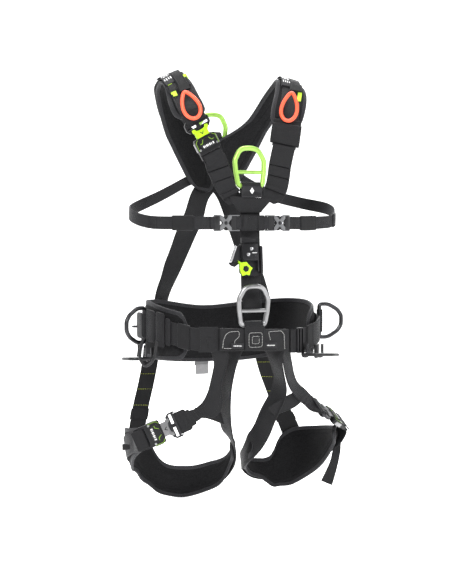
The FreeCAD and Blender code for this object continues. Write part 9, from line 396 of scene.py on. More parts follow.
def stitches(name, paths, normals, mat, pitch=4.2, length=3.0, r=0.32, body=BODY):
    """rows of thread stitches: short rounded threads along each path"""
    parts = []
    for P, Nn in zip(paths, normals):
        P, Nn = np.asarray(P, float), np.asarray(Nn, float)
        d = np.r_[0, np.cumsum(np.linalg.norm(np.diff(P, axis=0), axis=1))]
        cnt = int(d[-1] / pitch)
        for i in range(cnt):
            a = (i + 0.5) * pitch - length / 2
            q = [np.array([np.interp(a + length * f, d, P[:, c]) for c in range(3)]) for f in (0.0, 0.5, 1.0)]
            nn = unit(np.array([np.interp(a + length / 2, d, Nn[:, c]) for c in range(3)]))
            t = unit(q[2] - q[0])
            b = unit(np.cross(nn, t))
            v = []
            for f, rr, lift in ((0, 0.35, -0.25), (0, 0.0, 0), (1, 1.0, 0.12), (2, 0.35, -0.25)):
                if rr == 0.0:
                    continue
                for k in range(5):
                    th = 2 * math.pi * k / 5
                    v.append(q[f] + b * (r * rr * math.cos(th)) + nn * (r * rr * math.sin(th) + lift * r / 0.32))
            fcs = []
            for s_ in (0, 1):
                for k in range(5):
                    l = (k + 1) % 5
                    fcs.append((s_ * 5 + k, s_ * 5 + l, s_ * 5 + 5 + l, s_ * 5 + 5 + k))
            fcs.append((4, 3, 2, 1, 0))
            fcs.append((10, 11, 12, 13, 14))
            parts.append((v, fcs))
    if not parts:
        return None
    return join_meshes(name, parts, mat, body=body, sharp=0)


def tube(name, P, r, mat, closed=False, sides=16, body=BODY, flat=1.0):
    P = np.asarray(P, float)
    n = len(P)
    if closed:
        t = unit(np.roll(P, -1, 0) - np.roll(P, 1, 0))
    else:
        t = unit(np.gradient(P, axis=0))
    ref = unit(np.cross(t[0], [0.3, 0.5, 0.81]))
    A = []
    for i in range(n):
        ref = unit(ref - t[i] * (ref @ t[i]))
        A.append(ref.copy())
    A = np.array(A)
    if closed:
        # spread the closing twist round the loop
        last = unit(A[-1] - t[0] * (A[-1] @ t[0]))
        ang = math.atan2(np.cross(A[0], last) @ t[0], A[0] @ last)
        for i in range(n):
            q = -ang * i / n
            b = np.cross(t[i], A[i])
            A[i] = A[i] * math.cos(q) + b * math.sin(q)
    B = np.cross(t, A)
    th = np.linspace(0, 2 * math.pi, sides, endpoint=False)
    rad = np.full(n, float(r)) if np.isscalar(r) else np.asarray(r, float)
    rings = P[:, None, :] + A[:, None, :] * (rad[:, None, None] * np.cos(th)[None, :, None]) + B[:, None, :] * (rad[:, None, None] * np.sin(th)[None, :, None])
    d = np.r_[0, np.cumsum(np.linalg.norm(np.diff(P, axis=0), axis=1))]
    suv = np.stack([np.broadcast_to((th * r if np.isscalar(r) else th * rad.mean())[None, :], (n, sides)), np.broadcast_to(d[:, None], (n, sides)), np.zeros((n, sides))], axis=2)
    return skin(name, rings, mat, suv, closed=closed, body=body, sharp=40)


def smooth_line(P, n=60, closed=False, passes=2):
    """Catmull-Rom through the points"""
    P = np.asarray(P, float)
    m = len(P)
    out = []
    segs = m if closed else m - 1
    per = max(2, n // segs)
    for i in range(segs):
        p0 = P[(i - 1) % m] if closed or i > 0 else P[0]
        p1, p2 = P[i], P[(i + 1) % m]
        p3 = P[(i + 2) % m] if closed or i + 2 < m else P[-1]
        for k in range(per):
            x = k / per
            out.append(0.5 * ((2 * p1) + (-p0 + p2) * x + (2 * p0 - 5 * p1 + 4 * p2 - p3) * x * x + (-p0 + 3 * p1 - 3 * p2 + p3) * x**3))
    if not closed:
        out.append(P[-1])
    return np.array(out)


def loc(fr, x, y, z):
    o, a, b, c = [np.array(q, float) for q in FR[fr]]
    return o + a * x + b * y + c * z


def wrap_rows(fr, path, W, T, updir=None):
    """webbing running in the y-z plane of a piece of hardware: path of (y, z)"""
    o, a, b, c = [np.array(q, float) for q in FR[fr]]
    P = np.array(path, float)
    t = np.gradient(P, axis=0)
    t = t / np.maximum(np.linalg.norm(t, axis=1)[:, None], 1e-9)
    nn = np.stack([-t[:, 1], t[:, 0]], axis=1)
    if updir is not None and nn[len(nn) // 2] @ np.array(updir) < 0:
        nn = -nn
    return [np.r_[o + b * p[0] + c * p[1], b * q[0] + c * q[1], a, W, T] for p, q in zip(P, nn)]


def arc2(cy, cz, r, a0, a1, n=9):
    return [(cy + r * math.cos(math.radians(a)), cz + r * math.sin(math.radians(a))) for a in np.linspace(a0, a1, n)]


def prism(name, fr, outline, z0, z1, mat, bevel=0.8, body=BODY, segs=3):
    """flat part: outline in a hardware frame's x-y plane, made solid and bevelled"""
    o, a, b, c = [np.array(q, float) for q in (FR[fr] if isinstance(fr, str) else fr)]
    me = bpy.data.meshes.new(name)
    v = [(o + a * x + b * y + c * z) * MM for z in (z0, z1) for x, y in outline]
    k = len(outline)
    f = [tuple(range(k))[::-1], tuple(range(k, 2 * k))] + [(i, (i + 1) % k, k + (i + 1) % k, k + i) for i in range(k)]
    me.from_pydata([tuple(q) for q in v], [], f)
    ob = add(name, me, mat, None, sharp=0)
    if bevel > 0:
        md = ob.modifiers.new("b", "BEVEL")
        md.width = bevel * MM
        md.segments = segs
        md.limit_method = "ANGLE"
        md.angle_limit = math.radians(35)
        md.harden_normals = False
        apply(ob)
        ob.data.set_sharp_from_angle(angle=math.radians(40))
    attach(ob, body)
    return ob


def apply(ob):
    dg = bpy.context.evaluated_depsgraph_get()
    me = bpy.data.meshes.new_from_object(ob.evaluated_get(dg))
    old = ob.data
    ob.modifiers.clear()
    ob.data = me
    ob.data.name = old.name + "_m"
    me.polygons.foreach_set("use_smooth", [True] * len(me.polygons))


def rrect(x0, x1, y0, y1, r, n=5):
    P = []
    for cx, cy, a0 in ((x1 - r, y1 - r, 0), (x0 + r, y1 - r, 90), (x0 + r, y0 + r, 180), (x1 - r, y0 + r, 270)):
        for k in range(n + 1):
            t = math.radians(a0 + 90 * k / n)
            P.append((cx + r * math.cos(t), cy + r * math.sin(t)))
    return P
# ------------------------------------------------------------------ materials
def nodes_of(name):
    m = bpy.data.materials.new(name)
    m.use_nodes = True
    nt = m.node_tree
    return m, nt, nt.nodes["Principled BSDF"]


def math_node(nt, op, a, b=None, c=None):
    n = nt.nodes.new("ShaderNodeMath")
    n.operation = op
    for i, v in enumerate((a, b, c)):
        if v is None:
            continue
        if isinstance(v, (int, float)):
            n.inputs[i].default_value = v
        else:
            nt.links.new(v, n.inputs[i])
    return n.outputs[0]


def ramp(nt, fac, stops):
    n = nt.nodes.new("ShaderNodeValToRGB")
    el = n.color_ramp.elements
    while len(el) > 2:
        el.remove(el[-1])
    for i, (p, c) in enumerate(stops):
        e = el[i] if i < 2 else el.new(p)
        e.position = p
        e.color = (*c, 1) if len(c) == 3 else c
    nt.links.new(fac, n.inputs["Fac"])
    return n.outputs["Color"]


def texture(nt, kind, scale, vec=None, detail=3.0, rough=0.55):
    n = nt.nodes.new("ShaderNodeTex" + kind)
    n.inputs["Scale"].default_value = scale
    if kind == "Noise":
        n.inputs["Detail"].default_value = detail
        n.inputs["Roughness"].default_value = rough
    if vec is not None:
        nt.links.new(vec, n.inputs["Vector"])
    return n


def coords(nt):
    return nt.nodes.new("ShaderNodeTexCoord").outputs["Object"]


def bump(nt, bsdf, height, strength, dist):
    b = nt.nodes.new("ShaderNodeBump")
    b.inputs["Strength"].default_value = strength
    b.inputs["Distance"].default_value = dist
    nt.links.new(height, b.inputs["Height"])
    nt.links.new(b.outputs["Normal"], bsdf.inputs["Normal"])


def blend_col(nt, mode, fac, a, b):
    n = nt.nodes.new("ShaderNodeMix")
    n.data_type = "RGBA"
    n.blend_type = mode
    n.clamp_result = True
    if isinstance(fac, float):
        n.inputs[0].default_value = fac
    else:
        nt.links.new(fac, n.inputs[0])
    for s, v in ((n.inputs[6], a), (n.inputs[7], b)):
        if isinstance(v, tuple):
            s.default_value = (*v, 1)
        else:
            nt.links.new(v, s)
    return n.outputs[2]


def strap_mat(name, dark, light, kind="herring", rough=0.58, sheen=0.05, spec=0.16, pu=3.2, pv=1.5, depth=0.00022, strength=0.7, tint=(1, 1, 1)):
    m, nt, b = nodes_of(name)
    at = nt.nodes.new("ShaderNodeAttribute")
    at.attribute_name = "suv"
    sep = nt.nodes.new("ShaderNodeSeparateXYZ")
    nt.links.new(at.outputs["Vector"], sep.inputs[0])
    U, Vv = sep.outputs["X"], sep.outputs["Y"]
    if kind == "herring":
        z = math_node(nt, "PINGPONG", U, pu / 2)
        h = math_node(nt, "SINE", math_node(nt, "MULTIPLY", math_node(nt, "ADD", Vv, math_node(nt, "MULTIPLY", z, 1.1)), 2 * math.pi / pv))
    elif kind == "plain":
        h1 = math_node(nt, "SINE", math_node(nt, "MULTIPLY", U, 2 * math.pi / pu))
        h2 = math_node(nt, "SINE", math_node(nt, "MULTIPLY", Vv, 2 * math.pi / pv))
        h = math_node(nt, "MULTIPLY", h1, h2)
    else:
        h1 = math_node(nt, "SINE", math_node(nt, "MULTIPLY", U, 2 * math.pi / pu))
        h2 = math_node(nt, "SINE", math_node(nt, "MULTIPLY", Vv, 2 * math.pi / pv))
        h = math_node(nt, "ADD", math_node(nt, "MULTIPLY", h1, 0.75), math_node(nt, "MULTIPLY", h2, 0.25))
    h01 = math_node(nt, "MULTIPLY_ADD", h, 0.5, 0.5)
    big = texture(nt, "Noise", 28.0, coords(nt), 4.0)
    fine = texture(nt, "Noise", 900.0, coords(nt), 2.0)
    col = ramp(nt, h01, [(0.15, dark), (0.85, light)])
    wear = ramp(nt, big.outputs["Fac"], [(0.3, (0.78, 0.78, 0.8)), (0.75, (1.18, 1.17, 1.15))])
    col = blend_col(nt, "MULTIPLY", 1.0, col, wear)
    nt.links.new(col, b.inputs["Base Color"])
    rg = ramp(nt, big.outputs["Fac"], [(0.2, (rough - 0.08,) * 3), (0.8, (rough + 0.1,) * 3)])
    nt.links.new(rg, b.inputs["Roughness"])
    b.inputs["Sheen Weight"].default_value = sheen
    b.inputs["Sheen Roughness"].default_value = 0.45
    b.inputs["Sheen Tint"].default_value = (0.8, 0.82, 0.86, 1)
    b.inputs["Specular IOR Level"].default_value = spec
    hh = math_node(nt, "MULTIPLY_ADD", fine.outputs["Fac"], 0.35, h01)
    bump(nt, b, hh, strength, depth)
    return m


def mesh_mat(name, dark, light, cell=480.0, rough=0.9, sheen=0.03):
    m, nt, b = nodes_of(name)
    v = texture(nt, "Voronoi", cell, coords(nt))
    big = texture(nt, "Noise", 14.0, coords(nt), 4.0)
    col = ramp(nt, v.outputs["Distance"], [(0.12, dark), (0.62, light)])
    wear = ramp(nt, big.outputs["Fac"], [(0.3, (0.8, 0.8, 0.82)), (0.75, (1.15, 1.15, 1.15))])
    nt.links.new(blend_col(nt, "MULTIPLY", 1.0, col, wear), b.inputs["Base Color"])
    b.inputs["Roughness"].default_value = rough
    b.inputs["Sheen Weight"].default_value = sheen
    b.inputs["Sheen Roughness"].default_value = 0.6
    b.inputs["Specular IOR Level"].default_value = 0.08
    bump(nt, b, v.outputs["Distance"], 0.8, 0.0005)
    return m


def metal_mat(name, base, rough=0.32, metallic=1.0, var=0.12, coat=0.0, scratch=True, dark=0.75):
    m, nt, b = nodes_of(name)
    big = texture(nt, "Noise", 35.0, coords(nt), 5.0)
    fine = texture(nt, "Noise", 700.0, coords(nt), 3.0)
    lo = tuple(c * dark for c in base)
    col = ramp(nt, big.outputs["Fac"], [(0.3, lo), (0.62, base)])
    nt.links.new(col, b.inputs["Base Color"])
    mixr = math_node(nt, "MULTIPLY_ADD", fine.outputs["Fac"], var, rough - var / 2)
    mixr = math_node(nt, "MULTIPLY_ADD", big.outputs["Fac"], var, mixr)
    nt.links.new(mixr, b.inputs["Roughness"])
    b.inputs["Metallic"].default_value = metallic
    b.inputs["Coat Weight"].default_value = coat
    bump(nt, b, fine.outputs["Fac"], 0.12, 0.0001)
    return m


def plastic_mat(name, base, rough=0.45, grain=1400.0, depth=0.00006, sss=0.0, dark=0.8):
    m, nt, b = nodes_of(name)
    big = texture(nt, "Noise", 30.0, coords(nt), 4.0)
    fine = texture(nt, "Noise", grain, coords(nt), 2.0)
    lo = tuple(c * dark for c in base)
    nt.links.new(ramp(nt, big.outputs["Fac"], [(0.3, lo), (0.7, base)]), b.inputs["Base Color"])
    nt.links.new(math_node(nt, "MULTIPLY_ADD", big.outputs["Fac"], 0.15, rough - 0.07), b.inputs["Roughness"])
    b.inputs["Specular IOR Level"].default_value = 0.32
    bump(nt, b, fine.outputs["Fac"], 0.5, depth)
    return m


def thread_mat(name, base, rough=0.6):
    m, nt, b = nodes_of(name)
    fine = texture(nt, "Noise", 2500.0, coords(nt), 2.0)
    nt.links.new(ramp(nt, fine.outputs["Fac"], [(0.3, tuple(c * 0.7 for c in base)), (0.7, base)]), b.inputs["Base Color"])
    b.inputs["Roughness"].default_value = rough
    b.inputs["Specular IOR Level"].default_value = 0.2
    b.inputs["Sheen Weight"].default_value = 0.05
    return m


M = {
    "web": strap_mat("webbing_black", (0.0034, 0.0034, 0.0038), (0.0145, 0.0145, 0.016)),
    "web_inner": strap_mat("webbing_narrow", (0.005, 0.005, 0.0057), (0.018, 0.018, 0.020), pu=2.4, pv=1.2),
    "bind": strap_mat("binding_tape", (0.009, 0.009, 0.010), (0.030, 0.030, 0.033), kind="plain", pu=1.2, pv=1.0, depth=0.00014),
    "panel": strap_mat("panel_cloth", (0.0048, 0.0048, 0.0052), (0.0175, 0.0175, 0.019), kind="plain", pu=1.1, pv=1.1, depth=0.00015),
    "elastic": strap_mat("elastic_band", (0.0035, 0.0035, 0.0038), (0.012, 0.012, 0.013), kind="rib", pu=1.6, pv=2.6, depth=0.0003),
    "pad": mesh_mat("pad_mesh", (0.0022, 0.0022, 0.0024), (0.0095, 0.0095, 0.0102)),
    "label": strap_mat("label_grey", (0.19, 0.19, 0.195), (0.26, 0.26, 0.265), kind="plain", pu=0.8, pv=0.8, depth=0.00006, sheen=0.1),
    "label_black": strap_mat("label_black", (0.012, 0.012, 0.013), (0.022, 0.022, 0.024), kind="plain", pu=0.8, pv=0.8, depth=0.00006, sheen=0.1),
    "white": thread_mat("print_white", (0.72, 0.72, 0.72), 0.55),
    "tape": strap_mat("tape_lime", (0.36, 0.58, 0.03), (0.52, 0.78, 0.06), kind="plain", pu=0.9, pv=0.9, depth=0.00008, sheen=0.1),
    "thread_white": thread_mat("thread_light", (0.40, 0.40, 0.39)),
    "thread_yellow": thread_mat("thread_yellow_green", (0.40, 0.46, 0.05)),
    "thread_black": thread_mat("thread_black", (0.014, 0.014, 0.015), 0.5),
    "lime": metal_mat("anodised_lime", (0.33, 0.57, 0.105), 0.38, 0.6, dark=0.8),
    "lime_dark": metal_mat("anodised_lime_bright", (0.42, 0.74, 0.015), 0.36, 0.5, dark=0.86),
    "silver": metal_mat("aluminium_bead_blast", (0.30, 0.30, 0.305), 0.34, 1.0),
    "steel": metal_mat("aluminium_satin", (0.42, 0.42, 0.43), 0.30, 1.0),
    "plate": metal_mat("aluminium_grey_plate", (0.20, 0.20, 0.205), 0.36, 0.9),
    "dark": metal_mat("anodised_graphite", (0.042, 0.042, 0.045), 0.30, 0.9),
    "blackmetal": metal_mat("anodised_black", (0.014, 0.014, 0.0155), 0.34, 0.6),
    "orange": plastic_mat("loop_orange", (0.88, 0.105, 0.045), 0.42, dark=0.88),
    "black": plastic_mat("plastic_black", (0.010, 0.010, 0.011), 0.40),
    "grey": plastic_mat("plastic_grey", (0.12, 0.122, 0.127), 0.34),
    "green_line": plastic_mat("print_green", (0.16, 0.30, 0.02), 0.45),
}


# ------------------------------------------------------------------ hardware: the CAD nodes keep their shape and take a finish
FINISH = {
    "sternal_ring": "lime", "dorsal_ring": "lime", "ventral_ring": "silver", "side_ring_right": "dark", "side_ring_left": "dark",
    "shoulder_buckle_housing": "blackmetal", "shoulder_buckle_tongue": "lime_dark", "shoulder_buckle_adjuster": "blackmetal",
    "shoulder_buckle_lever_a": "silver", "shoulder_buckle_lever_b": "silver", "leg_buckle_housings": "blackmetal",
    "leg_buckle_tongues": "dark", "leg_buckle_right_lever_a": "silver", "leg_buckle_right_lever_b": "silver",
    "leg_buckle_left_lever_a": "silver", "leg_buckle_left_lever_b": "silver", "chest_buckle_females": "grey",
    "chest_buckle_males": "black", "ascender_frame": "blackmetal", "ascender_cam": "dark", "ascender_catch": "lime_dark",
    "dorsal_plate": "black", "gear_loop_right": "black", "gear_loop_left": "black", "belt_adjusters": "blackmetal",
}
for node, key in FINISH.items():
    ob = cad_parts[node]
    if not ob.material_slots:
        ob.data.materials.append(M[key])
    for sl in ob.material_slots:
        sl.material = M[key]


def band(name, st, s0, s1, gap, wall, mat, body=BODY, replaces=None, waves=0.0, seam=None):
    """flat band that goes right round a strap"""
    r = st.at((s0 + s1) / 2)[0]
    W, T = r[9], r[10]
    A, B = W / 2 + gap + wall / 2, T / 2 + gap + wall / 2
    rc = min(B * 0.98, 2.6)
    path = np.array(rrect(-A, A, -B, B, rc, 4))
    # denser along the long sides
    dense, nrmv = [], []
    m = len(path)
    for i in range(m):
        p, q = path[i], path[(i + 1) % m]
        k = max(1, int(np.linalg.norm(q - p) / 3.0))
        for j in range(k):
            dense.append(p + (q - p) * j / k)
    dense = np.array(dense)
    t = unit(np.roll(dense, -1, 0) - np.roll(dense, 1, 0))
    out = np.stack([t[:, 1], -t[:, 0]], axis=1)
    H2 = (s1 - s0) / 2
    w = wall / 2
    sec = [(-H2 + 0.4, -w), (0, -w), (H2 - 0.4, -w), (H2, -w * 0.4), (H2, w * 0.4), (H2 - 0.4, w), (H2 - 2.0, w), (H2 - 2.6, w - 0.2), (H2 - 3.2, w), (H2 * 0.4, w + 0.1), (0, w + 0.12), (-H2 * 0.4, w + 0.1),
           (-H2 + 3.2, w), (-H2 + 2.6, w - 0.2), (-H2 + 2.0, w), (-H2 + 0.4, w), (-H2, w * 0.4), (-H2, -w * 0.4)]
    rings, suv = [], []
    dl = np.r_[0, np.cumsum(np.linalg.norm(np.diff(dense, axis=0), axis=1))]
    for i in range(len(dense)):
        row, sv = [], []
        for (ds, dh) in sec:
            q = st.at((s0 + s1) / 2 + ds)[0]
            bump_ = waves * math.sin(dense[i, 0] / 3.1) * (1 if dense[i, 1] > 0 else 0) * math.cos(ds / H2 * 1.2)
            u = dense[i, 0] * (q[9] / W) + out[i, 0] * dh
            h = dense[i, 1] + out[i, 1] * (dh + bump_)
            row.append(q[:3] + q[6:9] * u + q[3:6] * h)
            sv.append((ds, dl[i], 0))
        rings.append(row)
        suv.append(sv)
    ob = skin(name, rings, mat, suv, closed=True, body=body, sharp=60)
    if replaces:
        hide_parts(replaces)
    return ob


# ------------------------------------------------------------------ pads
pad("yoke_right", ROWS["yoke_pad_right"], M["pad"], M["bind"], rc=22, rc_end=14, chan=(21.0,), replaces="yoke_pad_right", stitch_mat=M["thread_black"])
pad("yoke_left", ROWS["yoke_pad_left"], M["pad"], M["bind"], rc=22, rc_end=14, chan=(21.0,), replaces="yoke_pad_left", stitch_mat=M["thread_black"])
pad("belt_cushion", ROWS["belt_pad"], M["pad"], M["bind"], rc=22, chan=(17.0,), replaces="belt_pad", stitch_mat=M["thread_black"])
pad("leg_cushion_right", ROWS["leg_pad_right"], M["pad"], M["bind"], rc=16, chan=(18.0,), replaces="leg_pad_right", stitch_mat=M["thread_black"])
pad("leg_cushion_left", ROWS["leg_pad_left"], M["pad"], M["bind"], rc=16, chan=(18.0,), replaces="leg_pad_left", stitch_mat=M["thread_black"])

# ------------------------------------------------------------------ webbing
S = {k: Strip(v) for k, v in ROWS.items() if not isinstance(v[0][0], (list, tuple))}
for n in ("shoulder_webbing_right", "shoulder_webbing_left", "front_webbing_right", "back_webbing_right", "back_webbing_left", "ventral_webbing",
          "belt_webbing", "leg_webbing_right", "leg_webbing_left"):
    webbing(n + "_strap", S[n], M["web"], replaces=n)
for n in ("side_strap_right", "side_strap_left", "chest_band"):
    webbing(n + "_strap", S[n], M["web_inner"], replaces=n)
for n in ("sternal_ring_loop", "ventral_ring_loop", "dorsal_ring_loop"):
    webbing(n + "_strap", S[n], M["web"], step=1.2, wave=0.05, replaces=n)
for side in ("right", "left"):
    webbing("leg_front_%s" % side, S["leg_front_webbing_" + side], M["web"], replaces="leg_front_webbing_" + side)
    webbing("leg_bridge_strap_%s" % side, S["leg_bridge_" + side], M["web"])
    webbing("rear_elastic_%s_band" % side, S["rear_elastic_" + side], M["elastic"], replaces="rear_elastic_" + side)
webbing("sternal_junction_patch", S["sternal_junction"], M["web"], step=2.0, wave=0.05, replaces="sternal_junction")
webbing("front_panel", S["belt_front_panel"], M["panel"], wave=0.12, replaces="belt_front_panel")

# belt loops, keepers and tabs
webbing("side_loop_right", ROWS["side_ring_loop_right"], M["web"], step=1.0, wave=0.0, replaces="belt_loops")
webbing("side_loop_left", ROWS["side_ring_loop_left"], M["web"], step=1.0, wave=0.0)
for i, r in enumerate(ROWS["belt_keepers"]):
    st = Strip(r)
    band("belt_keeper_%d" % i, st, 0, st.L, 0.45, 1.6, M["elastic"])
for i, r in enumerate(ROWS["gear_tabs"]):
    webbing("gear_tab_%d" % i, r, M["web_inner"], step=1.0, wave=0.0)
for i, r in enumerate(ROWS["shoulder_labels"]):
    o = webbing("shoulder_label_%d" % i, r, M["label"], wave=0.1, step=2.0)
    if i == 0:
        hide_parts("labels")
for i, r in enumerate(ROWS["shoulder_tapes"]):
    o = webbing("shoulder_tape_%d" % i, r, M["tape"], wave=0.05, step=2.0)
    if i == 0:
        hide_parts("shoulder_tapes")
for i, r in enumerate(ROWS["shoulder_keepers"]):
    st = Strip(r)
    o = band("shoulder_keeper_%d" % i, st, 0, st.L, 0.4, 1.5, M["elastic"], waves=0.25 if i == 2 else 0.1)
    if i == 0:
        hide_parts("shoulder_keepers")
for side in ("right", "left"):
    st = S["chest_keeper_" + side]
    band("chest_keeper_%s_band" % side, st, 0, st.L, 0.5, 1.6, M["elastic"], body="chest_keeper_%s_body" % side, replaces="chest_keeper_" + side)
for i, r in enumerate(ROWS["belt_labels"]):
    o = webbing("belt_label_%d" % i, r, M["label"] if i == 0 else M["label_black"], wave=0.0, step=2.0)
# tool loops
for side in ("right", "left"):
    P = smooth_line(PT["tool_loop_" + side], 96, closed=True)
    tube("tool_loop_%s_cord" % side, P, 3.7, M["orange"], closed=True, sides=20, body="tool_loop_%s_body" % side)
    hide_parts("tool_loop_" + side)
for i, P in enumerate(PT["accessory_loops"]):
    o = tube("accessory_loop_%d" % i, smooth_line(P, 60), 2.9, M["black"])
    if i == 0:
        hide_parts("accessory_loops")


# ------------------------------------------------------------------ small parts and sewing
def over(name, base, s0, s1, mat, W=None, T=2.0, lift=0.25, u0=0.0, wave=0.1, step=2.0):
    return webbing(name, S[base].cut(s0, s1, lift, W, T, u0), mat, step=step, wave=wave)


def cross_stitch(name, base, places, mat, margin=3.0, lift=0.0, r=0.36, pitch=3.6, length=2.6, u0=0.0, W=None, side=1):
    """lines of stitches across a strap"""
    st = S[base] if isinstance(base, str) else base
    P, Nn = [], []
    for s in places:
        w = (W or st.at(s)[0, 9]) / 2 - margin
        h = lift + 0.05 if side > 0 else -st.at(s)[0, 10] - lift - 0.05
        us = np.linspace(-w, w, 12) + u0
        P.append(np.vstack([st.pt(s, u, h) for u in us]))
        Nn.append(np.repeat(st.nrm(s) * side, 12, 0))
    return stitches(name, P, Nn, mat, pitch, length, r)


def side_stitch(name, base, s0, s1, us, mat, lift=0.0, pitch=4.4, length=3.1, r=0.3):
    st = S[base] if isinstance(base, str) else base
    ss = np.linspace(s0, s1, max(4, int((s1 - s0) / 5)))
    P = [st.pt(ss, u, lift + 0.05) for u in us]
    return stitches(name, P, [st.nrm(ss)] * len(us), mat, pitch, length, r)


def box_stitch(name, base, s0, s1, u0, u1, mat, lift=0.0, cross=False, r=0.3, rc=0.0):
    st = S[base] if isinstance(base, str) else base
    pts = rrect(s0, s1, u0, u1, max(rc, 0.5), 4)
    pts = pts + [pts[0]]
    d = []
    for a, b in zip(pts[:-1], pts[1:]):
        k = max(1, int(math.dist(a, b) / 2.5))
        d += [(a[0] + (b[0] - a[0]) * j / k, a[1] + (b[1] - a[1]) * j / k) for j in range(k)]
    d.append(pts[-1])
    s = np.array([q[0] for q in d])
    u = np.array([q[1] for q in d])
    P = [st.pt(s, u, lift + 0.05)]
    Nn = [st.nrm(s)]
    if cross:
        for q in (1, -1):
            t = np.linspace(0, 1, 12)
            s2 = s0 + (s1 - s0) * t
            u2 = (u0 + (u1 - u0) * t) if q > 0 else (u1 + (u0 - u1) * t)
            P.append(st.pt(s2, u2, lift + 0.05))
            Nn.append(st.nrm(s2))
    return stitches(name, P, Nn, mat, 3.4, 2.5, r)


# left shoulder strap: folded plies below the wide keeper, and the hem
for k, (a, b, t) in enumerate([(383, 424, 6.4), (425.5, 444.5, 4.4), (446, 473, 2.2)]):
    over("shoulder_fold_left_%d" % k, "shoulder_webbing_left", a, b, M["web"], T=t, W=44.5, wave=0.25)
over("shoulder_hem_left", "shoulder_webbing_left", 466, 474.5, M["web"], T=1.8, W=44.6, lift=2.6, wave=0.1)
cross_stitch("shoulder_hem_left_thread", "shoulder_webbing_left", [469.5], M["thread_black"], lift=3.6)
def puff(name, base, s0, s1, W, T, mat, lift=0.2, u0=0.0, waves=3, amp=0.5):
    """padded sleeve: rounded edges, fullest in the middle, with soft ripples across"""
    st = S[base]
    n_ = 30
    rings, suv = [], []
    for i in range(n_ + 1):
        f = i / n_
        s_ = s0 + (s1 - s0) * f
        q = st.at(s_)[0]
        e = (1 - abs(2 * f - 1) ** 7) ** (1 / 3.0) if 0 < f < 1 else 0.0
        th_ = max(0.9, T * (0.28 + 0.72 * e) + amp * math.sin(f * math.pi * 2 * waves) * e)
        row, sv = [], []
        for k in range(28):
            a = 2 * math.pi * k / 28
            cx_, cy_ = math.cos(a), math.sin(a)
            u = (W / 2 - 1.2 * (1 - e)) * math.copysign(abs(cx_) ** 0.35, cx_)
            h = th_ / 2 * math.copysign(abs(cy_) ** 0.6, cy_) * (0.75 + 0.25 * (1 - (u / (W / 2 + 0.1)) ** 2))
            row.append(q[:3] + q[6:9] * (u + u0) + q[3:6] * (q[10] / 2 + lift + th_ / 2 * 0.75 + h))
            sv.append((u, s_, 0))
        rings.append(row)
        suv.append(sv)
    return skin(name, rings, mat, suv, sharp=60)


puff("shoulder_sleeve_left", "shoulder_webbing_left", 338, 381, 59, 9.0, M["web"], lift=-1.0, amp=0.9)
puff("shoulder_sleeve_left_lip", "shoulder_webbing_left", 330, 340.5, 56, 6.0, M["elastic"], lift=-0.8, waves=1)
# right front strap: the same below the buckle
for k, (a, b, t) in enumerate([(6.0, 26.5, 3.4), (28, 48, 5.2), (49.5, 83, 3.0)]):
    over("front_fold_right_%d" % k, "front_webbing_right", a, b, M["web"], T=t, W=(44.5, 44.0, 41.0)[k], wave=0.25)
over("front_hem_right", "front_webbing_right", 75.5, 84, M["web"], T=1.8, W=41.5, lift=3.4, wave=0.1)
cross_stitch("front_hem_right_thread", "front_webbing_right", [79], M["thread_black"], lift=3.9)
for n in ("shoulder_webbing_left", "shoulder_webbing_right"):
    side_stitch(n + "_edge_thread", n, 40, S[n].L - (130 if "left" in n else 20), (-16.5, 16.5), M["thread_black"])

# tabs that hold the coloured loops, with printed labels beside them
over("shoulder_tab_right", "shoulder_webbing_right", 172, 270, M["web"], W=20, T=5.0, u0=7.0, wave=0.3)
over("shoulder_tab_right_cap", "shoulder_webbing_right", 256, 271, M["elastic"], W=23, T=5.4, u0=6.5, wave=0.1)
over("shoulder_tab_left", "shoulder_webbing_left", 168, 250, M["web"], W=23, T=4.2, u0=-6.0, wave=0.3)
over("shoulder_tab_left_cap", "shoulder_webbing_left", 238, 254, M["elastic"], W=27, T=5.6, u0=-7.0, wave=0.1)
over("shoulder_print_right", "shoulder_webbing_right", 172, 240, M["label_black"], W=21, T=0.9, u0=-12.5, lift=1.6, wave=0.05)
over("shoulder_print_left", "shoulder_webbing_left", 172, 240, M["label_black"], W=21, T=0.9, u0=14.0, lift=1.6, wave=0.05)
over("shoulder_tape_chip_a", "shoulder_webbing_right", 234, 247, M["tape"], W=9, T=0.9, u0=20.0, wave=0.0)
over("shoulder_tape_chip_b", "shoulder_webbing_right", 258, 267, M["tape"], W=7, T=0.9, u0=-18.0, wave=0.0)

# chest straps: bar tacks, end tab, middle block
for k, (a, b) in enumerate([(317.5, 322), (327, 334)]):
    over("side_tack_right_%d" % k, "side_strap_right", a, b, M["panel"], W=25.2, T=0.9, wave=0)
over("side_tab_left", "side_strap_left", PT["side_tab_left"][0], PT["side_tab_left"][1], M["web_inner"], W=27, T=2.6, wave=0)
over("chest_block", "chest_band", 3.0, 50.0, M["web"], W=30, T=3.0, wave=0.3)
over("chest_block_fold_a", "chest_band", 6.0, 16.0, M["web"], W=30.4, T=1.2, lift=3.3, wave=0.1)
over("chest_block_fold_b", "chest_band", 37.0, 47.0, M["web"], W=30.4, T=1.2, lift=3.3, wave=0.1)
box_stitch("chest_block_thread", Strip(S["chest_band"].cut(3, 50, 0.25, 30, 3.0)), 15, 32, -12, 12, M["thread_black"], cross=True)

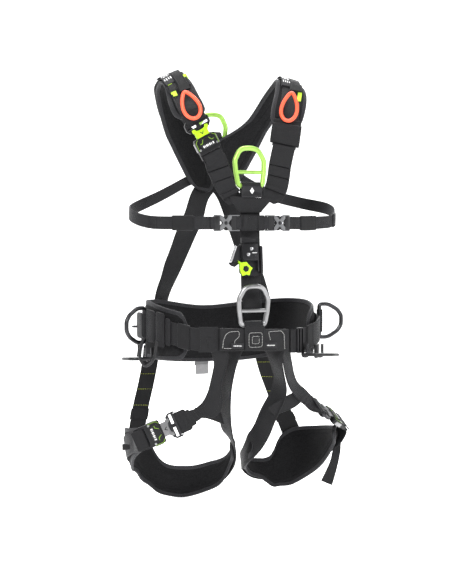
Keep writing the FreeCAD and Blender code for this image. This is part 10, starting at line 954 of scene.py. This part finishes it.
# rear elastics: coloured tacks and keepers
cross_stitch("rear_tacks_right", "rear_elastic_right", [29.0, 59.7, 91.8, 126.0], M["thread_yellow"], margin=1.5, r=0.6, pitch=4.0, length=3.4, side=-1)
cross_stitch("rear_tacks_out_right", "rear_elastic_right", [29.0, 59.7, 91.8, 126.0], M["thread_yellow"], margin=1.5, r=0.5, pitch=4.4, length=3.4)
cross_stitch("rear_tacks_left", "rear_elastic_left", [8.0, 37.2, 70.1, 103.8], M["thread_yellow"], margin=1.5, r=0.6, pitch=4.0, length=3.4, side=-1)
cross_stitch("rear_tacks_out_left", "rear_elastic_left", [8.0, 37.2, 70.1, 103.8], M["thread_yellow"], margin=1.5, r=0.5, pitch=4.4, length=3.4)
band("rear_keeper_right", S["rear_elastic_right"], 133, 156, 0.4, 1.5, M["elastic"])
band("rear_keeper_left", S["rear_elastic_left"], 150, 170, 0.4, 1.5, M["elastic"])

# leg straps: a row of stitching along each edge
for side in ("right", "left"):
    n = "leg_webbing_" + side
    L_ = S[n].L
    side_stitch(n + "_thread", n, 60, L_ - 12, (-17.0, 17.0), M["thread_black"])
    side_stitch("leg_front_thread_" + side, "leg_front_webbing_" + side, 8, S["leg_front_webbing_" + side].L - 30, (-12.0, 12.0), M["thread_black"])

# belt: doubled webbing, side blocks
over("belt_double_right", "belt_webbing", 22, 59, M["web"], W=49, T=2.2, wave=0.2)
cross_stitch("belt_double_thread", "belt_webbing", [26, 55], M["thread_black"], lift=2.6, W=48)
over("belt_piece_left_a", "belt_webbing", 871, 909, M["web"], W=46, T=2.2, wave=0.2)
over("belt_piece_left_b", "belt_webbing", PT["belt_left_b"][0], PT["belt_left_b"][1], M["web"], W=47, T=2.4, wave=0.2, u0=1.0)


def roll(name, base, s0, s1, W, T, mat, lift=0.3, u0=0.0, puff=1.0):
    """thick folded webbing: a rounded bundle lying across a strap"""
    st = S[base] if isinstance(base, str) else base
    m_ = 18
    rings, suv = [], []
    r = st.at((s0 + s1) / 2)[0]
    us = np.linspace(-W / 2, W / 2, 22)
    for i, u in enumerate(us):
        row, sv = [], []
        e = min(1.0, 0.72 + 0.28 * math.sqrt(max(0, 1 - (abs(u) / (W / 2)) ** 6)))
        for k in range(m_):
            th = 2 * math.pi * k / m_
            cs, sn = math.cos(th), math.sin(th)
            ds = (s1 - s0) / 2 * e * math.copysign(abs(cs) ** 0.6, cs)
            dh = T / 2 * e * puff * math.copysign(abs(sn) ** 0.75, sn)
            q = st.at((s0 + s1) / 2 + ds)[0]
            row.append(q[:3] + q[6:9] * (u + u0) + q[3:6] * (q[10] / 2 + lift + T / 2 + dh))
            sv.append((ds, u, dh))
        rings.append(row)
        suv.append(sv)
    return skin(name, rings, mat, suv, sharp=50)


roll("belt_roll_right_a", "belt_webbing", *PT["belt_roll_a"], 50, 9.0, M["web"], u0=-1.0)
roll("belt_roll_right_b", "belt_webbing", *PT["belt_roll_b"], 62, 8.0, M["web"], u0=3.0)
roll("belt_roll_right_c", "belt_webbing", *PT["belt_roll_c"], 66, 7.0, M["web"], u0=2.0)
roll("belt_roll_right_d", "belt_webbing", *PT["belt_roll_d"], 52, 4.0, M["web"], u0=1.0)

# ventral loop: webbing from the ring down over the panel, and the stitched shapes
vr = FR["ventral_ring"]
vo = np.array(vr[0])
rows = []
for dz, y in ((-2.0, -141.0), (-8.0, -141.9), (-16.0, -142.6), (-26.0, -143.1), (-38.0, -143.3), (-50.5, -142.9)):
    rows.append(np.r_[vo[0], y, vo[2] + dz, 0, -1, 0, 1, 0, 0, 41.0, 2.2])
VS = Strip(rows)
S["ventral_cover"] = VS
webbing("ventral_cover_strap", VS, M["web"], step=2.0, wave=0.15)
cross_stitch("ventral_cover_tacks", VS, [9, 14], M["thread_black"], lift=0.0)


def flat_outline(name, pts, mat, closed=True, r=0.42, pitch=3.0, length=2.3, y_off=0.1):
    """stitches along a line of points already in place on the front of the belt"""
    P = np.array(pts, float)
    if closed:
        P = np.vstack([P, P[:1]])
    P = smooth_poly(P)
    return stitches(name, [P], [np.repeat([[0.0, -1.0, 0.0]], len(P), 0)], mat, pitch, length, r)


def smooth_poly(P, rad=2.0):
    out = []
    for a, b in zip(P[:-1], P[1:]):
        k = max(2, int(np.linalg.norm(b - a) / 1.5))
        out += [a + (b - a) * j / k for j in range(k)]
    out.append(P[-1])
    Q = np.array(out)
    for _ in range(3):
        Q[1:-1] = 0.25 * Q[:-2] + 0.5 * Q[1:-1] + 0.25 * Q[2:]
    return Q


cx, cz = vo[0] + 1.0, PT["nest_z"]
for k, hs in enumerate((14.0, 7.2)):
    q = [(cx + x, (-144.6, -145.1)[k], cz + z) for x, z in rrect(-hs, hs, -hs, hs, hs * 0.32, 4)]
    flat_outline("nest_square_%d" % k, q, M["thread_white"], r=0.8)
patch_fr = ([cx, -144.6, cz], [1, 0, 0], [0, 0, 1], [0, -1, 0])
prism("nest_patch", patch_fr, rrect(-10.2, 10.2, -10.2, 10.2, 3.0), -0.3, 0.35, M["panel"], 0.25)
prism("nest_core", patch_fr, rrect(-4.6, 4.6, -4.6, 4.6, 1.6), -0.3, 0.75, M["black"], 0.25)
flat_outline("panel_shape_left", PT["panel_left"], M["thread_white"], r=0.8)
flat_outline("panel_shape_right", PT["panel_right"], M["thread_white"], closed=False, r=0.8)
box_stitch("panel_edge_thread", "belt_front_panel", 3, S["belt_front_panel"].L - 3, -18.5, 18.5, M["thread_black"], rc=2)

# generic marks on the labels
def marks(name, st, cells, mat, lift=0.15, t=0.35):
    parts = []
    for s, u, a, b in cells:
        q = [st.pt(s - a / 2, u - b / 2, lift)[0], st.pt(s + a / 2, u - b / 2, lift)[0], st.pt(s + a / 2, u + b / 2, lift)[0], st.pt(s - a / 2, u + b / 2, lift)[0]]
        n = st.nrm(s)[0] * t
        parts.append((q + [p + n for p in q], [(0, 1, 2, 3), (4, 5, 6, 7), (0, 1, 5, 4), (1, 2, 6, 5), (2, 3, 7, 6), (3, 0, 4, 7)]))
    return join_meshes(name, parts, mat, sharp=30)


for k in (1, 2):
    st = Strip(ROWS["belt_labels"][k])
    L_ = st.L
    ww = st.at(L_ / 2)[0, 9]
    marks("belt_tag_marks_%d" % k, st, [(L_ * 0.45, -8 + 2.5 * i, 1.5 + 0.8 * (i % 2), 1.6) for i in range(7)], M["white"])
for k in (0, 1):
    st = Strip(ROWS["shoulder_labels"][k])
    L_ = st.L
    cells = [(L_ * 0.30, -10, 7, 0.9), (L_ * 0.30, -4, 7, 0.9), (L_ * 0.30 - 3.5, -7, 0.9, 6), (L_ * 0.30 + 3.5, -7, 0.9, 6), (L_ * 0.30, -7, 3.0, 2.4)]
    cells += [(L_ * 0.62, -9 + 4.2 * i, 3.4 + 2.0 * (i % 2), 1.5) for i in range(5)] + [(L_ * 0.80, -7 + 5.0 * i, 2.0 + (i % 3), 1.2) for i in range(4)]
    marks("shoulder_label_marks_%d" % k, st, cells, M["white"])
for nm, base, s_, u_ in (("right", "shoulder_webbing_right", 206, -12.5), ("left", "shoulder_webbing_left", 206, 14.0)):
    cells = [(s_ - 20, u_ - 7, 3.2, 6), (s_ - 8, u_ - 7, 3.2, 6), (s_ - 14, u_ - 9.0, 14, 1.6), (s_ - 14, u_ - 4.6, 14, 1.6), (s_ - 14, u_ - 6.8, 4.5, 2.0), (s_ - 14, u_ + 2, 15, 2.6), (s_ - 16, u_ + 7, 9, 2.4)]
    cells += [(s_ + 3 + 4.5 * (i % 2), u_ - 8 + 3.6 * i, 7.5, 2.2) for i in range(5)] + [(s_ + 20, u_ - 7 + 4.6 * i, 5.4 + 2 * (i % 2), 2.0) for i in range(4)]
    marks("shoulder_print_marks_" + nm, S[base], cells, M["white"], lift=2.6)
st = Strip(ROWS["belt_labels"][0])
webbing("label_holder", st.cut(-0.0, 9.0, 0.2, 31, 2.2), M["web"], wave=0.05, step=2.0)


# ------------------------------------------------------------------ big buckles
def buckle_details(pre, fr, badge=True, accent="green_line"):
    prism(pre + "_badge", fr, rrect(-14.2, 14.2, 5.4, 15.4, 1.4), 7.2, 7.75, M["black"], 0.3)
    cells = [(-10.6, 2.6), (-6.4, 1.4), (-3.0, 2.6), (0.6, 1.4), (3.6, 2.6), (7.2, 1.4), (10.4, 2.6)]
    for k, (x, w) in enumerate(cells):
        prism(pre + "_mark_%d" % k, fr, rrect(x - w / 2, x + w / 2, 8.2, 12.6, 0.5, 2), 7.7, 8.1, M["white"], 0.15, segs=1)
    for sx in (-1, 1):
        out = [(sx * 15.0, 4.0), (sx * 10.0, 4.0), (sx * 5.5, -3.4), (sx * 6.7, -3.4), (sx * 10.7, 2.9), (sx * 15.0, 2.9)]
        prism(pre + "_line_%d" % (sx > 0), fr, out if sx > 0 else out[::-1], 7.15, 7.6, M[accent], 0.12, segs=1)
        out = [(sx * 16.4, -7.0), (sx * 22.2, -2.0), (sx * 22.2, 15.0), (sx * 21.2, 15.0), (sx * 21.2, -1.5), (sx * 15.8, -6.2)]
        prism(pre + "_edge_%d" % (sx > 0), fr, out if sx > 0 else out[::-1], 5.9, 6.35, M[accent], 0.1, segs=1)
        o, a, b, c = [np.array(q, float) for q in FR[fr]]
        P = [o + a * (sx * 19.0) + b * 13.6 + c * z for z in (5.6, 6.0, 6.5)]
        tube(pre + "_pin_%d" % (sx > 0), np.array(P), np.array([2.3, 2.3, 1.8]), M["steel"], sides=20)


buckle_details("shoulder_badge", "shoulder_buckle")
buckle_details("leg_right_badge", "leg_buckle_right")
buckle_details("leg_left_badge", "leg_buckle_left")
# the tongues: cap with two ears over the adjuster bar
for pre, fr, mk, sl in (("shoulder_tongue", "shoulder_buckle", "lime_dark", "lime_metal"), ("leg_tongue_right", "leg_buckle_right", "plate", "dark_metal"), ("leg_tongue_left", "leg_buckle_left", "plate", "dark_metal")):
    ear = [(-17.5, -27.0), (-11.5, -28.0), (-9.0, -23.5), (-3.6, -22.2), (3.6, -22.2), (9.0, -23.5), (11.5, -28.0), (17.5, -27.0), (17.2, -21.5), (13.4, -17.5), (13.2, -8.6), (-13.2, -8.6), (-13.4, -17.5), (-17.2, -21.5)]
    prism(pre + "_cap", fr, ear, 3.15, 5.3, M[mk], 0.5)
    prism(pre + "_arrow", fr, [(-4.4, -18.5), (0.0, -12.0), (4.4, -18.5), (2.6, -18.5), (0.0, -14.8), (-2.6, -18.5)], 5.2, 5.75, M["black"], 0.15, segs=1)
    neck = rrect(-3.6, 3.6, -36.5, -26.0, 1.2)
    prism(pre + "_neck", fr, neck, 0.2, 4.4, M["blackmetal"], 0.6)

# webbing wrapped round the buckle bars
def bar_wrap(name, fr, y_bar, r_bar, run, W, side=1, T=2.4, spread=1.5, mat="web"):
    """both plies of a strap that turns round a bar at y_bar; side +1 when it leaves towards +y"""
    R_ = r_bar + 0.3 + T / 2
    P = [(y_bar + side * run, -spread), (y_bar + side * run * 0.55, -R_ * 0.85), (y_bar + side * run * 0.22, -R_ * 1.0)]
    for a in np.linspace(-90, 90, 9):
        P.append((y_bar - side * R_ * math.cos(math.radians(a)), R_ * math.sin(math.radians(a))))
    P += [(y_bar + side * run * 0.22, R_ * 1.0), (y_bar + side * run * 0.55, R_ * 0.9), (y_bar + side * run, spread + 0.4)]
    return webbing(name, wrap_rows(fr, P, W, T, updir=None), M[mat], step=1.2, wave=0.08)


bar_wrap("shoulder_wrap_low", "shoulder_buckle", 31.0, 3.0, 17, 39, 1)
bar_wrap("shoulder_wrap_high", "shoulder_buckle", -45.8, 4.1, 15, 43, -1, spread=2.4)
for side in ("right", "left"):
    bar_wrap("leg_wrap_low_" + side, "leg_buckle_" + side, 31.0, 3.0, 19, 39, 1)
    bar_wrap("leg_wrap_high_" + side, "leg_buckle_" + side, -45.8, 4.1, 15, 43, -1, spread=2.4)
# gathered webbing next to the leg adjusters
for side in ("right", "left"):
    n = "leg_front_webbing_" + side
    L_ = S[n].L
    for k in range(5):
        a = L_ - 3 - 8.6 * k
        ww = min(41.0, float(S[n].at(a - 6)[0, 9]) + (2.5, 2.0, 1.2, 0.6, 0.2)[k])
        roll("leg_gather_%s_%d" % (side, k), n, a - 13.0, a, ww, (5.6, 6.4, 5.0, 3.4, 2.0)[k], M["web"], lift=(-0.6, -0.4, -0.4, -0.6, -0.8)[k])

# ------------------------------------------------------------------ chest buckles
for side in ("right", "left"):
    fr = "chest_buckle_" + side
    parts = []
    blk = [(-15, -24), (-13, -26), (13, -26), (15, -24), (15, -17), (12.5, -14.8), (-12.5, -14.8), (-15, -17)]
    b0 = prism("chest_%s_block" % side, fr, blk, -4.6, 4.6, M["black"], 1.0)
    if side == "right":
        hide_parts("chest_buckle_females")
    arms = []
    hw = 3.6
    X = [(-14.6, -15.2), (-8.6, -15.2), (0, -8.2), (8.6, -15.2), (14.6, -15.2), (14.9, -11.0), (6.2, -3.2), (14.9, 4.8), (14.6, 9.0), (8.6, 9.0), (0, 1.9), (-8.6, 9.0), (-14.6, 9.0), (-14.9, 4.8), (-6.2, -3.2), (-14.9, -11.0)]
    prism("chest_%s_cross" % side, fr, X, 2.5, 5.4, M["grey"], 0.9)
    prism("chest_%s_cross_back" % side, fr, X, -5.0, -2.5, M["grey"], 0.9)
    prism("chest_%s_rim" % side, fr, [(-15, 6.4), (-11.5, 5.4), (11.5, 5.4), (15, 6.4), (15, 8.6), (-15, 8.6)], -4.9, -2.4, M["grey"], 0.5)
    for sx in (-1, 1):
        prism("chest_%s_lip_%d" % (side, sx > 0), fr, rrect(sx * 14.9 - 1.1, sx * 14.9 + 1.1, -25.2, -13.5, 0.9, 4), -4.2, 5.0, M["grey"], 0.4)
        prism("chest_%s_side_%d" % (side, sx > 0), fr, rrect(sx * 14.6 - 0.9, sx * 14.6 + 0.9, 8.0, 26.0, 0.8, 4), -4.2, 4.8, M["grey"], 0.4)
    prism("chest_%s_hub" % side, fr, rrect(-3.6, 3.6, -6.6, 0.4, 3.0, 6), 5.2, 6.0, M["dark"], 0.4)
    for sx in (-1, 1):
        o, a, b, c = [np.array(q, float) for q in FR[fr]]
        P = np.array([o + a * (sx * 14.2) + b * y for y in (-15.0, -9.0, -3.0, 3.0, 8.0)])
        Pm = P.copy()
        for i, dx in enumerate((0, -2.2, -3.0, -2.2, 0)):
            Pm[i] += a * sx * dx
    bar_wrap("chest_%s_strap_turn" % side, fr, -21.5, 2.2, 12, 23.5, -1, T=1.8, spread=1.6, mat="web_inner")
    bar_wrap("chest_%s_band_turn" % side, fr, 21.5, 2.2, 12, 23.5, 1, T=1.8, spread=1.6, mat="web_inner")

# ------------------------------------------------------------------ chest ascender
fr = "ascender"
body_out = [(17.5, -22.5), (-15.5, -22.5), (-15.5, 8.6), (13.5, 8.6), (17.5, 3.5)]
prism("ascender_cover", fr, body_out, 4.65, 6.4, M["blackmetal"], 0.8)
for k, (x, y, r) in enumerate(((-2.0, -14.0, 3.2), (5.0, -3.0, 3.4))):
    o, a, b, c = [np.array(q, float) for q in FR[fr]]
    P = np.array([o + a * x + b * y + c * z for z in (4.4, 7.2, 7.6)])
    tube("ascender_rivet_%d" % k, P, np.array([r, r, r * 0.7]), M["steel"], sides=24)
prism("ascender_line", fr, rrect(-13.5, -3.0, -6.6, -5.4, 0.5, 3), 6.3, 6.8, M["white"], 0.1, segs=1)
prism("ascender_groove", fr, [(-9.5, -20.5), (-8.0, -20.5), (-8.0, 6.6), (-9.5, 6.6)], 6.3, 6.75, M["dark"], 0.1, segs=1)
prism("ascender_blade", fr, [(30.0, -21.1), (26.4, -18.6), (37.4, 10.6), (42.6, 11.0)], -0.9, 1.4, M["steel"], 0.4, body="ascender_cam_body")
# black plate behind the cam blade: it paints the blade's shadow on the frame, and carries on over the frame's black
# corner
prism("ascender_blade_shadow_plate", fr, [(25.6, -16.0), (18.6, -20.0), (17.6, -4.0), (18.0, 12.0), (30.5, 21.0), (38.0, 19.0), (44.5, 12.4), (36.6, 11.4)], -4.2, -1.9, M["blackmetal"], 0.6)
prism("ascender_side", fr, [(-22.4, -20), (-27.0, -18.5), (-27.4, 33), (-22.6, 35)], -4.6, 3.4, M["dark"], 0.8)
prism("ascender_rail", fr, [(-15.0, -19), (-17.6, -19), (-18.2, 30), (-15.4, 30)], -1.9, 4.4, M["dark"], 0.6)
prism("ascender_tab", fr, [(13.5, -34.5), (-13.5, -34.5), (-13.5, -27.5), (13.5, -27.5)], -1.5, 3.0, M["blackmetal"], 0.9)
# catch: pierced star plate that turns on the post
star = [(27, 9.0), (20.5, 12.6), (9.5, 11.4), (3.0, 19.0), (-3.5, 24.0), (1.2, 30.0), (3.6, 38.2), (11.5, 35.6), (18.5, 39.0), (21.5, 31.0), (24.5, 23.0), (21.8, 17.0)]
catch = prism("ascender_star", fr, star, 4.15, 7.2, M["lime_dark"], 0.9, body="ascender_catch_body")
prism("ascender_star_eye", fr, [(11.0 + 6.6 * math.cos(math.radians(q)), 25.0 + 6.6 * math.sin(math.radians(q))) for q in range(15, 375, 60)], 6.9, 7.7, M["blackmetal"], 0.5, body="ascender_catch_body")

# ------------------------------------------------------------------ sternal loop label and belt pegs
LS = S["sternal_ring_loop"]
prism("sternal_label", ([*(np.array(FR["sternal_ring"][0]) + np.array([0, -7.9, -9.5]))], [1, 0, 0.0], [0, 0, 1], [0, -1, 0]), rrect(-21.5, 21.5, -13, 9, 3), -1.0, 1.0, M["label_black"], 0.6)
prism("sternal_mark", ([*(np.array(FR["sternal_ring"][0]) + np.array([0, -9.0, -9.5]))], [1, 0, 0.0], [0, 0, 1], [0, -1, 0]), [(0.0, -6.5), (4.6, 0.0), (0.0, 6.5), (-4.6, 0.0)], -0.1, 0.35, M["white"], 0.1, segs=1)
for k in ("peg_left", "stem_right"):
    P = smooth_line(np.array(PT[k]), 16)
    tube(k, P, np.r_[2.2, np.full(len(P) - 2, 4.1), 2.6], M["black"], sides=18)
for k in ("leg_tail_left", "leg_tail_right"):
    webbing(k, PT[k], M["web"], step=2.0, wave=0.2)
P = np.array(PT["ring_pin"])
tube("ring_pin", P, np.array([2.0, 2.3, 1.6]), M["blackmetal"], sides=14)


# ------------------------------------------------------------------ studio
def studio():
    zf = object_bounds()[0][2] - 0.0005
    P = []
    prof = [(-7.0, zf), (3.0, zf)] + [(3.0 + 2.0 * math.sin(a), zf + 2.0 - 2.0 * math.cos(a)) for a in np.linspace(0.15, math.pi / 2, 10)] + [(5.0, 6.5)]
    v, f = [], []
    for x in (-9.0, 9.0):
        for y, z in prof:
            v.append((x, y, z))
    k = len(prof)
    for i in range(k - 1):
        f.append((i, i + 1, k + i + 1, k + i))
    me = bpy.data.meshes.new("studio_floor")
    me.from_pydata(v, [], f)
    me.polygons.foreach_set("use_smooth", [True] * len(me.polygons))
    ob = bpy.data.objects.new("studio_floor", me)
    bpy.context.scene.collection.objects.link(ob)
    m, nt, b = nodes_of("studio_white")
    b.inputs["Base Color"].default_value = (0.88, 0.88, 0.88, 1)
    b.inputs["Roughness"].default_value = 0.9
    b.inputs["Specular IOR Level"].default_value = 0.0
    b.inputs["Emission Color"].default_value = (1, 1, 1, 1)
    b.inputs["Emission Strength"].default_value = 0.72
    me.materials.append(m)
    ob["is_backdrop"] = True


studio()
w = bpy.data.worlds.new("studio")
bpy.context.scene.world = w
w.use_nodes = True
w.node_tree.nodes["Background"].inputs[0].default_value = (1, 1, 1, 1)
w.node_tree.nodes["Background"].inputs[1].default_value = 0.36


def area(name, at, to, size, power, col=(1, 1, 1)):
    l = bpy.data.lights.new(name, "AREA")
    l.shape = "RECTANGLE"
    l.size, l.size_y = size
    l.energy = power
    l.color = col
    o = bpy.data.objects.new(name, l)
    bpy.context.scene.collection.objects.link(o)
    o.location = at
    o.rotation_euler = (Vector(to) - Vector(at)).to_track_quat("-Z", "Y").to_euler()


area("key", (-1.7, -2.4, 2.3), (0, 0, 0.1), (0.8, 0.8), 150)
area("fill", (2.2, -1.8, 0.9), (0, 0, 0.05), (0.5, 1.6), 42)
area("top", (0.2, 0.6, 2.6), (0, 0, 0.1), (1.6, 0.8), 70)
area("rim", (1.4, 2.2, 1.2), (0, 0, 0.1), (0.8, 1.6), 40)

cam = bpy.data.cameras.new("camera")
co = bpy.data.objects.new("camera", cam)
bpy.context.scene.collection.objects.link(co)
co.location = (-1.12849, -2.77145, 0.22391)
A_, E_ = math.radians(-22.0), math.radians(3.0)
back = Vector((math.sin(A_) * math.cos(E_), -math.cos(A_) * math.cos(E_), math.sin(E_)))
co.rotation_euler = (-back).to_track_quat("-Z", "Y").to_euler()
cam.lens = 91.1
cam.sensor_width = 36.0
cam.sensor_fit = "AUTO"
cam.clip_end = 60
bpy.context.scene.camera = co
bpy.context.scene.view_settings.view_transform = "Standard"
